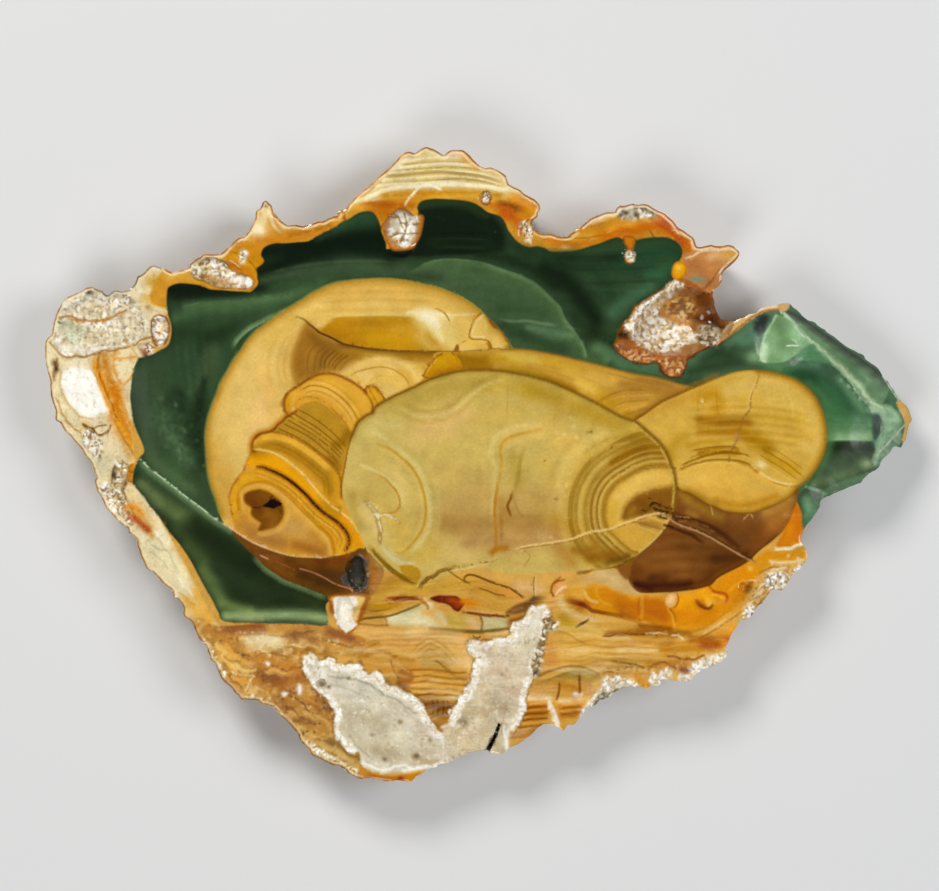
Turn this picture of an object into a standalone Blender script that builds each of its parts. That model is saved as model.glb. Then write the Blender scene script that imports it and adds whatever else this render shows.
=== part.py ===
"""Jasper slab: one flat slice through a natural egg-patterned jasper nodule.

Metres, +Z up. The slab lies on its sawn back at z = 0 and its polished face is at
z = THICKNESS. +X runs along the long side of the slab and +Y across it. The whole
stone is one grown-together solid: jasper, its weathered rind and the ash and quartz
that fill its pockets, so it is one object. The outline is the natural skin of the
nodule, the wall falls away inwards below the polished face, and the pockets and
edge chips are cut out of the face.
"""

import math

import bmesh
import bpy
from mathutils import Matrix, Vector, noise

# ---------------------------------------------------------------- driving dimensions
THICKNESS = 0.0092  # polished face to sawn back
GRID = 0.000145  # one step of the grid that the outline is laid out on
GRID_CENTRE = (478.95, 464.1)  # grid point above the origin; grid y runs towards -Y
OUTLINE_TOLERANCE = 0.000075  # stations closer than this to a straight run are left out
WALL_RINGS = 4  # rings of points between face and back
BACK_TAPER = 0.016  # how much smaller the sawn back is than the face
UNDERCUT = 0.00065  # further inward lean of the wall at the back
WALL_RELIEF = 0.00030  # lumpiness of the natural skin
RELIEF_PITCH = 0.0042  # distance between two lumps
CUTTER_DETAIL = 2  # subdivisions of the icospheres that cut the pockets
LUMP = 0.16  # lumpiness of a pocket, as a part of its radius

# Outline of the polished face: stations along the natural edge of the nodule, in grid
# steps, clockwise from the left end.
OUTLINE = (
    (50.8, 397.7), (50, 388), (49.8, 380), (47.4, 372), (45.6, 362), (44.6, 352.6), (44.9, 342.3),
    (47.7, 337.2), (51.3, 333.6), (52.3, 326.4), (53.8, 319.7), (56.9, 311.5), (60, 306),
    (62, 301.3), (66.7, 297.2), (71.8, 294.8), (77, 292.6), (81, 291), (85, 288), (89, 287),
    (92.8, 285.9), (95.4, 288.5), (99.5, 289.3), (102.4, 289.8), (104.1, 293.1), (106.7, 294.8),
    (110.3, 293.1), (112.8, 291), (115, 289.8), (121, 290.4), (127.2, 289.8), (130.3, 288.5),
    (132.8, 285.4), (134.5, 283.5), (135.9, 279.7), (137.4, 276.2), (140, 275), (142.5, 273.5),
    (144.6, 271), (147.2, 268), (150.3, 266), (153.8, 265.1), (157, 266), (161, 267.3),
    (165.1, 268.5), (168.7, 270.5), (172.3, 271.7), (178, 270.3), (183, 269.5), (187, 268),
    (189.2, 266.7), (190.3, 263.6), (193.3, 261.5), (197, 258), (200.5, 256.4), (204.6, 254),
    (210.8, 253.8), (215.9, 253.8), (221, 253.3), (224.1, 250.8), (226.7, 248.2), (230.3, 245.1),
    (234.4, 241), (239, 237.4), (243.6, 236.4), (246.7, 233.3), (249.7, 229.2), (251.8, 225.1),
    (253.8, 221), (255.4, 216.9), (255.4, 212.8), (256.9, 209.7), (260, 208.2), (261.5, 204.6),
    (262.6, 202), (266.2, 200.3), (269.2, 203.1), (272.3, 206.2), (273.3, 210.8), (274.9, 215.4),
    (277.9, 216.9), (280, 220), (283.6, 222.6), (287.7, 225.1), (291.8, 224.6), (295.9, 224.6),
    (300, 225.1), (303.1, 225.6), (308.2, 224.6), (313.3, 223.1), (318.5, 221.2), (323.6, 221),
    (326.7, 219), (330.8, 217.4), (334.9, 216.1), (337.2, 215.6), (338.2, 211), (343.3, 210),
    (345.9, 209), (346.9, 206.4), (349, 203.3), (352.1, 200.8), (355.6, 196.2), (360.8, 192.1),
    (365.9, 188.5), (370, 184.4), (375.1, 179.7), (380.3, 175.1), (385.4, 171), (390.5, 165.9),
    (395.6, 160.8), (399.7, 156.2), (403.8, 153.1), (407.9, 151.7), (415.1, 152.8), (418.2, 150.5),
    (422.3, 147.9), (425.9, 146.4), (430.5, 147.9), (436.7, 150.2), (440.3, 152.6), (443.8, 154.6),
    (445.9, 153.1), (447.9, 151.5), (451, 149.7), (457.2, 149.5), (463.3, 150), (467.4, 153.1),
    (471.5, 157.2), (475.6, 161.8), (480.8, 165.9), (485.9, 167.9), (489.5, 167.2), (495.6, 168.7),
    (500.8, 171.8), (505.9, 175.9), (507.4, 180), (509, 183.6), (515.1, 187.2), (520.3, 189.7),
    (524.4, 193.3), (529.5, 196.4), (534.6, 199), (537.7, 202), (540.3, 205.6), (540.3, 209.7),
    (538.2, 213.3), (537.7, 216.9), (533.6, 220), (531.5, 224.1), (533.6, 228.2), (536.7, 231.3),
    (542.8, 233.8), (551, 233.8), (558.2, 236.2), (567.4, 236.6), (570.5, 233.8), (575.6, 230.3),
    (580.8, 226.2), (586.9, 221), (593.1, 216.9), (599.2, 214.4), (606.4, 212.1), (614.6, 211.7),
    (616.2, 208.5), (619.7, 205.4), (623.8, 205.4), (631, 203.3), (638.2, 204.2), (644.4, 203.8),
    (649.5, 205.4), (654.6, 208.5), (659.7, 211), (664.9, 213.6), (669, 217.2), (674.1, 221.8),
    (678.2, 227.4), (682.3, 229.5), (687.4, 233.6), (693.6, 237.7), (695.6, 242.3), (697.2, 246.4),
    (700.3, 246.9), (705.9, 245.9), (711, 244.6), (716.2, 245.9), (721.3, 245.9), (727.4, 244.6),
    (732.1, 245.4), (735.6, 247.9), (739.7, 252.1), (739.7, 255.6), (735.6, 260.8), (730.5, 265.9),
    (725.4, 270), (722.3, 274.1), (722.3, 280.3), (719.2, 285.4), (715.1, 289.5), (713.6, 293.6),
    (715.1, 298.7), (716.7, 304.9), (718.2, 310), (719.7, 313.1), (722.3, 317.7), (727.4, 319.7),
    (733.6, 320.8), (738.7, 318.7), (743.8, 317.2), (749.5, 314.1), (755.9, 312.6), (761, 308.5),
    (768.2, 306.4), (775.4, 305.4), (781.5, 303.3), (785.6, 302.6), (790.8, 303.3), (793.8, 306.9),
    (799, 310.5), (803.1, 315.1), (808.2, 319.2), (814.4, 321.3), (820.5, 325.9), (827.7, 331),
    (835.9, 336.7), (843.1, 342.8), (850.3, 347.9), (858.5, 351.5), (864.6, 354.6), (867.7, 359.2),
    (873.8, 363.3), (879.5, 367.4), (883, 373), (886.7, 379.5), (889.2, 380.5), (891.8, 385.6),
    (895.9, 390.8), (899.5, 397.9), (903.1, 401), (908.2, 406.2), (911.3, 412.3), (913.3, 419.5),
    (910.8, 424.6), (909.2, 431.8), (907.2, 439), (904.6, 443.6), (902.1, 447.7), (898, 446.7),
    (893.8, 447.7), (890.8, 452.3), (887.7, 455.4), (882.6, 459.5), (881, 462.6), (879.5, 466.7),
    (875.4, 470.3), (871.3, 472.3), (867.2, 475.9), (863.1, 480), (861, 483.1), (855.9, 484.6),
    (850.8, 486.7), (846.7, 488.2), (840.5, 491.3), (834.4, 493.8), (827.2, 496.9), (822.1, 500),
    (820, 502.6), (820, 506.7), (816.9, 511.8), (813.8, 516.9), (811.8, 519.5), (807.7, 524.1),
    (805.1, 528.2), (802.6, 533.3), (801.5, 538.5), (802.6, 543.6), (805.6, 548.2), (807.2, 553.8),
    (807.2, 559), (803.6, 564.1), (799.5, 569.2), (794.4, 572.3), (791.3, 576.4), (789.2, 581),
    (786.2, 585.6), (782.1, 590.6), (776.9, 589.9), (772.3, 589.9), (769.2, 593.8), (765.6, 599),
    (762.6, 603.1), (758.5, 605.6), (755.4, 610.3), (751.3, 616.4), (745.1, 620.5), (740, 621),
    (737.9, 624.6), (734.9, 629.7), (731.8, 634.9), (729.7, 639.5), (727.2, 645.1), (725.1, 649.2),
    (727.7, 650.8), (727.2, 653.8), (725.1, 658.5), (719.5, 663.6), (713.8, 665.6), (708.7, 668.2),
    (702.6, 669.2), (699.5, 672.3), (696.4, 673.8), (693.8, 677.9), (688.2, 681), (682.1, 681),
    (671.8, 680.8), (662.6, 680), (660.5, 684.1), (657.4, 685.9), (651.3, 685.6), (646.2, 689.7),
    (643.1, 687.7), (637.9, 687.2), (630.8, 686.2), (624.6, 687.7), (620.5, 689.7), (615.4, 691.8),
    (610.3, 696.4), (605.1, 699.5), (600, 700.3), (597.4, 703.1), (592.3, 706.7), (586.2, 708.7),
    (584.6, 712.3), (581, 716.4), (577.9, 720), (574.9, 723.6), (571.8, 725.6), (568.7, 725.1),
    (566.2, 726.7), (563.6, 730.8), (561, 729.7), (557.4, 727.2), (552.3, 725.1), (547.2, 724.1),
    (543.1, 724.1), (539, 727.7), (533.8, 732.3), (528.7, 736.9), (523.6, 741), (517.4, 744.6),
    (511.3, 747.7), (507.2, 749.7), (506.2, 752.3), (500, 754.4), (494.9, 753.8), (487.7, 751.8),
    (484.6, 751.1), (479.5, 751.8), (472.3, 751.8), (464.6, 754.9), (457.4, 757.9), (449.2, 762.1),
    (443.1, 763.6), (437.9, 764.6), (435.9, 767.7), (430.8, 768.2), (426.7, 769.7), (422.6, 773.8),
    (417.4, 775.9), (413.3, 780), (409.2, 781.8), (402.1, 781.3), (395.9, 780.5), (390.8, 781.7),
    (385.6, 781), (379.5, 780.3), (373.3, 779.5), (367.2, 778.5), (361, 779.3), (357.9, 778.5),
    (352.8, 775.9), (347.7, 773.3), (344.6, 769.7), (339.5, 766.7), (333.3, 765.6), (327.2, 762.6),
    (320, 759), (312.3, 755.9), (308.7, 750.8), (304.1, 745.6), (300, 740.5), (298.5, 735.9),
    (295.4, 730.8), (290.3, 725.6), (285.6, 720.5), (281, 716.9), (278, 712.8), (275.4, 709.4),
    (271.3, 706.7), (267.2, 705.3), (261, 704.3), (258.5, 701), (253.3, 700.5), (247.7, 700),
    (241.5, 699.8), (239.5, 697.4), (234.9, 692.3), (230.3, 687.2), (225.1, 682.6), (221.5, 679),
    (219, 674.4), (216.9, 668.8), (214.9, 663.8), (211.3, 660.3), (209.2, 655.6), (207.2, 651),
    (205.1, 646.4), (202.6, 642.3), (199.5, 639.4), (196.9, 635.6), (195.4, 631), (193.3, 625.9),
    (190.7, 621.3), (187.7, 620), (184.1, 617.2), (182.8, 613.6), (183.4, 609.5), (182, 604.4),
    (179, 600), (176.4, 598.2), (173.3, 597.2), (172.8, 592.6), (170.3, 589.5), (166.7, 587),
    (162.6, 583.3), (158.5, 578.2), (154.4, 573.6), (150.3, 570.7), (146.7, 569.5), (144, 563.3),
    (141, 557), (139, 550.5), (136.9, 545.9), (135.9, 540), (132.3, 536), (128.5, 532.8),
    (127.7, 528.7), (123, 525.6), (118.5, 521.5), (115, 518), (111.8, 514.9), (108.7, 511.8),
    (105.1, 507.2), (102.6, 501), (100.5, 496.4), (97.4, 492.3), (95.4, 486), (94.4, 481),
    (96.2, 478.5), (95.4, 474.9), (92.8, 468.7), (90.8, 463), (87.7, 459.5), (84.1, 454.9),
    (81.5, 449.7), (77.4, 445.6), (73.8, 441.5), (70.5, 437), (67.2, 433.8), (62.6, 427.7),
    (59.5, 423), (55.1, 420), (54.9, 409.7),
)

# Pockets: name, grid x and y of the centre, the two radii in grid steps, turn in
# degrees and depth below the polished face in metres.
POCKETS = (
    ("crust_pocket", 101.0, 321.0, 44.0, 27.0, 4.0, 0.0014),
    ("rim_crystal_pocket", 160.0, 331.0, 8.0, 13.0, 0.0, 0.0011),
    ("upper_crust_pocket", 220.0, 273.0, 28.0, 13.0, -17.0, 0.0013),
    ("top_druse_pocket", 402.0, 229.0, 15.0, 18.0, 0.0, 0.0019),
    ("edge_druse_pocket", 528.0, 229.0, 6.0, 10.0, -30.0, 0.0011),
    ("rim_white_pocket", 485.5, 198.0, 5.5, 6.5, 0.0, 0.0007),
    ("drip_pocket", 630.0, 254.5, 6.0, 5.5, 0.0, 0.0008),
    ("vug", 676.0, 324.0, 45.0, 31.0, 14.0, 0.0042),
    ("vug_deep_end", 708.0, 316.0, 25.0, 23.0, 0.0, 0.0060),
    ("dark_druse_pocket", 356.0, 573.0, 9.0, 16.0, 0.0, 0.0018),
    ("white_drop_pocket", 345.0, 611.0, 9.0, 15.0, 0.0, 0.0011),
    ("rim_pits", 112.0, 503.0, 10.0, 15.0, 30.0, 0.0009),
    ("lower_hole", 321.0, 684.0, 5.0, 4.5, 0.0, 0.0016),
    ("edge_sugar_hole", 746.0, 586.0, 8.0, 4.0, 25.0, 0.0011),
)

# Shell-shaped chips: name, grid centre, radius of the bowl in grid steps, its depth.
SHELL_CHIPS = (
    ("pale_chip", 782.0, 343.0, 27.0, 0.00075),
    ("corner_chip", 871.0, 436.0, 21.0, 0.00055),
    ("lower_chip", 826.0, 492.0, 15.0, 0.00050),
)

# Splinters struck off the edge: name, the grid line that they start from at the
# polished face (two ends, stone on its left), the width and height cut away and the dip.
SPLINTERS = (
    ("upper_splinter", (777.0, 308.0), (912.0, 437.8), 0.0080, 0.0060, 36.0),
    ("tip_splinter", (889.0, 387.0), (872.0, 480.0), 0.0070, 0.0050, 30.0),
)

# Open crack at the lower edge: its two ends on the grid, its width and its depth.
CRACK = ((499.0, 725.0), (484.0, 758.0), 0.00060, 0.0044)


def grid_point(x, y, z=0.0):
    return Vector(((x - GRID_CENTRE[0]) * GRID, (GRID_CENTRE[1] - y) * GRID, z))


def thinned(points, tolerance):
    """Leaves out stations that lie nearly on the straight run between their neighbours."""
    if len(points) < 3:
        return list(points)
    start, end = points[0], points[-1]
    run = end - start
    length = max(run.length, 1e-9)
    farthest, where = 0.0, 0
    for i in range(1, len(points) - 1):
        to = points[i] - start
        off = abs(run.x * to.y - run.y * to.x) / length if run.length > 1e-6 else to.length
        if off > farthest:
            farthest, where = off, i
    if farthest < tolerance:
        return [start, end]
    return thinned(points[: where + 1], tolerance)[:-1] + thinned(points[where:], tolerance)


def new_collection(name):
    made = bpy.data.collections.new(name)
    bpy.context.scene.collection.children.link(made)
    return made


def new_material(name, colour, roughness):
    made = bpy.data.materials.new(name)
    made.use_nodes = True
    shader = made.node_tree.nodes["Principled BSDF"]
    shader.inputs["Base Color"].default_value = (*colour, 1.0)
    shader.inputs["Roughness"].default_value = roughness
    shader.inputs["IOR"].default_value = 1.54
    made.diffuse_color = (*colour, 1.0)
    return made


def new_mesh_object(name, mesh, collection):
    made = bpy.data.objects.new(name, mesh)
    collection.objects.link(made)
    return made


def outline_stations():
    points = [grid_point(x, y) for x, y in OUTLINE]
    half = len(points) // 2
    first = thinned(points[: half + 1], OUTLINE_TOLERANCE)
    second = thinned(points[half:] + points[:1], OUTLINE_TOLERANCE)
    return first[:-1] + second[:-1]


def slab_body(collection):
    """The outline filled and given its thickness, then the wall divided into rings."""
    stations = outline_stations()
    curve = bpy.data.curves.new("slab_outline", "CURVE")
    curve.dimensions = "2D"
    curve.fill_mode = "BOTH"
    curve.extrude = THICKNESS / 2
    spline = curve.splines.new("POLY")
    spline.points.add(len(stations) - 1)
    for point, station in zip(spline.points, stations):
        point.co = (station.x, station.y, 0.0, 1.0)
    spline.use_cyclic_u = True
    guide = bpy.data.objects.new("slab_outline", curve)
    guide.location.z = THICKNESS / 2
    collection.objects.link(guide)
    bpy.context.view_layer.update()
    graph = bpy.context.evaluated_depsgraph_get()
    mesh = bpy.data.meshes.new_from_object(guide.evaluated_get(graph))
    mesh.transform(guide.matrix_world)
    bpy.data.objects.remove(guide)
    bpy.data.curves.remove(curve)

    work = bmesh.new()
    work.from_mesh(mesh)
    bmesh.ops.remove_doubles(work, verts=work.verts, dist=1e-7)
    # The filled caps become one flat face each, which stays sound when the back moves in.
    for level in (0.0, THICKNESS):
        cap = [f for f in work.faces if all(abs(v.co.z - level) < 1e-7 for v in f.verts)]
        bmesh.ops.dissolve_faces(work, faces=cap)
    uprights = [
        e for e in work.edges if abs(e.verts[0].co.z - e.verts[1].co.z) > THICKNESS / 2
    ]
    bmesh.ops.subdivide_edges(work, edges=uprights, cuts=WALL_RINGS, use_grid_fill=True)
    bmesh.ops.recalc_face_normals(work, faces=work.faces)

    # Direction out of the stone at each station of the outline.
    count = len(stations)
    outward = {}
    for i, station in enumerate(stations):
        along = Vector((0.0, 0.0, 0.0))
        for reach in (1, 2, 3):
            along += stations[(i + reach) % count] - stations[(i - reach) % count]
        along.normalize()
        outward[(round(station.x, 6), round(station.y, 6))] = Vector((-along.y, along.x, 0.0))

    for vert in work.verts:
        down = 1.0 - vert.co.z / THICKNESS
        if down < 1e-4:
            continue
        out = outward[(round(vert.co.x, 6), round(vert.co.y, 6))]
        at = Vector((vert.co.x, vert.co.y, 0.0)) / RELIEF_PITCH
        slow = 0.5 + 0.5 * noise.noise(at * 0.22 + Vector((7.0, 3.0, 1.0)))
        lump = noise.noise(at + Vector((0.0, 0.0, vert.co.z / RELIEF_PITCH * 1.4 + 5.0)))
        fine = noise.noise(at * 2.7 + Vector((9.0, 2.0, vert.co.z / RELIEF_PITCH * 3.0)))
        inward = UNDERCUT * down**1.4 * (0.4 + 0.9 * slow)
        inward += WALL_RELIEF * min(1.0, 3.0 * down) * (0.62 + 0.75 * lump + 0.45 * fine)
        shrink = 1.0 - BACK_TAPER * down**1.2
        vert.co.x = vert.co.x * shrink - out.x * max(0.0, inward)
        vert.co.y = vert.co.y * shrink - out.y * max(0.0, inward)
    work.to_mesh(mesh)
    work.free()
    mesh.name = "jasper_slab"
    return new_mesh_object("jasper_slab", mesh, collection)


def cut(body, cutter):
    modifier = body.modifiers.new(cutter.name, "BOOLEAN")
    modifier.operation = "DIFFERENCE"
    modifier.solver = "EXACT"
    modifier.object = cutter


def new_cutter(name, work, collection):
    bmesh.ops.recalc_face_normals(work, faces=work.faces)
    mesh = bpy.data.meshes.new(name)
    work.to_mesh(mesh)
    work.free()
    made = new_mesh_object(name, mesh, collection)
    made.hide_render = True
    made.display_type = "WIRE"
    return made


def pocket_cutter(collection, index, name, x, y, rx, ry, turn, depth):
    """A lumpy ball, flattened to the depth of the pocket and centred on the face."""
    work = bmesh.new()
    bmesh.ops.create_icosphere(work, subdivisions=CUTTER_DETAIL, radius=1.0)
    for vert in work.verts:
        lump = noise.noise(vert.co * 1.9 + Vector((index * 3.1, index * 1.7, 0.4)))
        fine = noise.noise(vert.co * 4.3 + Vector((0.3, index * 2.3, index * 0.9)))
        vert.co *= 1.0 + LUMP * (lump + 0.5 * fine)
    size = Matrix.Diagonal((rx * GRID, ry * GRID, depth, 1.0))
    place = Matrix.Translation(grid_point(x, y, THICKNESS))
    work.transform(place @ Matrix.Rotation(math.radians(turn), 4, "Z") @ size)
    return new_cutter("cut_" + name, work, collection)


def shell_cutter(collection, name, x, y, radius, depth):
    """A large ball that only dips into the face, as a struck chip does."""
    reach = radius * GRID
    ball = (reach * reach + depth * depth) / (2.0 * depth)
    work = bmesh.new()
    bmesh.ops.create_icosphere(work, subdivisions=4, radius=ball)
    # Only the low cap meets the stone, so the rest of the ball is cut off flat.
    top = Vector((0.0, 0.0, -ball + 2.2 * depth))
    everything = work.verts[:] + work.edges[:] + work.faces[:]
    bmesh.ops.bisect_plane(
        work, geom=everything, plane_co=top, plane_no=(0.0, 0.0, 1.0), clear_outer=True
    )
    rim = [e for e in work.edges if e.is_boundary]
    bmesh.ops.contextual_create(work, geom=rim)
    work.transform(Matrix.Translation(grid_point(x, y, THICKNESS + ball - depth)))
    return new_cutter("cut_" + name, work, collection)


def splinter_cutter(collection, name, start, end, width, height, dip):
    """A block standing on a plane that dips outwards from the start line at the face."""
    a, b = grid_point(*start, THICKNESS), grid_point(*end, THICKNESS)
    along = (b - a).normalized()
    level = along.cross(Vector((0.0, 0.0, 1.0))) * -1.0
    tilt = math.radians(dip)
    out = (level * math.cos(tilt) - Vector((0.0, 0.0, math.sin(tilt)))).normalized()
    up = (level * math.sin(tilt) + Vector((0.0, 0.0, math.cos(tilt)))).normalized()
    margin = along * 0.0006
    corners = []
    for rise in (0.0, height):
        for end_point in (a - margin, b + margin):
            for reach in (0.0, width):
                corners.append(end_point + out * reach + up * rise)
    work = bmesh.new()
    for corner in corners:
        work.verts.new(corner)
    bmesh.ops.convex_hull(work, input=work.verts[:])
    return new_cutter("cut_" + name, work, collection)


def crack_cutter(collection, start, end, width, depth):
    """A thin wedge, widest at the outer edge of the slab."""
    a, b = grid_point(*start), grid_point(*end)
    along = (b - a).normalized()
    side = Vector((-along.y, along.x, 0.0))
    work = bmesh.new()
    for centre, spread, low in ((a, 0.35, 0.4), (b, 1.0, 1.0)):
        for sign in (-1.0, 1.0):
            top = centre + side * (sign * spread * width)
            work.verts.new(top + Vector((0.0, 0.0, THICKNESS + 0.001)))
            foot = centre + side * (sign * spread * width * 0.5)
            work.verts.new(foot + Vector((0.0, 0.0, THICKNESS - depth * low)))
    bmesh.ops.convex_hull(work, input=work.verts[:])
    return new_cutter("cut_crack", work, collection)


def main():
    for obj in list(bpy.data.objects):
        bpy.data.objects.remove(obj)
    scene = bpy.context.scene
    scene.unit_settings.system = "METRIC"
    scene.unit_settings.scale_length = 1.0

    stone = new_collection("blue_mountain_jasper")
    cutters = new_collection("cutters")
    cutters.hide_render = True

    body = slab_body(stone)
    body.data.materials.clear()
    body.data.materials.append(new_material("polished_jasper", (0.42, 0.30, 0.10), 0.18))

    for entry in SPLINTERS:
        cut(body, splinter_cutter(cutters, *entry))
    for entry in SHELL_CHIPS:
        cut(body, shell_cutter(cutters, *entry))
    for index, entry in enumerate(POCKETS):
        cut(body, pocket_cutter(cutters, index, *entry))
    cut(body, crack_cutter(cutters, *CRACK))


main()
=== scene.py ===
"""Polished slab of egg-patterned jasper, lying on its sawn back and seen from straight above.

Lengths in metres, +Z up. The pattern of the stone is drawn on a plan grid of 0.145 mm steps, with grid
y towards -Y. Rows of mesh points follow every drawn line, so that colour and relief sit in the mesh itself.
"""
import math

import bmesh
import bpy
import numpy as np
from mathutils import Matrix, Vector
from mathutils.geometry import delaunay_2d_cdt


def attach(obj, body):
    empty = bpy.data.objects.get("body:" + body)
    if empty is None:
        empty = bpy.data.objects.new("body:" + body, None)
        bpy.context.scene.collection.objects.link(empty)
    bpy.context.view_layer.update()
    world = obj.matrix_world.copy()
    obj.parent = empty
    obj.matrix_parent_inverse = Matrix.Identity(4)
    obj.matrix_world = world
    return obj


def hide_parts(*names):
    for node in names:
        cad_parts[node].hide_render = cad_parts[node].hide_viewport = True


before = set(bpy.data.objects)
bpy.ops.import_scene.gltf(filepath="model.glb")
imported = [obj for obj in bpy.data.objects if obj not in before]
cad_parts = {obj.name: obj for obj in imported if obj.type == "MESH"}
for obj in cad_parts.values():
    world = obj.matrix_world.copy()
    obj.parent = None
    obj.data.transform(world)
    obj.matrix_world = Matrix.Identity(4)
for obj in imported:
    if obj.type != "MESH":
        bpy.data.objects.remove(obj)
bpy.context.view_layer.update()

STEP = 0.000145  # one step of the plan grid
MID = (478.95, 464.1)  # plan point over the origin
TOP = 0.0092  # the polished face
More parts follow.
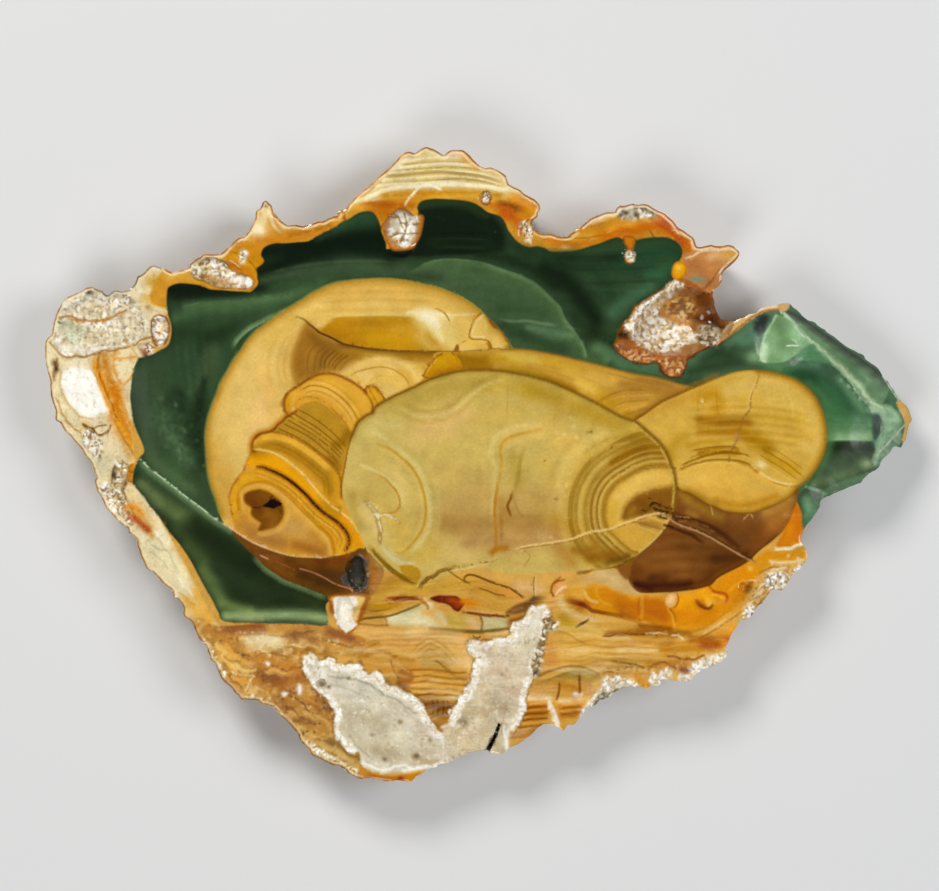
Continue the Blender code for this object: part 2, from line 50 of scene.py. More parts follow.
OUTLINE = (
    (50.8, 397.7), (50, 388), (49.8, 380), (47.4, 372), (45.6, 362), (44.6, 352.6), (44.9, 342.3),
    (47.7, 337.2), (51.3, 333.6), (52.3, 326.4), (53.8, 319.7), (56.9, 311.5), (60, 306), (62, 301.3),
    (66.7, 297.2), (71.8, 294.8), (77, 292.6), (81, 291), (85, 288), (89, 287), (92.8, 285.9), (95.4, 288.5),
    (99.5, 289.3), (102.4, 289.8), (104.1, 293.1), (106.7, 294.8), (110.3, 293.1), (112.8, 291), (115, 289.8),
    (121, 290.4), (127.2, 289.8), (130.3, 288.5), (132.8, 285.4), (134.5, 283.5), (135.9, 279.7),
    (137.4, 276.2), (140, 275), (142.5, 273.5), (144.6, 271), (147.2, 268), (150.3, 266), (153.8, 265.1),
    (157, 266), (161, 267.3), (165.1, 268.5), (168.7, 270.5), (172.3, 271.7), (178, 270.3), (183, 269.5),
    (187, 268), (189.2, 266.7), (190.3, 263.6), (193.3, 261.5), (197, 258), (200.5, 256.4), (204.6, 254),
    (210.8, 253.8), (215.9, 253.8), (221, 253.3), (224.1, 250.8), (226.7, 248.2), (230.3, 245.1), (234.4, 241),
    (239, 237.4), (243.6, 236.4), (246.7, 233.3), (249.7, 229.2), (251.8, 225.1), (253.8, 221), (255.4, 216.9),
    (255.4, 212.8), (256.9, 209.7), (260, 208.2), (261.5, 204.6), (262.6, 202), (266.2, 200.3), (269.2, 203.1),
    (272.3, 206.2), (273.3, 210.8), (274.9, 215.4), (277.9, 216.9), (280, 220), (283.6, 222.6), (287.7, 225.1),
    (291.8, 224.6), (295.9, 224.6), (300, 225.1), (303.1, 225.6), (308.2, 224.6), (313.3, 223.1),
    (318.5, 221.2), (323.6, 221), (326.7, 219), (330.8, 217.4), (334.9, 216.1), (337.2, 215.6), (338.2, 211),
    (343.3, 210), (345.9, 209), (346.9, 206.4), (349, 203.3), (352.1, 200.8), (355.6, 196.2), (360.8, 192.1),
    (365.9, 188.5), (370, 184.4), (375.1, 179.7), (380.3, 175.1), (385.4, 171), (390.5, 165.9), (395.6, 160.8),
    (399.7, 156.2), (403.8, 153.1), (407.9, 151.7), (415.1, 152.8), (418.2, 150.5), (422.3, 147.9),
    (425.9, 146.4), (430.5, 147.9), (436.7, 150.2), (440.3, 152.6), (443.8, 154.6), (445.9, 153.1),
    (447.9, 151.5), (451, 149.7), (457.2, 149.5), (463.3, 150), (467.4, 153.1), (471.5, 157.2), (475.6, 161.8),
    (480.8, 165.9), (485.9, 167.9), (489.5, 167.2), (495.6, 168.7), (500.8, 171.8), (505.9, 175.9),
    (507.4, 180), (509, 183.6), (515.1, 187.2), (520.3, 189.7), (524.4, 193.3), (529.5, 196.4), (534.6, 199),
    (537.7, 202), (540.3, 205.6), (540.3, 209.7), (538.2, 213.3), (537.7, 216.9), (533.6, 220), (531.5, 224.1),
    (533.6, 228.2), (536.7, 231.3), (542.8, 233.8), (551, 233.8), (558.2, 236.2), (567.4, 236.6),
    (570.5, 233.8), (575.6, 230.3), (580.8, 226.2), (586.9, 221), (593.1, 216.9), (599.2, 214.4),
    (606.4, 212.1), (614.6, 211.7), (616.2, 208.5), (619.7, 205.4), (623.8, 205.4), (631, 203.3),
    (638.2, 204.2), (644.4, 203.8), (649.5, 205.4), (654.6, 208.5), (659.7, 211), (664.9, 213.6), (669, 217.2),
    (674.1, 221.8), (678.2, 227.4), (682.3, 229.5), (687.4, 233.6), (693.6, 237.7), (695.6, 242.3),
    (697.2, 246.4), (700.3, 246.9), (705.9, 245.9), (711, 244.6), (716.2, 245.9), (721.3, 245.9),
    (727.4, 244.6), (732.1, 245.4), (735.6, 247.9), (739.7, 252.1), (739.7, 255.6), (735.6, 260.8),
    (730.5, 265.9), (725.4, 270), (722.3, 274.1), (722.3, 280.3), (719.2, 285.4), (715.1, 289.5),
    (713.6, 293.6), (715.1, 298.7), (716.7, 304.9), (718.2, 310), (719.7, 313.1), (722.3, 317.7),
    (727.4, 319.7), (733.6, 320.8), (738.7, 318.7), (743.8, 317.2), (749.5, 314.1), (755.9, 312.6),
    (761, 308.5), (768.2, 306.4), (775.4, 305.4), (781.5, 303.3), (785.6, 302.6), (790.8, 303.3),
    (793.8, 306.9), (799, 310.5), (803.1, 315.1), (808.2, 319.2), (814.4, 321.3), (820.5, 325.9), (827.7, 331),
    (835.9, 336.7), (843.1, 342.8), (850.3, 347.9), (858.5, 351.5), (864.6, 354.6), (867.7, 359.2),
    (873.8, 363.3), (879.5, 367.4), (883, 373), (886.7, 379.5), (889.2, 380.5), (891.8, 385.6), (895.9, 390.8),
    (899.5, 397.9), (903.1, 401), (908.2, 406.2), (911.3, 412.3), (913.3, 419.5), (910.8, 424.6),
    (909.2, 431.8), (907.2, 439), (904.6, 443.6), (902.1, 447.7), (898, 446.7), (893.8, 447.7), (890.8, 452.3),
    (887.7, 455.4), (882.6, 459.5), (881, 462.6), (879.5, 466.7), (875.4, 470.3), (871.3, 472.3),
    (867.2, 475.9), (863.1, 480), (861, 483.1), (855.9, 484.6), (850.8, 486.7), (846.7, 488.2), (840.5, 491.3),
    (834.4, 493.8), (827.2, 496.9), (822.1, 500), (820, 502.6), (820, 506.7), (816.9, 511.8), (813.8, 516.9),
    (811.8, 519.5), (807.7, 524.1), (805.1, 528.2), (802.6, 533.3), (801.5, 538.5), (802.6, 543.6),
    (805.6, 548.2), (807.2, 553.8), (807.2, 559), (803.6, 564.1), (799.5, 569.2), (794.4, 572.3),
    (791.3, 576.4), (789.2, 581), (786.2, 585.6), (782.1, 590.6), (776.9, 589.9), (772.3, 589.9),
    (769.2, 593.8), (765.6, 599), (762.6, 603.1), (758.5, 605.6), (755.4, 610.3), (751.3, 616.4),
    (745.1, 620.5), (740, 621), (737.9, 624.6), (734.9, 629.7), (731.8, 634.9), (729.7, 639.5), (727.2, 645.1),
    (725.1, 649.2), (727.7, 650.8), (727.2, 653.8), (725.1, 658.5), (719.5, 663.6), (713.8, 665.6),
    (708.7, 668.2), (702.6, 669.2), (699.5, 672.3), (696.4, 673.8), (693.8, 677.9), (688.2, 681), (682.1, 681),
    (671.8, 680.8), (662.6, 680), (660.5, 684.1), (657.4, 685.9), (651.3, 685.6), (646.2, 689.7),
    (643.1, 687.7), (637.9, 687.2), (630.8, 686.2), (624.6, 687.7), (620.5, 689.7), (615.4, 691.8),
    (610.3, 696.4), (605.1, 699.5), (600, 700.3), (597.4, 703.1), (592.3, 706.7), (586.2, 708.7),
    (584.6, 712.3), (581, 716.4), (577.9, 720), (574.9, 723.6), (571.8, 725.6), (568.7, 725.1), (566.2, 726.7),
    (563.6, 730.8), (561, 729.7), (557.4, 727.2), (552.3, 725.1), (547.2, 724.1), (543.1, 724.1), (539, 727.7),
    (533.8, 732.3), (528.7, 736.9), (523.6, 741), (517.4, 744.6), (511.3, 747.7), (507.2, 749.7),
    (506.2, 752.3), (500, 754.4), (494.9, 753.8), (487.7, 751.8), (484.6, 751.1), (479.5, 751.8),
    (472.3, 751.8), (464.6, 754.9), (457.4, 757.9), (449.2, 762.1), (443.1, 763.6), (437.9, 764.6),
    (435.9, 767.7), (430.8, 768.2), (426.7, 769.7), (422.6, 773.8), (417.4, 775.9), (413.3, 780),
    (409.2, 781.8), (402.1, 781.3), (395.9, 780.5), (390.8, 781.7), (385.6, 781), (379.5, 780.3),
    (373.3, 779.5), (367.2, 778.5), (361, 779.3), (357.9, 778.5), (352.8, 775.9), (347.7, 773.3),
    (344.6, 769.7), (339.5, 766.7), (333.3, 765.6), (327.2, 762.6), (320, 759), (312.3, 755.9), (308.7, 750.8),
    (304.1, 745.6), (300, 740.5), (298.5, 735.9), (295.4, 730.8), (290.3, 725.6), (285.6, 720.5), (281, 716.9),
    (278, 712.8), (275.4, 709.4), (271.3, 706.7), (267.2, 705.3), (261, 704.3), (258.5, 701), (253.3, 700.5),
    (247.7, 700), (241.5, 699.8), (239.5, 697.4), (234.9, 692.3), (230.3, 687.2), (225.1, 682.6), (221.5, 679),
    (219, 674.4), (216.9, 668.8), (214.9, 663.8), (211.3, 660.3), (209.2, 655.6), (207.2, 651), (205.1, 646.4),
    (202.6, 642.3), (199.5, 639.4), (196.9, 635.6), (195.4, 631), (193.3, 625.9), (190.7, 621.3), (187.7, 620),
    (184.1, 617.2), (182.8, 613.6), (183.4, 609.5), (182, 604.4), (179, 600), (176.4, 598.2), (173.3, 597.2),
    (172.8, 592.6), (170.3, 589.5), (166.7, 587), (162.6, 583.3), (158.5, 578.2), (154.4, 573.6),
    (150.3, 570.7), (146.7, 569.5), (144, 563.3), (141, 557), (139, 550.5), (136.9, 545.9), (135.9, 540),
    (132.3, 536), (128.5, 532.8), (127.7, 528.7), (123, 525.6), (118.5, 521.5), (115, 518), (111.8, 514.9),
    (108.7, 511.8), (105.1, 507.2), (102.6, 501), (100.5, 496.4), (97.4, 492.3), (95.4, 486), (94.4, 481),
    (96.2, 478.5), (95.4, 474.9), (92.8, 468.7), (90.8, 463), (87.7, 459.5), (84.1, 454.9), (81.5, 449.7),
    (77.4, 445.6), (73.8, 441.5), (70.5, 437), (67.2, 433.8), (62.6, 427.7), (59.5, 423), (55.1, 420),
    (54.9, 409.7),
)

# ------------------------------------------------------------------ drawing kit
def rgb(code):
    code = code.lstrip("#")
    return np.array([int(code[i:i + 2], 16) / 255.0 for i in (0, 2, 4)])


def smooth(lo, hi, value):
    t = np.clip((value - lo) / (hi - lo), 0.0, 1.0)
    return t * t * (3.0 - 2.0 * t)


def spline(points, closed=False, step=2.0):
    """A Catmull-Rom curve through given points, as a fine polyline."""
    p = np.asarray(points, float)
    if len(p) < 3:
        return p
    q = np.vstack([p[-1:], p, p[:2]]) if closed else np.vstack([2 * p[0] - p[1], p, 2 * p[-1] - p[-2]])
    out = []
    for i in range(len(q) - 3):
        a, b, c, d = q[i:i + 4]
        n = max(1, int(np.ceil(np.hypot(*(c - b)) / step)))
        t = (np.arange(n) / n)[:, None]
        out.append(0.5 * (2 * b + (c - a) * t + (2 * a - 5 * b + 4 * c - d) * t ** 2
                          + (3 * b - a - 3 * c + d) * t ** 3))
    if not closed:
        out.append(p[-1:])
    return np.vstack(out)


def to_line(x, y, line, reach=1e6):
    """Distance to a polyline, place along it from 0 to 1, and side (+1 on the left hand going along it, y down)."""
    seg_a, seg_b = line[:-1], line[1:]
    d = seg_b - seg_a
    length = np.hypot(d[:, 0], d[:, 1]) + 1e-9
    start = np.concatenate([[0.0], np.cumsum(length)[:-1]])
    best = np.full(x.shape, float(reach) ** 2)
    where = np.zeros(x.shape)
    side = np.ones(x.shape)
    chunk = 10
    for c in range(0, len(seg_a), chunk):
        lo = np.minimum(seg_a[c:c + chunk].min(0), seg_b[c:c + chunk].min(0)) - reach
        hi = np.maximum(seg_a[c:c + chunk].max(0), seg_b[c:c + chunk].max(0)) + reach
        idx = np.nonzero((x >= lo[0]) & (x <= hi[0]) & (y >= lo[1]) & (y <= hi[1]))[0]
        if not len(idx):
            continue
        sx, sy, sb, sw, ss = x[idx], y[idx], best[idx], where[idx], side[idx]
        for k in range(c, min(c + chunk, len(seg_a))):
            px, py = sx - seg_a[k, 0], sy - seg_a[k, 1]
            t = np.clip((px * d[k, 0] + py * d[k, 1]) / length[k] ** 2, 0.0, 1.0)
            ex, ey = px - t * d[k, 0], py - t * d[k, 1]
            dist = ex * ex + ey * ey
            near = dist < sb
            sb = np.where(near, dist, sb)
            sw = np.where(near, start[k] + t * length[k], sw)
            ss = np.where(near, d[k, 1] * px - d[k, 0] * py, ss)
        best[idx], where[idx], side[idx] = sb, sw, ss
    return np.sqrt(best), where / (start[-1] + length[-1]), np.where(side >= 0, 1.0, -1.0)


def inside(x, y, line):
    """Whether each point is inside a closed polyline."""
    ax, ay = line[:, 0], line[:, 1]
    bx, by = np.roll(ax, -1), np.roll(ay, -1)
    odd = np.zeros(x.shape, bool)
    order = np.argsort(y, kind="stable")
    ys = y[order]
    for k in range(len(ax)):
        lo, hi = min(ay[k], by[k]), max(ay[k], by[k])
        if lo == hi:
            continue
        i, j = np.searchsorted(ys, lo, "left"), np.searchsorted(ys, hi, "left")
        if i == j:
            continue
        sub = order[i:j]
        cross = x[sub] < (bx[k] - ax[k]) * (y[sub] - ay[k]) / (by[k] - ay[k]) + ax[k]
        odd[sub] ^= cross
    return odd


def signed(x, y, line, reach=1e6):
    """Signed distance to a closed polyline, negative inside, and the place along it."""
    ring = np.vstack([line, line[:1]])
    dist, where, _ = to_line(x, y, ring, reach)
    return np.where(inside(x, y, line), -dist, dist), where


def hash2(ix, iy, seed):
    n = (ix.astype(np.int64) * 374761393 + iy.astype(np.int64) * 668265263 + seed * 1442695041) & 0xFFFFFFFF
    n = ((n ^ (n >> 13)) * 1274126177) & 0xFFFFFFFF
    n = ((n ^ (n >> 16)) * 2246822519) & 0xFFFFFFFF
    return ((n ^ (n >> 15)) & 0xFFFFFF) / float(0xFFFFFF)


def noise(x, y, scale, seed=0):
    """Smooth noise from -1 to 1 with lumps of about this scale; scale may be (across, down)."""
    sx, sy = scale if isinstance(scale, (tuple, list)) else (scale, scale)
    u, v = x / sx, y / sy
    i, j = np.floor(u), np.floor(v)
    fu, fv = u - i, v - j
    fu, fv = fu * fu * fu * (fu * (fu * 6 - 15) + 10), fv * fv * fv * (fv * (fv * 6 - 15) + 10)
    a, b = hash2(i, j, seed), hash2(i + 1, j, seed)
    c, d = hash2(i, j + 1, seed), hash2(i + 1, j + 1, seed)
    return 2.0 * ((a * (1 - fu) + b * fu) * (1 - fv) + (c * (1 - fu) + d * fu) * fv) - 1.0


def fractal(x, y, scale, octaves=3, seed=0, gain=0.5):
    sx, sy = scale if isinstance(scale, (tuple, list)) else (scale, scale)
    total, weight, size = 0.0, 1.0, 0.0
    for k in range(octaves):
        total = total + weight * noise(x + 17.3 * k, y - 9.1 * k, (sx / 2 ** k, sy / 2 ** k), seed + 31 * k)
        size += weight
        weight *= gain
    return total / size


def grains(x, y, cell, seed=0, fill=1.0):
    """Round grains scattered one to a cell: (0 at the edge to 1 at the middle, random number of the grain)."""
    u, v = x / cell, y / cell
    i, j = np.floor(u), np.floor(v)
    best = np.full(x.shape, 9.0)
    tag = np.zeros(x.shape)
    for di in (-1, 0, 1):
        for dj in (-1, 0, 1):
            ii, jj = i + di, j + dj
            cx = ii + 0.15 + 0.7 * hash2(ii, jj, seed)
            cy = jj + 0.15 + 0.7 * hash2(ii, jj, seed + 7)
            on = hash2(ii, jj, seed + 13) < fill
            d = np.where(on, (u - cx) ** 2 + (v - cy) ** 2, 9.0)
            near = d < best
            best = np.where(near, d, best)
            tag = np.where(near, hash2(ii, jj, seed + 19), tag)
    return np.clip(1.0 - np.sqrt(best) / 0.62, 0.0, 1.0), tag


def moved(points, off):
    """A polyline shifted sideways by off."""
    p = np.asarray(points, float)
    t = np.gradient(p, axis=0)
    t /= np.hypot(t[:, 0], t[:, 1])[:, None] + 1e-9
    return p + np.stack([t[:, 1], -t[:, 0]], 1) * off


class Plan:
    """Takes the same strokes as Painting, and notes where the mesh needs rows of points to draw them cleanly."""

    def __init__(self):
        self.rows = []
        self.dense = []

    def row(self, line, offsets, step):
        for off in offsets:
            self.rows.append((moved(line, off) if off else line, step))

    def fill(self, points, colour, soft=0.8, op=1.0, curve=True, wob=None, **rest):
        if wob and wob[0] > 1.0:
            self.dense.append((spline(points, True) if curve else np.asarray(points, float), 1.9))
            return
        if soft > 1.6 or op < 0.4:
            return
        line = spline(points, True) if curve else np.asarray(points, float)
        line = np.vstack([line, line[:1]])
        self.row(line, (-soft, soft) if soft < 1.1 else (-soft, 0, soft), 2.4)

    def stroke(self, points, colour, width=1.0, soft=0.6, op=1.0, curve=True, **rest):
        most = max(width) if isinstance(width, (tuple, list)) else width
        if soft > 1.6 or op < 0.3:
            return
        line = spline(points) if curve else np.asarray(points, float)
        edge = most / 2 + soft
        if edge < 1.6:
            self.row(line, (-edge, 0, edge), 2.4)
        elif most < 3.5:
            self.row(line, (-edge, -edge / 3, edge / 3, edge), 2.4)
        else:
            self.row(line, (-edge, -edge + 2 * soft, edge - 2 * soft, edge), 2.4)

    def bands(self, points, ramp, op=1.0, curve=True, closed=False, **rest):
        if op < 0.3:
            return
        line = spline(points, closed) if curve else np.asarray(points, float)
        for k in range(len(ramp)):
            last = ramp[k - 1][0] if k else -1e9
            if ramp[k][0] - last > 0.9:
                self.row(line, (ramp[k][0],), 2.8)

    def detail(self, points, spacing, curve=True):
        self.dense.append((spline(points, True) if curve else np.asarray(points, float), spacing))

    def crystals(self, points, tones, cell, gap="", seam=0.35, seed=1, curve=True, **rest):
        self.dense.append((spline(points, True) if curve else np.asarray(points, float), max(1.35, cell * 0.5)))

    def glow(self, *args, **rest):
        pass

    wash = mottle = streak = sprinkle = only = hollow = raw = mark = glow


class Painting:
    """Colour, relief and finish of the polished face, painted at a set of points with strokes and shapes."""

    def __init__(self, x, y):
        self.x = np.asarray(x, float)
        self.y = np.asarray(y, float)
        n = len(self.x)
        self.colour = np.zeros((n, 3))
        self.relief = np.zeros(n)  # millimetres, negative below the polished plane
        self.rough = np.zeros(n)  # 0 is polished, 1 is raw
        self.kind = np.zeros((n, 3))  # how much fine strata, sandy grain and rind the material adds
        self.clip = None

    def near(self, line, reach):
        lo, hi = line.min(0) - reach, line.max(0) + reach
        pick = (self.x >= lo[0]) & (self.x <= hi[0]) & (self.y >= lo[1]) & (self.y <= hi[1])
        if self.clip is not None:
            pick &= self.clip > 0.002
        return np.nonzero(pick)[0]

    def blend(self, idx, mask, colour):
        if self.clip is not None:
            mask = mask * self.clip[idx]
        m = mask[:, None]
        self.colour[idx] = self.colour[idx] * (1 - m) + np.asarray(colour) * m

    def fill(self, points, colour, soft=0.8, op=1.0, curve=True, wob=None, rim=None, rough=None, relief=None):
        """A closed shape. rim = (colour, width, strength) shades its inner edge; wob = (size, scale, seed) makes it uneven."""
        line = spline(points, True) if curve else np.asarray(points, float)
        idx = self.near(line, soft + (wob[0] if wob else 0) + 1)
        if not len(idx):
            return
        x, y = self.x[idx], self.y[idx]
        if wob:
            x, y = (x + wob[0] * fractal(x, y, wob[1], 2, wob[2]),
                    y + wob[0] * fractal(x + 50, y + 50, wob[1], 2, wob[2] + 5))
        reach = max(soft, rim[1] * 2.5 if rim else 0, abs(relief) * 8 if relief else 0) + 2
        sd, _ = signed(x, y, line, reach)
        hard = smooth(soft, -soft, sd)
        c = rgb(colour)
        if rim is not None:
            shade = (rim[2] if len(rim) > 2 else 1.0) * np.exp(-(np.maximum(-sd, 0) / rim[1]) ** 2)[:, None]
            c = c * (1 - shade) + rgb(rim[0]) * shade
        self.blend(idx, hard * op, c)
        if rough is not None:
            self.rough[idx] = self.rough[idx] * (1 - hard) + rough * hard
        if relief is not None:
            self.relief[idx] += relief * smooth(0.0, max(2.0, abs(relief) * 7), -sd)

    def stroke(self, points, colour, width=1.0, soft=0.6, op=1.0, curve=True, fade=0.0, wob=None, relief=None):
        """A line. width may be several numbers along it; fade softens both ends over that part of its length."""
        line = spline(points) if curve else np.asarray(points, float)
        many = isinstance(width, (tuple, list))
        most = max(width) if many else width
        reach = most / 2 + soft + 1 + (wob[0] if wob else 0)
        idx = self.near(line, reach)
        if not len(idx):
            return
        x, y = self.x[idx], self.y[idx]
        if wob:
            x, y = x + wob[0] * noise(x, y, wob[1], wob[2]), y + wob[0] * noise(x + 50, y + 50, wob[1], wob[2] + 5)
        dist, t, _ = to_line(x, y, line, reach)
        w = np.interp(t, np.linspace(0, 1, len(width)), width) if many else width
        mask = smooth(w / 2 + soft, w / 2 - soft, dist) * op
        if many:
            mask = mask * np.clip(w / 0.6, 0, 1)
        if fade:
            mask = mask * smooth(-0.001, fade, t) * smooth(1.001, 1 - fade, t)
        self.blend(idx, mask, rgb(colour))
        if relief is not None:
            self.relief[idx] += relief * mask

    def glow(self, cx, cy, rx, ry, colour, op=0.5, turn=0.0, hard=1.0):
        """A soft elliptical patch."""
        a = np.radians(turn)
        idx = self.near(np.array([[cx, cy]]), max(rx, ry) * 2.2)
        if not len(idx):
            return
        u = (self.x[idx] - cx) * np.cos(a) + (self.y[idx] - cy) * np.sin(a)
        v = -(self.x[idx] - cx) * np.sin(a) + (self.y[idx] - cy) * np.cos(a)
        self.blend(idx, op * np.exp(-((u / rx) ** 2 + (v / ry) ** 2) ** hard), rgb(colour))

    def wash(self, points, colour, width, op=0.5):
        """A soft broad brush stroke, faded to a third at this distance from its middle."""
        line = spline(points, step=6.0)
        many = isinstance(width, (tuple, list))
        most = max(width) if many else width
        idx = self.near(line, most * 2)
        if not len(idx):
            return
        dist, t, _ = to_line(self.x[idx], self.y[idx], line, most * 2)
        w = np.interp(t, np.linspace(0, 1, len(width)), width) if many else width
        mask = op * np.exp(-(dist / w) ** 2) * (dist < most * 1.99)
        self.blend(idx, mask, rgb(colour))

    def bands(self, points, ramp, op=1.0, curve=True, closed=False, fade=0.0, wob=None):
        """Colour by the distance beside a curve, + on its left hand. ramp is a list of (distance, colour, strength)."""
        line = spline(points, closed) if curve else np.asarray(points, float)
        if closed:
            line = np.vstack([line, line[:1]])
        far = max(abs(ramp[0][0]), abs(ramp[-1][0]))
        idx = self.near(line, far + 1)
        if not len(idx):
            return
        x, y = self.x[idx], self.y[idx]
        if wob:
            x, y = x + wob[0] * noise(x, y, wob[1], wob[2]), y + wob[0] * noise(x + 50, y + 50, wob[1], wob[2] + 5)
        dist, t, side = to_line(x, y, line, far + 2)
        off = dist * side
        stops = [r[0] for r in ramp]
        cols = np.array([rgb(r[1]) for r in ramp])
        c = np.stack([np.interp(off, stops, cols[:, k]) for k in range(3)], 1)
        a = np.interp(off, stops, [r[2] if len(r) > 2 else 1.0 for r in ramp], left=0.0, right=0.0) * op
        a = np.where(dist > far + 1, 0.0, a)
        if fade:
            a = a * smooth(-0.001, fade, t) * smooth(1.001, 1 - fade, t)
        self.blend(idx, a, c)

    def mottle(self, points, amount, scale, seed=1, octaves=3, curve=True, soft=4.0, tint=None, lo=-1.0, hi=1.0):
        """Lightens and darkens what is already painted, in lumps; or blends in a tint where the noise is over lo."""
        line = spline(points, True) if curve else np.asarray(points, float)
        idx = self.near(line, soft + 1)
        if not len(idx):
            return
        x, y = self.x[idx], self.y[idx]
        sd, _ = signed(x, y, line, soft + 2)
        mask = smooth(soft, -soft, sd)
        n = fractal(x, y, scale, octaves, seed)
        if tint is None:
            if self.clip is not None:
                mask = mask * self.clip[idx]
            self.colour[idx] = self.colour[idx] * (1 + amount * n * mask)[:, None]
        else:
            self.blend(idx, mask * amount * smooth(lo, hi, n), rgb(tint))

    def sprinkle(self, points, colour, cell, fill, op=0.8, seed=1, curve=True, size=1.0, soft=2.0, relief=None):
        """Small uneven specks of many sizes."""
        line = spline(points, True) if curve else np.asarray(points, float)
        idx = self.near(line, 2)
        if not len(idx):
            return
        x, y = self.x[idx], self.y[idx]
        sd, _ = signed(x, y, line, soft + 2)
        wx = x + 0.35 * cell * noise(x, y, cell * 0.9, seed + 3) + 0.8 * cell * noise(x, y, cell * 4, seed + 4)
        wy = y + 0.35 * cell * noise(x + 50, y, cell * 0.9, seed + 5) + 0.8 * cell * noise(x + 50, y, cell * 4, seed + 6)
        g, tag = grains(wx, wy, cell, seed, fill)
        reach = size * (0.35 + 0.65 * tag)
        patchy = 0.35 + 0.65 * smooth(-0.5, 0.35, noise(x, y, cell * 5.0, seed + 8))
        mask = smooth(1.0 - reach, 1.0 - reach + 0.4, g) * smooth(soft, -soft, sd) * patchy
        self.blend(idx, mask * op * (0.45 + 0.55 * tag), rgb(colour))
        if relief is not None:
            self.relief[idx] += relief * mask

    def crystals(self, points, tones, cell, gap="#6b4a22", seam=0.35, seed=1, op=1.0, soft=1.5, relief=0.0, curve=True, rough=0.6):
        """A crust of small grains, each with a tone of its own and a darker seam round it."""
        line = spline(points, True) if curve else np.asarray(points, float)
        idx = self.near(line, soft + 1)
        if not len(idx):
            return
        x, y = self.x[idx], self.y[idx]
        sd, _ = signed(x + 1.2 * noise(x, y, 5, seed), y + 1.2 * noise(x, y, 5, seed + 1), line, soft + 3)
        mask = smooth(soft, -soft, sd)
        wx = x + 0.4 * cell * noise(x, y, cell * 1.1, seed + 3)
        wy = y + 0.4 * cell * noise(x + 50, y, cell * 1.1, seed + 5)
        g, tag = grains(wx, wy, cell, seed, 1.0)
        table = np.array([rgb(t) for t in tones])
        c = table[np.minimum((tag * len(tones)).astype(int), len(tones) - 1)]
        light = 1.0 + 0.16 * fractal(x, y, cell * 0.8, 2, seed + 9)[:, None]
        s = smooth(0.0, seam, g)[:, None]
        self.blend(idx, mask * op, (c * s + rgb(gap) * (1 - s)) * light)
        if relief:
            self.relief[idx] += relief * mask * (g * (0.4 + 0.9 * tag) - 0.25)
        self.rough[idx] = np.maximum(self.rough[idx], rough * mask)

    def raw(self, points, amount, soft=2.0, relief=0.0, curve=True):
        """Marks rough, unpolished stone, sunk by relief."""
        line = spline(points, True) if curve else np.asarray(points, float)
        idx = self.near(line, soft + 1)
        if not len(idx):
            return
        sd, _ = signed(self.x[idx], self.y[idx], line, soft + 2)
        mask = smooth(soft, -soft, sd)
        self.rough[idx] = np.maximum(self.rough[idx], amount * mask)
        self.relief[idx] += relief * mask

    def mark(self, points, which, amount, soft=6.0, inset=0.0):
        """Says which fine grain the material adds here: 0 strata, 1 sand, 2 rind."""
        line = spline(points, True)
        idx = self.near(line, soft + 1)
        if len(idx):
            sd, _ = signed(self.x[idx], self.y[idx], line, soft + 2)
            mask = smooth(soft, -soft, sd + inset)[:, None]
            want = np.zeros(3)
            want[which] = amount
            self.kind[idx] = self.kind[idx] * (1 - mask) + want * mask

    def detail(self, *args, **rest):
        pass

    def only(self, points=None, soft=0.8, curve=True):
        """Keeps the next strokes inside this closed shape; with no shape, ends that."""
        if points is None:
            self.clip = None
            return
        line = spline(points, True) if curve else np.asarray(points, float)
        sd, _ = signed(self.x, self.y, line, soft + 2)
        self.clip = smooth(soft, -soft, sd)


# ------------------------------------------------------------------ colours
BLACK_GREEN, NIGHT, DEEP, PINE = "#0f190d", "#172619", "#202f1b", "#2a4029"
FOREST, MOSS, FERN, SAGE = "#344a2f", "#41553a", "#4e6342", "#5e7a4f"
MINT, PALE_MINT, FROST = "#84a272", "#a6bf93", "#cfe2bd"
TEAL, TEAL_LIGHT = "#27462f", "#3c6446"


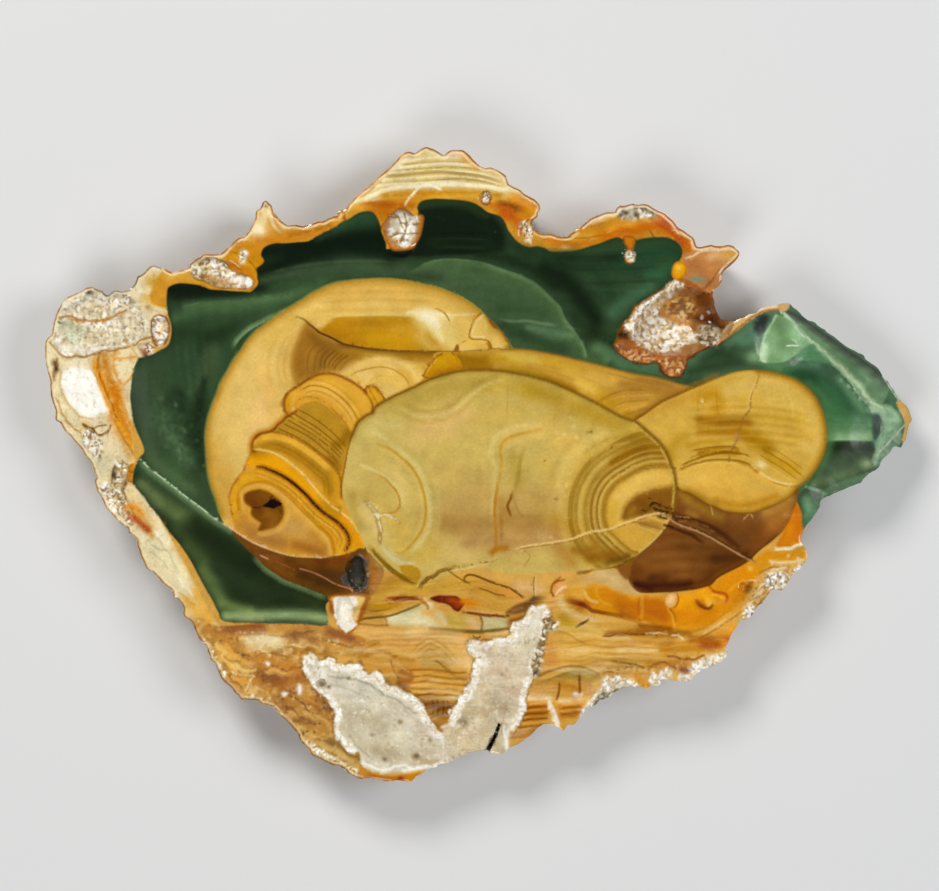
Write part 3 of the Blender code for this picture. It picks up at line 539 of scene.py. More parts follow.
# ------------------------------------------------------------------ the green stone
GREEN = [
    # left side, down
    (200, 285), (180, 283), (170, 286), (167, 290), (166.5, 305), (168, 315), (171, 325), (171, 335), (168, 345),
    (160, 350), (150, 355), (140, 357), (136, 363), (133, 372), (131, 385), (130, 398), (131.5, 410), (133, 420),
    (137, 432), (142, 443), (144, 452), (139, 458), (134, 470), (133, 483), (140, 493), (150, 506), (160, 518),
    (170, 533), (180, 545), (190, 560), (198, 575), (205, 588), (212, 600), (218, 612), (225, 621.5),
    (260, 623), (300, 624), (325, 625.5), (328, 618), (326, 606), (332, 597),
    # hidden below the eggs
    (360, 560), (420, 540), (560, 520), (690, 470), (780, 480),
    # right corner, outside the slab
    (796, 500), (802, 514), (806, 530), (850, 560), (950, 480), (950, 380), (850, 290), (790, 290),
    # rind strip, leftwards
    (786.7, 310.5), (777.4, 310.5), (769.2, 311), (761, 314), (750.8, 320.3), (740.5, 328.5), (729.2, 336.7), (720, 342.8),
    # round the foot of the vug
    (715, 344), (705, 348), (695, 353), (688, 360), (684, 369), (680, 375), (672, 376), (664, 373), (660, 367),
    (655, 362), (645, 363), (635, 360), (625, 357), (620, 352), (614, 345), (617, 338), (622, 331), (622, 325),
    (627, 320), (632, 313), (640, 303), (650, 298), (658, 293), (665, 287), (674, 281),
    # drip and top rim, leftwards
    (672, 276), (672, 271), (675, 265), (679, 261), (682, 256), (682, 249), (678, 243), (672, 239), (665, 237),
    (655, 237), (645, 238), (635, 240), (623, 239), (618, 237), (610, 239), (600, 243), (590, 246), (580, 249),
    (570, 251), (558, 251.5), (550, 251), (545, 248), (537, 246), (530, 247), (523, 245), (517, 241), (512, 235),
    (508, 229), (505, 222), (500, 216), (488, 212), (480, 206), (472, 202), (462, 200), (450, 199), (435, 198.5),
    (424, 200), (419, 203), (417, 208), (418, 215), (410, 232), (389, 249), (386, 243), (382, 233), (380, 224), (377, 217), (373, 212),
    (366, 211), (358, 213), (350, 218), (340, 223), (335, 227), (325, 232), (315, 237), (308, 241), (297, 242),
    (285, 243), (275, 243), (266, 246), (262, 250), (261, 256), (264, 260), (262, 264), (257, 268), (257, 275),
    (258, 283), (255, 288), (250, 292), (245, 291.5), (235, 291), (222, 290), (210, 289),
]
FRACTURE = [
    (139, 458), (150, 469), (158, 475), (170, 484), (185, 496), (200, 507), (207.7, 513), (215.4, 519), (220.5, 522),
    (230.8, 528.5), (241, 535), (250, 541.3), (259, 545), (269.2, 549.6), (279.5, 552.8), (289.7, 555.4), (300, 557),
    (310, 557.3), (320.5, 557.3), (331, 556), (341, 554.7),
]
GHOST = [
    (408, 275), (418, 267.4), (426, 263.3), (434.6, 260.8), (445, 259.4), (455, 259.4), (465, 260.3), (480, 262.1),
    (490.5, 265.1), (500.8, 268.7), (511, 272.3), (520.3, 275.4), (527.4, 279), (534.6, 282.6), (541.8, 288.7),
    (547.9, 294.9), (554.9, 301.7), (560, 307), (565.5, 319.6), (576, 333), (583.5, 346.7), (586.5, 358.7),
]


def green_left(p):
    """Left part: dark stone with soft slanting bands, bounded by the round eggs."""
    p.fill(GREEN, FOREST, soft=0.9, rim=(DEEP, 5, 0.45))
    p.only(GREEN, soft=1.0)
    # broad tones, left to right
    p.wash([(136, 375), (140, 400), (148, 430), (150, 445)], "#495543", 9, 0.8)
    p.wash([(158, 350), (155, 372), (160, 400), (168, 425)], "#384730", 9, 0.5)
    p.wash([(172, 290), (215, 287), (262, 276), (300, 256), (345, 240), (385, 238)], BLACK_GREEN, (9, 12, 13, 13), 0.95)
    p.wash([(177, 296), (200, 292), (230, 292), (262, 288)], "#151f13", 6, 0.7)
    p.wash([(176, 318), (200, 309), (235, 307), (275, 300), (320, 285)], "#48643f", (6, 7, 8, 8), 0.85)
    p.wash([(185, 306), (215, 303), (250, 301), (290, 296)], "#5d774f", 3.2, 0.55)
    p.bands([(178, 313), (190, 306.5), (200, 303.5), (215, 302), (232, 301.5), (250, 299.5), (262, 298), (280, 295), (300, 288)],
            [(0, "#6d8a5c", 0.0), (0.8, "#6d8a5c", 0.5), (2.5, "#6d8a5c", 0.0)][::1], fade=0.2)
    p.wash([(176, 335), (196, 334), (216, 338), (232, 330)], "#26391f", 10, 0.8)
    p.wash([(200, 352), (205, 340), (222, 332)], "#1d2d18", 6, 0.5)
    p.wash([(178, 352), (190, 360), (205, 372)], "#32472d", 9, 0.5)
    p.wash([(214, 352), (207, 372), (200, 392)], "#4a5b3a", (9, 10, 9), 0.7)
    p.wash([(205, 380), (200, 405), (197, 435), (200, 465)], "#1e2d1a", (4, 9, 11, 9), 0.9)
    p.wash([(176, 392), (180, 405), (186, 418)], "#1c2d1b", (6, 10, 6), 0.55)
    p.wash([(163, 420), (172, 437), (181, 450), (190, 462)], "#4a6243", (6, 9, 8), 0.75)
    p.wash([(150, 452), (160, 466), (176, 479), (195, 490)], "#506642", (6, 8, 8, 6), 0.8)
    p.wash([(192, 474), (205, 490), (215, 505)], "#33442a", (8, 9, 8), 0.7)
    p.wash([(150, 430), (158, 448)], "#3a4b33", 6, 0.5)
    # light along the left side of the lower egg
    p.bands([(231.4, 350.6), (235.1, 342.3), (241.5, 334.6), (249.2, 328.2), (256.9, 323.7), (264.6, 319.9), (271, 316.7), (279, 313.4), (290, 308)],
            [(-3.0, FERN, 0.0), (-1.2, "#8fae7f", 0.75), (0.6, "#7e9e6d", 0.65), (3.5, FERN, 0.25), (9, FERN, 0.0)], fade=0.15)
    # faint upright streaks
    for k in range(7):
        x = 176 + 4.5 * k
        p.stroke([(x, 322 + 6 * k % 17), (x + 2, 360), (x + 7, 395 + 5 * k % 11)], "#2a3c27" if k % 2 else "#53684a", 1.6, 1.5, 0.28, fade=0.3)
    # speckled patch
    p.mottle([(160, 395), (200, 390), (205, 440), (195, 470), (165, 455), (155, 425)], 0.22, 3.2, 11, 2, soft=9)
    p.sprinkle([(160, 398), (198, 395), (202, 440), (190, 468), (165, 450)], "#7f9973", 4.2, 0.35, 0.45, 5, size=0.75, soft=8)
    p.mottle([(130, 290), (260, 285), (260, 520), (130, 470)], 0.07, (5, 26), 21, 3, soft=6)


def green_low(p):
    """The corner below the long crack on the left: darker, with a bright foot."""
    tri = [(133, 474), (146, 478), (170, 495), (200, 517), (230, 537), (252, 553), (280, 572), (300, 580), (332, 594), (335, 630), (210, 630), (180, 560), (130, 500)]
    p.only(GREEN, soft=1.0)
    p.fill(tri, "#232f1c", soft=3, op=0.95)
    p.wash([(142, 484), (158, 500), (178, 515)], "#6d7c4e", (7, 9, 8), 0.85)
    p.wash([(170, 505), (186, 516), (200, 524)], "#55683a", 8, 0.7)
    p.wash([(176, 528), (190, 543), (204, 560)], "#49592f", (6, 8, 8), 0.6)
    p.wash([(196, 522), (215, 540), (240, 560), (265, 580)], "#1b2611", (8, 11, 13, 12), 0.85)
    p.wash([(200, 530), (225, 550), (250, 570)], "#141d0e", 9, 0.45)
    p.wash([(203, 570), (214, 588), (222, 602)], "#687b45", (5, 8, 8), 0.8)
    p.wash([(186, 545), (200, 562), (212, 580)], "#506539", (4, 6, 5), 0.55)
    p.wash([(240, 596), (270, 600), (300, 603), (322, 605)], "#222d18", 12, 0.85)
    p.wash([(300, 596), (318, 604)], "#35411d", 6, 0.6)
    p.wash([(222, 603), (236, 607), (250, 611)], "#74894b", 5, 0.8)
    p.wash([(226, 616), (250, 615.5), (280, 615), (308, 616), (326, 618)], "#98ad74", (5.5, 5.5, 6, 6), 0.95)
    p.wash([(240, 619), (262, 619)], "#adb37c", 3, 0.6)
    p.wash([(272, 623), (290, 625), (306, 625)], "#4b614a", 3.2, 0.75)
    p.bands([(252, 554), (258, 560), (265.4, 568), (274.4, 574), (283.3, 580), (292, 583.5), (302.6, 587.5), (312.8, 591.5), (323, 595.5), (330, 598)],
            [(-5.5, "#3b5030", 0.0), (-2.2, "#64794c", 0.75), (0, "#75895a", 0.8), (1.5, "#75895a", 0.0)], fade=0.1)
    p.mottle([(130, 474), (340, 590), (330, 620), (225, 625), (140, 505)], 0.10, (16, 9), 23, 3, soft=5)
    # painted sheen: a faint light wash over the left part of the green
    p.wash([(150, 380), (165, 430), (190, 480), (215, 540), (260, 590)], "#6f8a5c", 22, 0.1)


def fracture(p):
    """The pale healed crack that runs across the lower left."""
    p.only([(130, 440), (146, 458), (170, 483), (200, 506.5), (220, 521.5), (232, 529.5), (226, 540), (190, 540), (140, 500)], soft=1.5)
    p.bands(FRACTURE[:11], [(-7, "#6c8159", 0.0), (-3.0, "#7f9468", 0.5), (-0.8, "#8fa47a", 0.6), (0, "#8fa47a", 0.3), (0.6, "#8fa47a", 0.0)], fade=0.06)
    p.only()
    p.stroke(FRACTURE[:9], "#c9d9b4", (0.9, 1.3, 1.5, 1.2), 0.55, 0.9, fade=0.02)
    p.stroke(FRACTURE[8:], "#e2c396", (1.2, 1.4, 1.3, 1.2, 1.0), 0.55, 0.9, fade=0.02)


def green_top(p):
    """Top part, above the first egg and between the eggs and the rim."""
    p.only(GREEN, soft=1.0)
    p.wash([(262, 252), (300, 247), (340, 244), (385, 250)], "#111c11", (9, 11, 12, 12), 0.9)
    p.wash([(318, 238), (345, 226), (372, 218)], "#28422b", (3, 6, 7), 0.85)
    p.wash([(335, 228), (350, 221), (368, 214)], "#33533a", 3, 0.6)
    p.wash([(330, 262), (310, 256), (290, 262)], "#141f14", 7, 0.7)
    p.wash([(262, 280), (290, 274), (325, 268), (372, 268), (405, 270)], "#42563a", (5, 7, 7, 6), 0.85)
    p.wash([(275, 288), (300, 280), (330, 273)], "#3c5234", 5, 0.6)
    p.bands([(262, 277), (300, 268), (340, 263.5), (375, 263), (395, 265), (408, 264)],
            [(0, MOSS, 0.0), (1.5, "#516748", 0.4), (5, MOSS, 0.0)][::1], fade=0.15)
    p.wash([(392, 256), (410, 250), (430, 246)], "#16220f", 8, 0.8)
    # right of the crystal pocket: nearly black with fine level lines
    p.fill([(416, 214), (430, 206), (470, 206), (496, 218), (506, 238), (500, 252), (450, 256), (412, 256), (408, 240)], "#131d12", soft=4, op=0.9)
    p.wash([(424, 204), (445, 203), (468, 207), (485, 215)], "#27371f", 4, 0.8)
    p.wash([(430, 243), (460, 246), (490, 248)], "#1a2916", 5, 0.7)
    for k, y in enumerate((233, 238.5, 243.5, 247.5, 252)):
        p.stroke([(420 + 5 * k, y + 1), (455, y), (500 - 3 * k, y + 1.5)], "#2f4428" if k % 2 else "#0c130b", 1.3, 1.1, 0.4, fade=0.25)
    p.sprinkle([(425, 210), (480, 212), (500, 235), (440, 240)], "#5e7456", 5.5, 0.35, 0.35, 9, size=0.55, soft=4)
    # second, green egg behind the first
    ghost = GHOST + [(588, 372), (560, 372), (520, 352), (497, 330), (478, 310), (450, 292), (424, 283)]
    p.fill(ghost, "#43593a", soft=1.4)
    p.only(ghost, soft=1.6)
    p.bands(GHOST, [(-16, "#4c6a42", 0.0), (-6, "#55703f", 0.35), (-1.5, "#5b7648", 0.55), (1, "#5b7648", 0.5)])
    p.wash([(428, 272), (440, 279), (462, 290)], "#4c6140", 9, 0.7)
    p.wash([(408, 276), (420, 276), (440, 277)], "#33422a", 5, 0.75)
    p.wash([(452, 272), (480, 276), (510, 284)], "#48613c", 8, 0.6)
    p.wash([(470, 296), (500, 300), (530, 300)], "#415b39", 9, 0.5)
    p.wash([(500, 309), (520, 310), (545, 314)], "#34492a", 5, 0.55)
    p.wash([(503, 326), (520, 334), (540, 342), (560, 349)], "#2f4429", (6, 9, 9, 8), 0.85)
    p.wash([(528, 327), (545, 331), (570, 336)], "#60805a", (3, 7, 4), 0.8)
    p.bands(GHOST[7:], [(-5, "#5d7a52", 0.0), (-1.6, "#6c8a60", 0.45), (0, "#6c8a60", 0.0)][::1], fade=0.1)
    p.only(GREEN, soft=1.0)
    p.stroke(GHOST[1:], "#7c9a70", (0.8, 1.0, 0.7, 0.9, 1.1, 1.0), 0.9, 0.45, fade=0.06)
    p.stroke([(581, 338), (583.5, 346), (585.5, 353), (587, 360)], "#93b086", 2.2, 1.4, 0.5, fade=0.2)
    p.stroke([(495.9, 319.2), (503.6, 320), (513.8, 321.5), (526.7, 320.9), (539.5, 323.1), (552.3, 324.7), (560, 326)], "#a3be98",
             (1.2, 1.8, 2.2, 1.9, 1.6), 1.2, 0.4, fade=0.15)
    p.stroke([(560, 326), (580.5, 330), (600, 336), (616.7, 340.7)], "#7f9f76", (1.6, 1.4, 1.2), 1.1, 0.4, fade=0.15)


def green_mid(p):
    """Between the green egg, the rim and the vug."""
    p.only([(505, 222), (540, 240), (620, 230), (690, 235), (690, 285), (640, 300), (620, 345), (600, 372), (588, 372), (586, 355), (576, 333),
            (560, 307), (541, 288), (520, 275), (490, 265), (470, 260), (500, 240)], soft=2.0)
    p.wash([(470, 254), (500, 257), (530, 268), (555, 285)], "#1c2b19", (5, 8, 8, 7), 0.85)
    p.wash([(508, 244), (525, 252), (550, 258), (575, 258)], "#22351f", (5, 8, 8), 0.75)
    p.wash([(545, 268), (565, 280), (582, 300), (596, 320)], "#152112", (8, 12, 13, 10), 0.9)
    p.wash([(575, 320), (590, 336), (604, 344)], "#26361e", 8, 0.75)
    p.wash([(594, 334), (606, 342), (618, 350)], "#1b2914", 7, 0.7)
    p.wash([(598, 348), (606, 354), (612, 362)], "#5f7f52", 8, 0.85)
    p.wash([(588, 358), (600, 366), (614, 374), (640, 378)], "#49643b", 6, 0.75)
    p.wash([(620, 262), (640, 258), (660, 252), (672, 252)], "#27462d", (10, 14, 13, 8), 0.9)
    p.wash([(648, 275), (660, 272), (668, 268)], "#2f5d3d", (6, 9, 6), 0.75)
    p.wash([(590, 268), (605, 282), (612, 300)], "#263c25", 10, 0.8)
    p.wash([(612, 312), (622, 304), (634, 296), (650, 286)], "#46684a", (7, 8, 7, 6), 0.85)
    p.wash([(560, 262), (590, 262), (615, 258)], "#1d301c", 8, 0.7)
    for k in range(7):
        y = 248 + 6.5 * k
        p.stroke([(530 + 8 * k, y), (575 + 4 * k, y + 2.5), (625 + 3 * k, y + 1), (668, y - 2)], "#36563a" if k % 2 == 0 else "#142013", 1.8, 1.6, 0.32, fade=0.25)
    p.only(GREEN, soft=1.0)
    p.mottle([(262, 255), (420, 205), (560, 250), (680, 240), (690, 280), (610, 370), (500, 350), (420, 285), (260, 300)], 0.07, (30, 5), 25, 3, soft=6)
    p.mottle([(262, 255), (420, 205), (560, 250), (680, 240), (690, 280), (610, 370), (500, 350), (420, 285), (260, 300)], 0.05, 4, 27, 2, soft=6)
    p.only()


def green_right(p):
    """The clear green corner at the right, with its chipped facets."""
    right = [(600, 345), (640, 362), (690, 350), (722, 343), (788, 305), (950, 380), (950, 500), (806, 540), (796, 495), (760, 420), (700, 385), (640, 385)]
    p.only(GREEN, soft=1.0)
    p.fill(right, "#4d6e4c", soft=4)
    p.wash([(612, 372), (640, 378), (672, 384), (700, 380)], "#31492e", (4, 6, 6, 5), 0.9)
    p.wash([(690, 372), (715, 366), (740, 362), (760, 364)], "#2f4229", (6, 8, 8, 6), 0.9)
    p.wash([(718, 350), (732, 346), (748, 350)], "#33472f", 7, 0.85)
    p.wash([(704, 360), (716, 354), (730, 356)], "#2a3c26", 6, 0.7)
    p.wash([(728, 344), (742, 336), (756, 326)], "#55785a", (4, 6, 5), 0.85)
    p.wash([(744, 342), (758, 338), (768, 332)], "#5b8063", 6, 0.8)
    p.glow(754, 357, 8.5, 7, "#86a97c", 0.95)
    p.wash([(760, 363), (776, 366), (792, 372)], "#5d8557", (3, 5, 5), 0.8)
    p.fill([(754, 330), (756, 319), (762, 314.5), (769, 315), (767, 323), (764, 332), (759, 335)], "#06150c", soft=2.0, op=0.95)
    # facet A, a shell-shaped chip: painted lighter green as painted reflected light, with painted highlights
    fa = [(776, 315), (791.8, 321.3), (802, 333.6), (812, 344), (800, 352), (786, 361), (772, 363), (760.5, 361), (761, 351), (763.1, 341.8), (766.2, 332.6), (771.3, 324.4)]
    p.fill(fa, "#7fa571", soft=0.9)
    p.only(fa, soft=1.0)
    p.wash([(778, 321), (782, 332), (786, 344)], "#668b58", (7, 9, 8), 0.75)
    p.wash([(796, 332), (804, 342), (806, 350)], "#93bc90", (6, 8, 7), 0.85)
    p.wash([(765, 345), (764, 354), (764, 362)], "#cbe4b2", (2.5, 4, 3), 0.9)
    p.wash([(772, 350), (784, 354), (796, 352)], "#88b07c", 6, 0.6)
    p.mottle(fa, 0.10, (6, 12), 33, 3)
    p.only()
    p.stroke([(776.5, 315), (771.3, 324.4), (766.2, 332.6), (763.1, 341.8), (761, 351), (760, 360.3)], "#b7d5a0", (1.4, 2.0, 2.2, 1.6), 0.9, 0.9)
    # two near-white painted highlights on the chip
    p.stroke([(785.6, 346), (792, 345.4), (800, 346)], "#eaf6dc", 1.2, 0.6, 0.95, fade=0.15)
    p.stroke([(789, 337), (795, 341), (799, 346)], "#d7ebc6", 0.7, 0.6, 0.6, fade=0.2)
    p.only(GREEN, soft=1.0)
    # facets under the ridge
    p.fill([(812, 344), (827, 355), (833, 361), (822, 364), (806, 362), (796, 356)], "#558c5f", soft=1.6)
    dark = [(782, 372), (795, 363), (815, 362), (836, 366), (846, 376), (856, 390), (868, 405), (873, 416), (860, 422), (840, 421), (826, 419), (822, 409), (816, 397), (806, 386), (794, 378)]
    p.fill(dark, "#2c5033", soft=2.0)
    p.only(dark, soft=1.5)
    p.wash([(800, 370), (812, 380), (820, 392)], "#29492e", 9, 0.8)
    p.wash([(824, 384), (838, 400), (846, 414)], "#3a6541", (7, 10, 9), 0.85)
    p.wash([(838, 378), (850, 392), (864, 410)], "#5f8b5f", (3, 5, 5), 0.85)
    p.wash([(828, 404), (842, 414), (858, 419)], "#497a4f", 6, 0.7)
    p.wash([(786, 370), (800, 365), (818, 364)], "#4c7d55", 4, 0.7)
    p.only(GREEN, soft=1.0)
    p.wash([(822, 414), (845, 421), (868, 421)], "#5e8f62", (3, 4, 4), 0.8)
    b2 = [(823, 423), (840, 423), (860, 424), (876, 424), (876, 441.5), (850, 441.8), (825, 441.5)]
    p.fill(b2, "#6b9467", soft=1.0, curve=False)
    p.wash([(828, 438), (850, 438), (872, 436)], "#9dbf8c", 4.5, 0.8)
    p.wash([(826, 426), (848, 426), (870, 427)], "#568255", 3.5, 0.6)
    low = [(822, 442), (874, 442), (884, 452), (872, 470), (850, 478), (830, 486), (815, 500), (804, 520), (798, 500), (808, 484), (818, 466), (824, 452)]
    p.fill(low, "#2f4127", soft=1.2)
    p.only(low, soft=1.2)
    p.wash([(824, 447), (848, 447), (872, 447)], "#1a2417", 4.5, 0.9)
    p.wash([(824, 462), (840, 468), (858, 466)], "#3f5634", 8, 0.7)
    p.wash([(812, 484), (830, 479), (852, 472)], "#5b7446", (5, 6, 5), 0.85)
    p.glow(867, 464, 7, 5, "#9aae80", 0.9)
    p.wash([(806, 500), (812, 512), (806, 524)], "#6c9a72", 6, 0.85)
    p.mottle(low, 0.15, 5, 37, 3)
    p.only(GREEN, soft=1.0)
    p.stroke([(804, 486), (807.7, 487.2), (820, 491.3), (828.2, 495.4)], "#a4d2ac", (1.5, 2.4, 1.4), 1.2, 0.85, fade=0.1)
    p.glow(808, 508, 6, 9, "#79a981", 0.7)
    # soft rim beside the third egg
    p.wash([(808, 382), (822, 396), (829, 414), (831, 436), (827, 456), (818, 474)], "#4f7a4d", (3, 4, 4, 4, 4), 0.65)
    # facet E and the tip
    p.fill([(870, 404), (880, 404), (888, 404), (898, 412), (903, 422), (896, 434), (886, 444), (879, 452), (874, 442), (877, 424)], "#7a9c79", soft=1.2)
    p.fill([(880, 408), (888.7, 407.7), (901, 420), (888.7, 431.8), (882.6, 421.5)], "#94b690", soft=1.2)
    p.fill([(873, 414), (877, 413), (881.5, 420), (880.5, 432), (876, 440.5), (873, 436)], "#35463f", soft=1.4)
    p.glow(873.5, 443, 3, 4, "#2c5a4e", 0.6)
    p.fill([(876, 450), (884, 444), (893, 436), (902, 432), (900, 446), (890, 456), (878, 466), (872, 462)], "#7c9a7a", soft=1.5)
    p.mottle([(866, 400), (910, 405), (905, 450), (875, 470), (870, 440)], 0.2, 4.0, 41, 3)
    # band beyond the ridge
    bandc = [(781, 310), (795, 312), (815, 325), (838, 341), (860, 356), (882, 372), (892, 384), (880.5, 405), (868, 399), (856, 382.6), (841.5, 367.2), (827.7, 355), (802, 333.6), (791.8, 321.3)]
    p.fill(bandc, "#71946d", soft=1.0)
    p.only(bandc, soft=1.2)
    p.wash([(788, 311), (807, 320), (828, 334), (850, 349), (872, 364), (890, 380)], "#333a36", (3.5, 6, 7, 8, 8, 7), 0.9)
    p.stroke([(790, 315), (806, 325), (824, 338), (842, 351), (860, 363), (878, 377)], "#5a5f42", 1.4, 1.0, 0.7)
    p.stroke([(800, 324), (818, 338), (836, 351), (852, 364), (868, 378)], "#8fae86", 1.2, 1.0, 0.6)
    p.stroke([(812, 333), (830, 346), (848, 360), (864, 374)], "#4d6a48", 1.2, 1.0, 0.5)
    p.mottle(bandc, 0.18, (9, 5), 43, 3)
    p.only(GREEN, soft=1.0)
    # the pale ridge
    ridge = [(781.5, 312), (791.8, 321.3), (802, 333.6), (817.4, 346), (827.7, 355), (832.3, 360), (841.5, 367.2), (846.7, 373.3), (856, 382.6), (862, 389.7), (868.2, 399), (875.4, 405), (880.5, 408.2)]
    p.stroke(ridge, "#9dba94", (2.0, 3.2, 4.5, 5.0, 7.5, 8.0, 7.0, 5.0), 1.4, 0.85, wob=(1.0, 5, 3))
    p.stroke(ridge, "#d5e9bd", (1.0, 1.2, 1.4, 2.6, 4.0, 3.5, 2.4, 1.4), 1.0, 0.85, wob=(1.4, 4, 5))
    p.stroke([(845.6, 375.4), (853.8, 387.7), (861, 397), (869.2, 405), (872.3, 412.3)], "#b6cfa8", 1.4, 0.9, 0.8, wob=(0.8, 4, 6))
    p.glow(874.5, 409.5, 5, 4.5, "#b3cba6", 0.85)
    p.sprinkle([(800, 330), (880, 395), (882, 412), (868, 410), (840, 380), (798, 345)], "#eaf5d8", 3.0, 0.3, 0.8, 14, size=0.7, soft=3)
    p.stroke([(907, 423.6), (896, 435), (887.7, 444), (880.5, 451.3)], "#d8dcc2", 1.3, 0.8, 0.8)
    p.stroke([(881.5, 426.7), (881, 440), (879, 449), (877.4, 459.5)], "#a9bfa0", 1.1, 0.8, 0.7)
    p.stroke([(892.8, 441), (901, 447)], "#55645a", 1.1, 0.8, 0.7)
    p.only()
    p.only(GREEN, soft=1.0)
    p.wash([(812, 352), (830, 358), (850, 366)], "#2d4a24", 12, 0.28)
    p.wash([(836, 420), (858, 428), (878, 432)], "#2d4a24", 14, 0.16)
    p.wash([(805, 496), (822, 496), (838, 494)], "#2d4a1c", 9, 0.26)
    p.wash([(852, 388), (866, 392), (880, 398)], "#2d4a24", 10, 0.14)
    p.only()


def green(p):
    green_left(p)
    green_low(p)
    green_top(p)
    green_mid(p)
    green_right(p)


# ------------------------------------------------------------------ the first egg and the curl in it
EGG1 = [
    (220, 516), (215.6, 499.7), (210.8, 487.2), (207.6, 473), (206.3, 460.3), (205.6, 447.4), (205, 438.5), (205.6, 428.2), (207.6, 418),
    (210.8, 407.7), (213.6, 400), (217.2, 391), (219.7, 383.3), (224.2, 375.6), (228.1, 369.2), (231.3, 362.8), (236.4, 355.1),
    (241.5, 348.7), (245.4, 342.3), (251.2, 335.3), (256.9, 329.5), (264.6, 323.7), (272.3, 317.9), (280, 312.2), (287.7, 307.7),
    (295.4, 303.2), (301.8, 299.5), (308, 295), (316.4, 290.3), (323.6, 286.7), (331.8, 283.6), (339.5, 281.5), (345.4, 280.5),
    (353.6, 279.4), (362.8, 278.7), (373, 278.2), (383.3, 277.9), (393.6, 278.4), (403.8, 279.5), (412, 281), (424, 283.7),
    (436.9, 287), (449.7, 291.4), (460, 295.9), (469, 301), (477.9, 307.4), (483.1, 312.6), (489.5, 319), (495.9, 325.4),
    (502.3, 331.8), (507.4, 339.5), (511.3, 345.9), (513.8, 349.7),
]
EGG1_BODY = EGG1 + [(520, 372), (480, 400), (400, 420), (360, 470), (345, 560), (320, 558), (290, 556), (259, 546), (241, 536), (228, 527)]
DARK_LINE = [
    (294, 316.7), (300.5, 317.9), (305.6, 320.5), (309.5, 324.4), (314.6, 328.2), (319.7, 332.7), (327.4, 335.9), (335.1, 339.7),
    (344.1, 344.2), (354.4, 346.4), (365.9, 348.5), (379.7, 349.7), (398, 351), (411.3, 351.3), (436.9, 351.8), (452.3, 351.8),
    (460, 351.8), (473, 350.8), (488, 349.7), (501, 348.5),
]


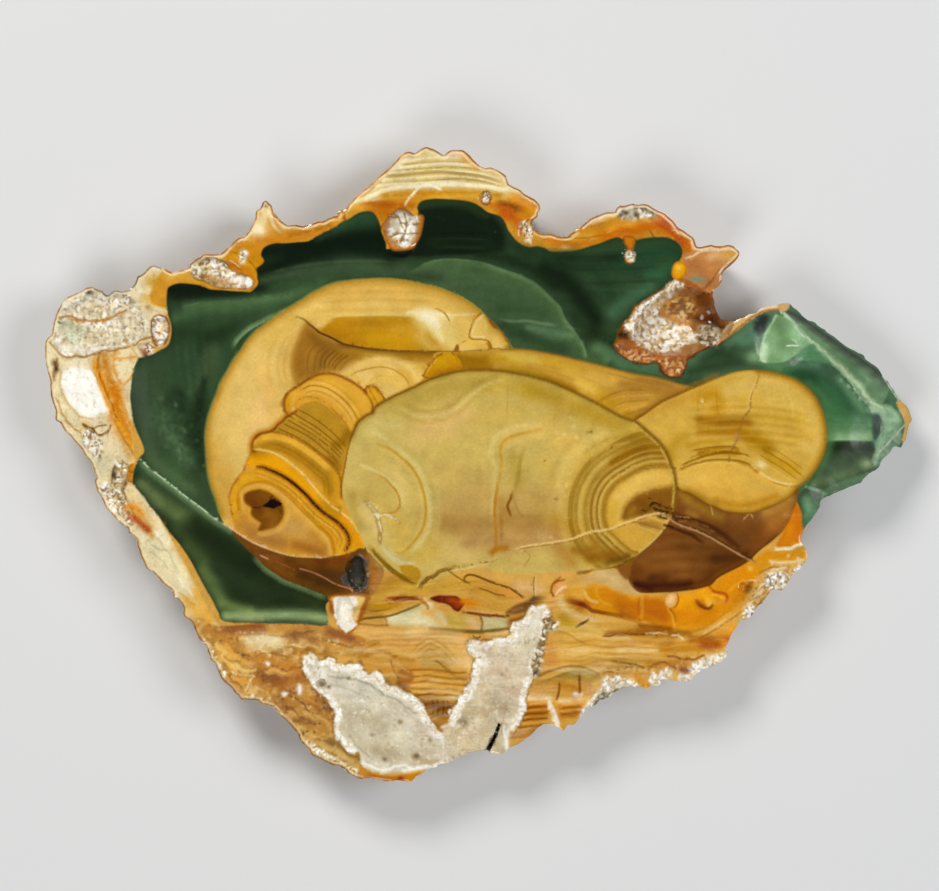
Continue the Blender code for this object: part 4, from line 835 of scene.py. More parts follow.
def egg1(p):
    p.fill(EGG1_BODY, "#e0bc67", soft=0.9)
    p.only(EGG1_BODY, soft=1.0)
    p.wash([(262, 352), (244, 395), (238, 430), (246, 458)], "#e5c271", 14, 0.85)
    p.wash([(262, 400), (258, 425), (256, 432)], "#ecc47e", 10, 0.75)
    p.wash([(262, 372), (270, 390), (276, 410)], "#e6b862", 9, 0.6)
    p.wash([(212, 445), (218, 475), (226, 505)], "#d3a445", 8, 0.85)
    p.wash([(230, 470), (226, 500), (232, 520)], "#d0a04a", 7, 0.7)
    p.wash([(222, 430), (222, 460)], "#dcb864", 6, 0.5)
    # upper arch
    p.wash([(268, 345), (290, 318), (322, 302), (345, 297)], "#deb659", 9, 0.7)
    p.wash([(300, 302), (325, 292), (350, 287), (380, 284), (410, 286)], "#cfa448", 6, 0.7)
    p.wash([(405, 285), (430, 291), (455, 300), (474, 312), (490, 328)], "#c29b43", 8, 0.75)
    p.wash([(310, 314), (330, 308), (355, 307)], "#e3bb5e", 8, 0.8)
    p.wash([(340, 296), (380, 293), (410, 297)], "#dcae57", 7, 0.75)
    p.wash([(395, 303), (420, 303), (445, 308)], "#dcb257", 6, 0.75)
    p.wash([(300, 312), (312, 306), (324, 306)], "#f0cd78", 5, 0.6)
    for k, y in enumerate((288, 291.5, 296, 300, 304.5, 309.5)):
        p.stroke([(325 - 6 * k, y + 3), (365, y), (410, y + 0.5), (440 + 3 * k, y + 3)], "#c2923a" if k % 2 else "#ecc671", 1.6, 1.5, 0.3, fade=0.2)
    # rim
    p.bands(EGG1, [(-11, "#d9b25c", 0.0), (-6.5, "#d0a044", 0.45), (-3.2, "#bd8f33", 0.85), (-1.4, "#a5842f", 0.9), (0.3, "#8b7c3a", 0.9), (1.2, "#6d6f38", 0.9)])
    p.only()
    p.bands(EGG1[:33], [(-0.4, "#7c7c3c", 0.0), (0.7, "#717a3d", 0.8), (2.0, "#57683a", 0.0)], fade=0.03)
    p.only(EGG1_BODY, soft=1.0)
    # amber lens under the level light line
    lens = [(316, 331), (324, 327), (331, 320.5), (338, 317), (360, 316.6), (379, 316), (398.5, 316), (411, 317.5), (420, 321), (428, 328), (436, 340), (440, 352), (398, 350.5), (365, 348), (344, 343.5), (327, 335.5)]
    p.fill(lens, "#bd8a1f", soft=2.2)
    p.only(lens, soft=2.0)
    p.wash([(326, 330), (345, 336), (362, 342)], "#b67d17", 8, 0.7)
    p.wash([(345, 324), (370, 323), (392, 326)], "#bb8420", 6, 0.7)
    p.wash([(372, 340), (395, 341), (410, 338)], "#cf991f", 8, 0.85)
    p.wash([(395, 330), (407, 330), (416, 334)], "#d3a136", 6, 0.7)
    p.wash([(422, 338), (428, 344), (432, 350)], "#d7b157", 7, 0.85)
    p.wash([(416, 322), (424, 330)], "#dcb95f", 5, 0.8)
    for k, y in enumerate((320, 324, 328.5, 333, 338, 343)):
        p.stroke([(330, y + 2), (370, y), (412, y)], "#a06c12" if k % 2 else "#d6a63e", 1.4, 1.4, 0.22, fade=0.3)
    p.only(EGG1_BODY, soft=1.0)
    p.stroke([(330, 318.5), (338, 315.6), (360, 315), (379, 314.6), (398.5, 314.8), (411, 316)], "#ecc873", 1.8, 1.2, 0.8, fade=0.1)
    # pale swoosh at its right end
    p.wash([(408, 313), (424, 312), (440, 315), (452, 318)], "#f0dfa6", (2.5, 5, 5, 3), 0.9)
    p.wash([(418, 316), (428, 322), (436, 330), (443, 340)], "#efdc9c", (4, 7.5, 6, 3), 0.95)
    p.wash([(424, 315), (432, 319), (438, 324)], "#f6efcf", 4.5, 0.85)
    p.wash([(446, 322), (450, 332), (450, 344)], "#e4ca7c", 6, 0.7)
    p.wash([(458, 318), (462, 330), (464, 345)], "#d9b65a", 7, 0.6)
    p.wash([(468, 342), (480, 346), (488, 347)], "#e2b54e", 4, 0.8)
    p.wash([(440, 347), (447, 349)], "#d3ab52", 4, 0.6)
    p.stroke([(425, 313), (440, 314.5), (460, 315), (478, 314)], "#f6ecc4", 1.3, 1.0, 0.6, fade=0.15)
    p.stroke([(434.4, 308.7), (439.5, 310), (444.6, 313.2), (447.8, 317.7), (450.4, 322.8)], "#a8741f", (1.0, 1.6, 1.6, 1.0), 0.7, 0.85, fade=0.1)
    # brown shade round the neck of the curl
    shade = [(306, 322), (318, 331), (334, 339), (350, 345.5), (366, 349), (420, 352), (460, 352.5), (458, 362), (430, 364), (400, 360), (372, 360), (352, 366), (338, 372), (320, 374), (304, 382), (295, 386), (291, 372), (291, 356), (296, 340)]
    p.fill(shade, "#a9792b", soft=4, op=0.95)
    p.only([(296, 318), (366, 346), (470, 350), (470, 372), (420, 385), (370, 400), (290, 400), (284, 350)], soft=3)
    p.wash([(309, 332), (303, 346), (300, 360), (302, 376)], "#a06d25", (5, 8, 8, 5), 0.9)
    p.wash([(312, 336), (322, 346), (336, 352)], "#8b5f1f", (5, 9, 8), 0.9)
    p.wash([(322, 356), (318, 366), (314, 374)], "#8f6224", 7, 0.7)
    p.wash([(340, 356), (352, 356), (366, 358)], "#9c7120", 6, 0.85)
    p.wash([(366, 355), (384, 356), (398, 357)], "#b48a2e", 5, 0.8)
    p.wash([(398, 355), (420, 356), (440, 356)], "#a1751a", 4.5, 0.85)
    p.wash([(306, 382), (300, 388), (298, 392)], "#c48f3c", 6, 0.6)
    for k, (line, c, w) in enumerate([
        ([(331, 348.7), (322.3, 356.4), (319.7, 371.8)], "#6b4715", 1.6), ([(336, 350), (326, 359), (324, 371)], "#5d3c10", 1.3),
        ([(340.3, 351.3), (330, 361.5), (328, 369.2)], "#5e3e10", 1.5), ([(345.5, 352.5), (334.5, 362), (331, 370.5)], "#6b4715", 1.2),
        ([(350.5, 353.8), (339, 361.5), (332.6, 371.8)], "#5e3e10", 1.5), ([(326, 346), (317, 354), (314, 368), (314, 374)], "#7c5519", 1.4),
        ([(357, 355), (346, 362), (339, 372)], "#8a6320", 1.3), ([(320, 341), (311, 350), (307.5, 362), (308, 376)], "#805a20", 1.3),
    ]):
        p.stroke(line, c, w, 0.9, 0.62, fade=0.2)
    # ripples left of it
    for k, off in enumerate((0, 4.5, 9, 13.5, 18)):
        p.stroke([(303.1 - off, 335.9 - off * 0.2), (298 - off, 343.6), (294.7 - off, 352.6), (292.8 - off, 361.5), (292.8 - off * 0.95, 371.8), (294.1 - off * 0.8, 379.5), (296 - off * 0.6, 385)],
                 "#b4822d" if k % 2 == 0 else "#f0cf84", 1.5, 1.3, 0.5 - 0.06 * k, fade=0.2)
    p.only(EGG1_BODY, soft=1.0)
    for k, off in enumerate((0, 5, 10, 15)):
        p.stroke([(290.3 - off, 331.1), (280 - off, 351.3), (277.7 - off, 366.7), (281.6 - off, 384.6), (286.7 - off, 394)],
                 "#cf9f4a" if k % 2 == 0 else "#efcd88", 1.8, 1.6, 0.45 - 0.07 * k, fade=0.25)
    p.wash([(294, 336), (288, 352), (286, 370), (290, 384)], "#d9ab55", 6, 0.5)
    # dark line that starts at the curl
    p.stroke(DARK_LINE, "#5a3008", (0.5, 1.6, 2.0, 2.0, 1.8, 1.5, 1.2, 1.1, 1.0, 0.9, 1.0), 0.7, 0.95, fade=0.01)
    p.bands(DARK_LINE[7:], [(-5, "#6d4a14", 0.0), (-1, "#7a5216", 0.75), (0, "#7a5216", 0.0)][::1], fade=0.05)
    # light mass right of the curl's top
    p.wash([(352, 370), (362, 366), (380, 362), (398, 364), (410, 372)], "#e4bd68", 6, 0.85)
    p.wash([(352, 380), (366, 380), (384, 378), (398, 382)], "#e3ba5e", 8, 0.85)
    p.wash([(360, 372), (368, 378)], "#efcb7e", 5, 0.7)
    p.wash([(402, 372), (411, 380), (412, 390)], "#d7a844", 5, 0.75)
    p.stroke([(349.2, 376.9), (355.6, 372.4), (360, 370.9), (372.8, 367.7), (383.1, 367.1), (393.3, 369.6), (402.3, 375.4), (407.4, 380.5), (409.4, 386.9)], "#bd8c2c", 1.5, 0.8, 0.85, fade=0.08)
    p.stroke([(352, 368.5), (360, 362.6), (379.2, 358.9), (398.5, 361.3), (411.3, 370.3), (416.4, 379.2), (413.8, 386.9)], "#eecb78", 3.6, 1.8, 0.7, fade=0.15)
    p.stroke([(366, 385), (374, 378), (384, 375.5), (394, 378), (400, 385)], "#cf9e3c", 1.3, 1.1, 0.5, fade=0.15)
    p.wash([(420, 366), (436, 362), (446, 360)], "#c2952f", 5, 0.5)
    # stepped line at the right end
    p.fill([(488, 317.5), (493, 322), (498, 328.5), (494, 328), (489, 322)], "#8c5a14", soft=1.0)
    p.fill([(476, 320), (473, 330), (472, 338), (482, 339), (486, 334), (487, 324), (483, 316.5)], "#dcb964", soft=1.6, op=0.8)
    p.stroke([(481.8, 312.6), (478.6, 315.1), (474.1, 318.3), (472.2, 322.8), (470.5, 329.2), (469, 335.6), (470.3, 338.5), (475.4, 339.5), (481.8, 339.5), (488.2, 340.8), (490.1, 344), (492.1, 348.5), (493.3, 351)],
             "#9b6616", 1.6, 0.6, 0.95)
    p.stroke([(484.5, 314.5), (477.5, 320), (475, 325), (473, 331), (472, 336), (476, 337), (484, 337)], "#efd594", 1.3, 0.8, 0.7)
    p.fill([(487, 343), (490.5, 342), (493, 350), (489, 350)], "#a0691c", soft=0.8, op=0.8)
    p.fill([(456.8, 344.2), (454.2, 349), (452.6, 352.5), (456.5, 352.5), (459.5, 348)], "#875510", soft=0.8, op=0.9)
    p.stroke([(467, 340), (461, 343), (457, 346)], "#b37a22", 1.2, 0.8, 0.7, fade=0.1)
    p.stroke([(483.5, 313), (489, 318), (495.5, 324.8), (501.5, 331.5), (506.5, 339.5), (510.5, 346)], "#7d4f12", 1.7, 0.7, 0.8, fade=0.04)
    p.mottle(EGG1_BODY, 0.028, (22, 9), 51, 3)
    p.only()


# ------------------------------------------------------------------ the curl
CAP = [
    (287.7, 414.7), (285.1, 412.8), (283.6, 407.7), (283.2, 402.6), (284.5, 397.4), (287.7, 392.3), (292.8, 388.5), (299.2, 384.6),
    (306.9, 379.5), (314.6, 375.6), (322.3, 373.3), (330, 372.8), (337.7, 374.4), (346.7, 378.2), (355.6, 383.3), (363.3, 389.1),
    (368.5, 394.9), (372.3, 401.3), (373.6, 407.7), (371.7, 413.5),
]
NECK_LEFT = [
    (296, 411.5), (290.3, 414.7), (285.1, 417.9), (282.6, 421.2), (278.7, 423.7), (274.9, 428.2), (269.7, 431.4), (263.3, 432.7),
    (258.2, 434.6), (254.4, 438.5), (252.4, 442.3), (251.8, 447.4), (252.4, 451.3), (255.6, 451.9),
]
NOSE = [(251.9, 451.5), (248, 458), (244.8, 466), (243, 471.5), (238, 477.5), (234, 483.5), (231, 490), (229.8, 498), (230.5, 506.7), (232, 516.9)]
BLACK_LINE = [
    (254.4, 466.3), (262, 467), (269.5, 469.8), (277, 473.1), (284.6, 477.2), (292.5, 482.5), (300, 489), (307.7, 496.4),
    (314.1, 503.5), (320.5, 509.9), (328.2, 515.6), (335.9, 520.8), (342.3, 527.2), (347.4, 534.2), (349.1, 541.3), (348.1, 546.4), (344.9, 552.8),
]
LIGHT_LINE = [(253, 449), (262, 450), (272.3, 452.6), (282.6, 457.7), (292.8, 465.4), (301.8, 473.1), (309.5, 482.1), (317.2, 491), (324.9, 499.4), (333, 507), (343, 514), (352, 522), (358, 532)]
BAND_TOP = [(256, 438), (262, 434), (269.7, 432), (280, 432.7), (289, 435.9), (297.9, 439.7), (308.2, 446.2), (318.5, 453.8), (327.4, 461.5), (335.1, 467.9), (339.6, 475.6), (340.9, 485.9), (341.5, 497.4)]
CURL = (
    CAP[:-1] + [(371.7, 413.5), (364, 418), (356, 428), (350, 445), (345, 470), (342, 490), (345, 503), (352, 518), (358, 531), (365, 546)]
    + [(358, 552), (341, 555), (331, 556), (310, 557.3), (289.7, 555.4), (269.2, 549.6), (250, 541.3), (236, 531)]
    + NOSE[::-1] + NECK_LEFT[::-1][1:] + [(292, 413)]
)


def curl(p):
    p.fill(CURL, "#d9a03a", soft=0.8)
    p.only(CURL, soft=0.9)
    # face of the curl below the black line
    p.wash([(262, 535), (285, 528), (305, 530), (325, 545)], "#c39350", 12, 0.9)
    p.wash([(238, 505), (240, 520), (248, 532)], "#b98138", (5, 7, 8), 0.9)
    p.wash([(255, 534), (268, 540), (282, 544)], "#a57235", 8, 0.85)
    p.wash([(286, 515), (292, 525), (304, 534)], "#c89a4e", 8, 0.8)
    p.wash([(290, 500), (305, 515), (318, 528), (326, 545)], "#dfaa48", 8, 0.85)
    p.wash([(296, 545), (310, 549), (322, 552)], "#9d6222", 6, 0.8)
    p.wash([(312, 534), (322, 544), (328, 552)], "#b8802c", 5, 0.7)
    # second arc and rolled lip
    lip = [(239.7, 509.9), (238.5, 500.3), (239.7, 492.6), (244.2, 487.4), (251.3, 484.2), (260.3, 482.9), (269.2, 484.2), (276.9, 487.4), (284.6, 492.6), (292.3, 499.6),
           (298.7, 506.7), (305.1, 513.1), (312.8, 520.1), (319.2, 527.2), (325.6, 532.3), (330.8, 538.7), (332.7, 546.4), (334, 554.1)]
    p.bands(lip, [(-7, "#e3b55b", 0.0), (-3, "#e3b55b", 0.5), (-1, "#c58a24", 0.95), (1.0, "#b87a18", 0.95), (3.2, "#d99f2a", 0.95), (7.5, "#dda52c", 0.95), (12, "#d9941e", 0.5), (14, "#d9941e", 0.0)][::1])
    p.bands(NOSE, [(-13, "#d39128", 0.0), (-9, "#d6962b", 0.8), (-4, "#c98620", 0.9), (-1.8, "#b06a17", 0.95), (0.6, "#8c4a10", 0.95)])
    # golden band between the light line and the black line
    p.bands(LIGHT_LINE, [(-17, "#e9a612", 0.0), (-15, "#e59f10", 0.9), (-9, "#eba60d", 1.0), (-3.5, "#e6a318", 1.0), (-1.2, "#d9a032", 0.95), (0, "#ecca78", 0.9), (1.4, "#e2b860", 0.5), (2.4, "#c08a22", 0.0)])
    p.wash([(252, 459), (262, 461), (276, 466)], "#eaa40a", 5.5, 0.9)
    p.wash([(336, 516), (346, 526), (354, 540)], "#d8900f", 6, 0.85)
    p.wash([(352, 534), (357, 544), (360, 548)], "#dd9612", 4.5, 0.9)
    # bands under the black line
    p.bands(BLACK_LINE, [(-13.5, "#cf8f20", 0.0), (-11, "#c8881f", 0.7), (-9.2, "#dba638", 0.8), (-7.2, "#c48322", 0.85), (-5.2, "#e2ae3c", 0.9), (-3.4, "#cb8a20", 0.9), (-2.2, "#b56f14", 0.9), (-1.2, "#7a3d06", 0.95)], fade=0.02)
    p.bands(BLACK_LINE[:6], [(-9, "#d0962c", 0.0), (-4, "#d59a2d", 0.8), (-1, "#a2640f", 0.8)], fade=0.1)
    p.stroke(BLACK_LINE, "#321302", (1.0, 1.8, 2.6, 2.8, 2.7, 2.6, 2.7, 2.8, 2.4, 1.8, 1.2), 0.7, 0.97, fade=0.03)
    p.bands(BLACK_LINE, [(0.8, "#4c2404", 0.7), (2.2, "#b87410", 0.75), (4.5, "#e2a018", 0.0)], fade=0.08)
    for off, c, o in ((-6.2, "#a86a14", 0.55), (-8.6, "#e9bd55", 0.5), (-10.6, "#ad7019", 0.5), (-12.6, "#e6b650", 0.35)):
        p.stroke(moved(spline(BLACK_LINE[4:15]), off), c, 1.0, 0.8, o, curve=False, fade=0.1)
    # olive band and gold above it
    p.bands(BAND_TOP, [(-25, "#b48220", 0.0), (-20, "#b9861f", 0.5), (-15.5, "#b7841f", 0.95), (-11.0, "#ab7a1d", 0.95), (-8.2, "#c3942e", 0.95), (-5.5, "#e3ae40", 0.95), (-2.2, "#e0a436", 0.95), (-0.8, "#c48522", 0.95), (0.6, "#7e4d0c", 0.9)], fade=0.0)
    p.wash([(254, 448), (262, 444), (275, 445), (290, 451), (306, 461), (320, 475), (331, 490)], "#ae7c1e", 3.6, 0.75)
    p.wash([(264, 437.5), (280, 438.5), (296, 444), (312, 454), (326, 466), (334, 478)], "#e4af42", 2.8, 0.9)
    p.wash([(332, 472), (336, 486), (336, 500)], "#c48a1c", 4.5, 0.7)
    p.wash([(318, 486), (326, 498), (334, 506)], "#dfa02a", 4, 0.55)
    p.bands(LIGHT_LINE, [(-1.6, "#e0ac42", 0.0), (-0.2, "#f0cf80", 0.85), (1.0, "#e9c36c", 0.7), (2.2, "#c08a22", 0.0)], fade=0.03)
    for off, o in ((-8.5, 0.35), (-12.5, 0.4), (-17, 0.3)):
        p.stroke(moved(spline(BAND_TOP[2:]), off), "#8c6013", 1.0, 0.8, o, curve=False, fade=0.08)
    # the neck, with its fine dark lines
    neck = [(292.8, 412.8), (303.1, 404), (318, 402), (334, 412), (346, 426), (352, 436), (346, 452), (342, 470), (339, 476), (327, 462), (308, 447), (289, 436), (270, 432), (278, 424), (284, 418)]
    p.fill(neck, "#b98b2c", soft=1.2)
    p.only(neck, soft=1.2)
    p.wash([(318, 410), (330, 424), (342, 440)], "#bb8d2a", 9, 0.85)
    p.wash([(300, 420), (312, 428), (326, 440)], "#b98c2d", 4, 0.6)
    p.wash([(336, 446), (344, 440), (350, 430)], "#96680e", 5, 0.85)
    p.wash([(330, 458), (338, 468)], "#9b6514", 4, 0.7)
    for line, w in (
        ([(292.8, 412.8), (303.1, 419.2), (315.9, 426.9), (327.4, 435.9), (337.7, 444.9), (344.1, 452.6)], 1.5),
        ([(286.4, 419.2), (297.9, 425.6), (310.8, 433.3), (323.6, 442.3), (333.8, 451.3), (341.5, 459)], 1.5),
        ([(282.6, 423.1), (295.4, 429.5), (309.5, 437.2), (322.3, 447.4), (332.6, 456.4), (339, 464.1)], 1.5),
        ([(277.4, 428.2), (289, 433.3), (301.8, 439.7), (314.6, 448.7), (326.2, 457.7), (335.1, 465.4)], 1.5),
        ([(296.5, 408.9), (306, 413.5), (318, 421), (330, 430.5), (340, 440), (346.5, 447.5)], 1.1),
        ([(289.5, 416), (300.5, 422.4), (313, 430), (325.5, 439), (335.8, 448), (343, 455.8)], 0.9),
        ([(284.5, 421.2), (296.5, 427.5), (310, 435.2), (323, 444.8), (333, 453.8), (340.3, 461.5)], 0.9),
    ):
        p.stroke(line, "#7c5312", w, 0.7, 0.72, fade=0.03)
    for line in (
        [(290, 414.6), (301, 420.8), (314, 428.5), (326, 437.5), (336.5, 446.5), (343.5, 454)],
        [(284, 420.8), (296, 427), (309.5, 434.8), (322.5, 444), (333, 453), (340.5, 460.5)],
    ):
        p.stroke(line, "#d3a646", 0.9, 0.7, 0.55, fade=0.05)
    p.only(CURL, soft=0.9)
    # the cap
    cap = CAP + [(366, 417), (360, 424), (355, 433), (349, 426), (344.1, 421.8), (336.4, 412.8), (328.7, 405.1), (319.7, 399.4), (312.1, 396.8), (303.1, 397.4), (296.7, 401.3), (294.1, 406.4), (292, 412)]
    p.fill(cap, "#dca43c", soft=0.9)
    p.only(cap, soft=1.0)
    p.wash([(288, 404), (296, 392), (312, 384), (330, 382), (348, 390), (362, 402)], "#e3ac40", 5, 0.85)
    p.wash([(300, 388), (316, 379), (330, 377)], "#cf9a31", 3, 0.65)
    p.wash([(322, 389), (336, 394), (348, 405), (356, 418)], "#e2b04a", 4, 0.8)
    p.wash([(345, 396), (356, 408), (360, 420)], "#cd982c", 5, 0.6)
    p.wash([(288, 398), (288, 407)], "#cf8f14", 3, 0.7)
    inner = [(300, 391), (309.5, 385.9), (318.5, 385.9), (327.4, 388.5), (336.4, 393.6), (345.4, 401.3), (351.8, 409), (356.9, 417.9), (359.5, 423.1)]
    p.stroke(inner, "#a5701a", 1.2, 0.7, 0.75, fade=0.08)
    for off, c, o in ((-3.2, "#eec470", 0.75), (-5.4, "#b98326", 0.5), (-7.6, "#ecc06a", 0.55), (3.0, "#efc470", 0.6), (5.6, "#bb8528", 0.4)):
        p.stroke(moved(spline(inner), off), c, 1.4, 0.9, o, curve=False, fade=0.15)
    p.bands(CAP[::-1], [(-0.5, "#7e430a", 0.0), (0.4, "#8a4c0c", 0.95), (1.4, "#a96616", 0.8), (3.4, "#dda23a", 0.0)])
    p.only()
    p.stroke(CAP, "#7a3f0a", (1.4, 1.8, 1.5, 1.2, 1.2, 1.4, 1.5, 1.3), 0.7, 0.95)
    p.stroke([(294.1, 406.4), (296.7, 401.3), (303.1, 397.4), (312.1, 396.8), (319.7, 399.4), (328.7, 405.1), (336.4, 412.8), (344.1, 421.8), (350, 430)], "#96661a", 1.2, 0.8, 0.7, fade=0.05)
    p.fill([(291.8, 409), (293.6, 407.7), (295.3, 409.8), (293.8, 411.8), (291.9, 411)], "#f2e4c0", soft=0.6)
    # amber fold beside the cap
    p.fill([(363.8, 390.1), (366, 387), (371.5, 385.6), (376, 387.6), (380.5, 392.7), (385, 399.5), (381, 404), (376, 407.5), (371, 400), (367, 394.5)], "#d39a25", soft=1.0)
    p.wash([(370, 389), (376, 396), (379, 402)], "#dda93a", 3, 0.7)
    p.stroke([(363.8, 390.1), (366.4, 394), (365.8, 388.2), (367.7, 386.3), (371.5, 385.6), (376, 387.6), (380.5, 392.7), (384.4, 398.5), (386, 402)], "#7e4c0a", 1.8, 0.7, 0.92)
    p.stroke([(369.5, 389), (373, 394.5), (376.5, 401), (377.5, 406)], "#a8701a", 1.2, 0.8, 0.7)
    # dark jagged left edge
    p.stroke(NECK_LEFT, "#6c360a", (1.5, 2.4, 1.8, 2.4, 1.6, 2.2, 1.8, 1.2), 0.8, 0.92)
    p.bands(NECK_LEFT, [(-6, "#c07a1c", 0.0), (-2.5, "#c07a1c", 0.6), (-0.8, "#a85f12", 0.8), (0, "#a85f12", 0.0)][::1])
    p.stroke(BAND_TOP[1:], "#87560f", 1.1, 0.7, 0.75, fade=0.02)
    p.stroke(NOSE, "#9c5a14", (1.4, 1.2, 1.6, 1.8, 1.6, 1.2), 0.7, 0.8)
    p.only(CURL, soft=0.9)
    # the hollow and its dark middle
    hollow = [(244.9, 493.8), (251.3, 490.6), (260.3, 489.4), (269.2, 491.9), (275.6, 496.4), (280.8, 501.5), (284, 509.2), (283.3, 516.9), (278.2, 524.6),
              (270.5, 528.5), (262.8, 530.5), (259, 534), (258.3, 528.5), (260.9, 523.3), (257.5, 520.8), (252.6, 516.9), (250.6, 513.1), (251.3, 507.9), (244.9, 502.8), (243.6, 497.7)]
    p.fill(hollow, "#7a4a0c", soft=1.5)
    p.only(hollow, soft=1.4)
    p.wash([(268, 514), (274, 518), (272, 526)], "#94601f", 5, 0.85)
    p.wash([(262, 494), (272, 498), (279, 506)], "#895612", 3.5, 0.6)
    p.wash([(247, 497), (254, 503), (258, 510)], "#6c3902", 4.5, 0.7)
    p.only(CURL, soft=0.9)
    p.bands(hollow[:11], [(-0.5, "#c48a2a", 0.0), (1.6, "#d39b38", 0.75), (4.6, "#e0b055", 0.7), (8, "#e0b055", 0.0)])
    p.fill([(261.5, 506), (266.7, 503.2), (269.2, 499.9), (271.8, 498.3), (276.9, 500.3), (281.4, 503), (281.6, 505.6), (276.9, 506.8), (273.7, 508.9), (269.2, 507.7)], "#1a0800", soft=0.7, wob=(0.6, 3, 4))
    p.stroke([(261, 506.3), (257, 508), (254, 507.4)], "#3a1c04", 1.2, 0.6, 0.8)
    p.stroke([(272, 500), (270.5, 497), (272.5, 495.8)], "#3a1c04", 1.0, 0.6, 0.7)
    p.stroke([(277, 506), (279, 510), (280.5, 512)], "#4a2806", 1.0, 0.6, 0.5)
    p.wash([(238, 514), (244, 522)], "#bd853c", 4, 0.5)
    p.mottle(CURL, 0.03, 7, 61, 3)
    p.only()


def brown_foot(p):
    """The red-brown band between the crack and the lower green corner, the dark crystals and the white drop."""
    foot = [(229, 528), (241, 535.5), (250, 541.8), (259, 545.5), (269.2, 550), (279.5, 553.2), (289.7, 555.8), (300, 557.4), (320.5, 557.6), (341, 555), (352, 552),
            (360, 548), (368, 552), (376, 560), (384, 570), (380, 584), (370, 596), (340, 598.5), (329.5, 597), (323, 594), (312.8, 590), (302.6, 586), (292, 582), (283.3, 579), (274.4, 573), (265.4, 567), (257.7, 559), (251, 553), (240, 542)]
    p.fill(foot, "#6f4514", soft=0.9)
    p.only(foot, soft=1.0)
    p.wash([(246, 543), (262, 552), (280, 560)], "#7d4a1c", (3, 5, 6), 0.85)
    p.wash([(288, 562), (304, 567), (320, 570)], "#653c12", 7, 0.85)
    p.wash([(300, 574), (318, 582), (336, 588)], "#482d10", (6, 8, 8), 0.9)
    p.wash([(326, 576), (338, 576), (348, 580)], "#4b2f13", 7, 0.8)
    p.wash([(316, 561), (332, 563), (346, 558)], "#70360d", 4, 0.7)
    p.wash([(338, 552), (346, 553)], "#93530f", 5, 0.7)
    p.wash([(366, 566), (374, 576), (372, 588)], "#a8692a", 7, 0.85)
    p.wash([(356, 592), (366, 590)], "#6c4720", 5, 0.7)
    p.wash([(262, 566), (276, 575), (292, 583)], "#552c10", 3.5, 0.5)
    p.stroke([(261.5, 556), (268, 559)], "#e3a588", 1.4, 0.7, 0.7)
    p.stroke([(275, 561), (284, 565), (296, 570)], "#a86440", 1.0, 0.7, 0.55)
    p.stroke([(300, 568.8), (310, 571.4), (318, 574.6), (325.6, 578.5), (333.3, 583), (341, 586), (350, 588.7), (352.6, 592)], "#c3815a", 1.2, 0.7, 0.75)
    p.wash([(374, 558), (381, 568), (381, 582), (372, 594)], "#c29350", 7, 0.72)
    p.mottle(foot, 0.16, (10, 4), 71, 3)
    p.only()
    # dark crystal pocket
    druse = [(352, 558.5), (358, 556.5), (364, 558.5), (367.5, 564), (366, 571), (368.5, 578), (366, 587), (360, 591.5), (354, 589.5), (349, 586), (343.5, 583), (341.5, 577.5), (346.5, 572), (350, 566)]
    p.fill(druse, "#332c1d", soft=2.0, wob=(2.2, 4.5, 2), rough=0.8, relief=-0.12)
    p.sprinkle([(349, 558), (366, 560), (367, 585), (356, 591), (348, 584)], "#98977a", 3.6, 0.6, 0.9, 15, size=0.7, soft=2, relief=0.14)
    p.sprinkle([(360, 546), (371, 548), (384, 556), (378, 560), (366, 553)], "#f0cf84", 3.2, 0.55, 0.85, 21, size=0.65, soft=2)
    p.sprinkle([(349, 558), (366, 560), (367, 585), (356, 591), (348, 584)], "#141009", 3.4, 0.6, 0.9, 16, size=0.7, soft=2)
    p.detail(druse, 1.3)
    # white drop
    drop = [(328, 597), (330, 604), (332, 612), (335, 619), (338, 626), (342, 632), (346, 635), (352, 632), (357, 627), (361, 620), (365, 611), (368, 602), (370, 596), (350, 594), (336, 595)]
    p.fill(drop, "#a4611c", soft=1.1)
    p.fill([(332, 597.5), (334, 605), (336.5, 613), (340, 621), (344, 628), (347, 631.5), (352, 629), (356, 623), (359, 615), (362, 606), (364.5, 597.5), (350, 596)], "#e8c578", soft=1.4)
    white = [(334.6, 598.3), (345, 597), (356.4, 598.3), (355.8, 605.4), (352.6, 611.8), (353.8, 619.5), (357, 624.6), (351.3, 629.7), (346.2, 632.3), (339.7, 628.5), (335.9, 619.5), (334, 611.8), (333.3, 605.4)]
    p.fill(white, "#f2ecdc", soft=1.2, wob=(1.4, 4, 3), rough=0.6)
    p.sprinkle(white, "#c9b48a", 3.6, 0.5, 0.7, 17, size=0.6, soft=1.5)
    p.sprinkle(white, "#ffffff", 3.0, 0.5, 0.9, 18, size=0.7, soft=1.5)
    p.stroke([(330, 595), (341, 593.6), (354, 594), (368, 593)], "#7c430c", 2.0, 0.9, 0.8)
    p.glow(331, 608, 2.6, 7, "#8c4a12", 0.8)
    p.glow(362, 612, 2.4, 6, "#a5611d", 0.7)


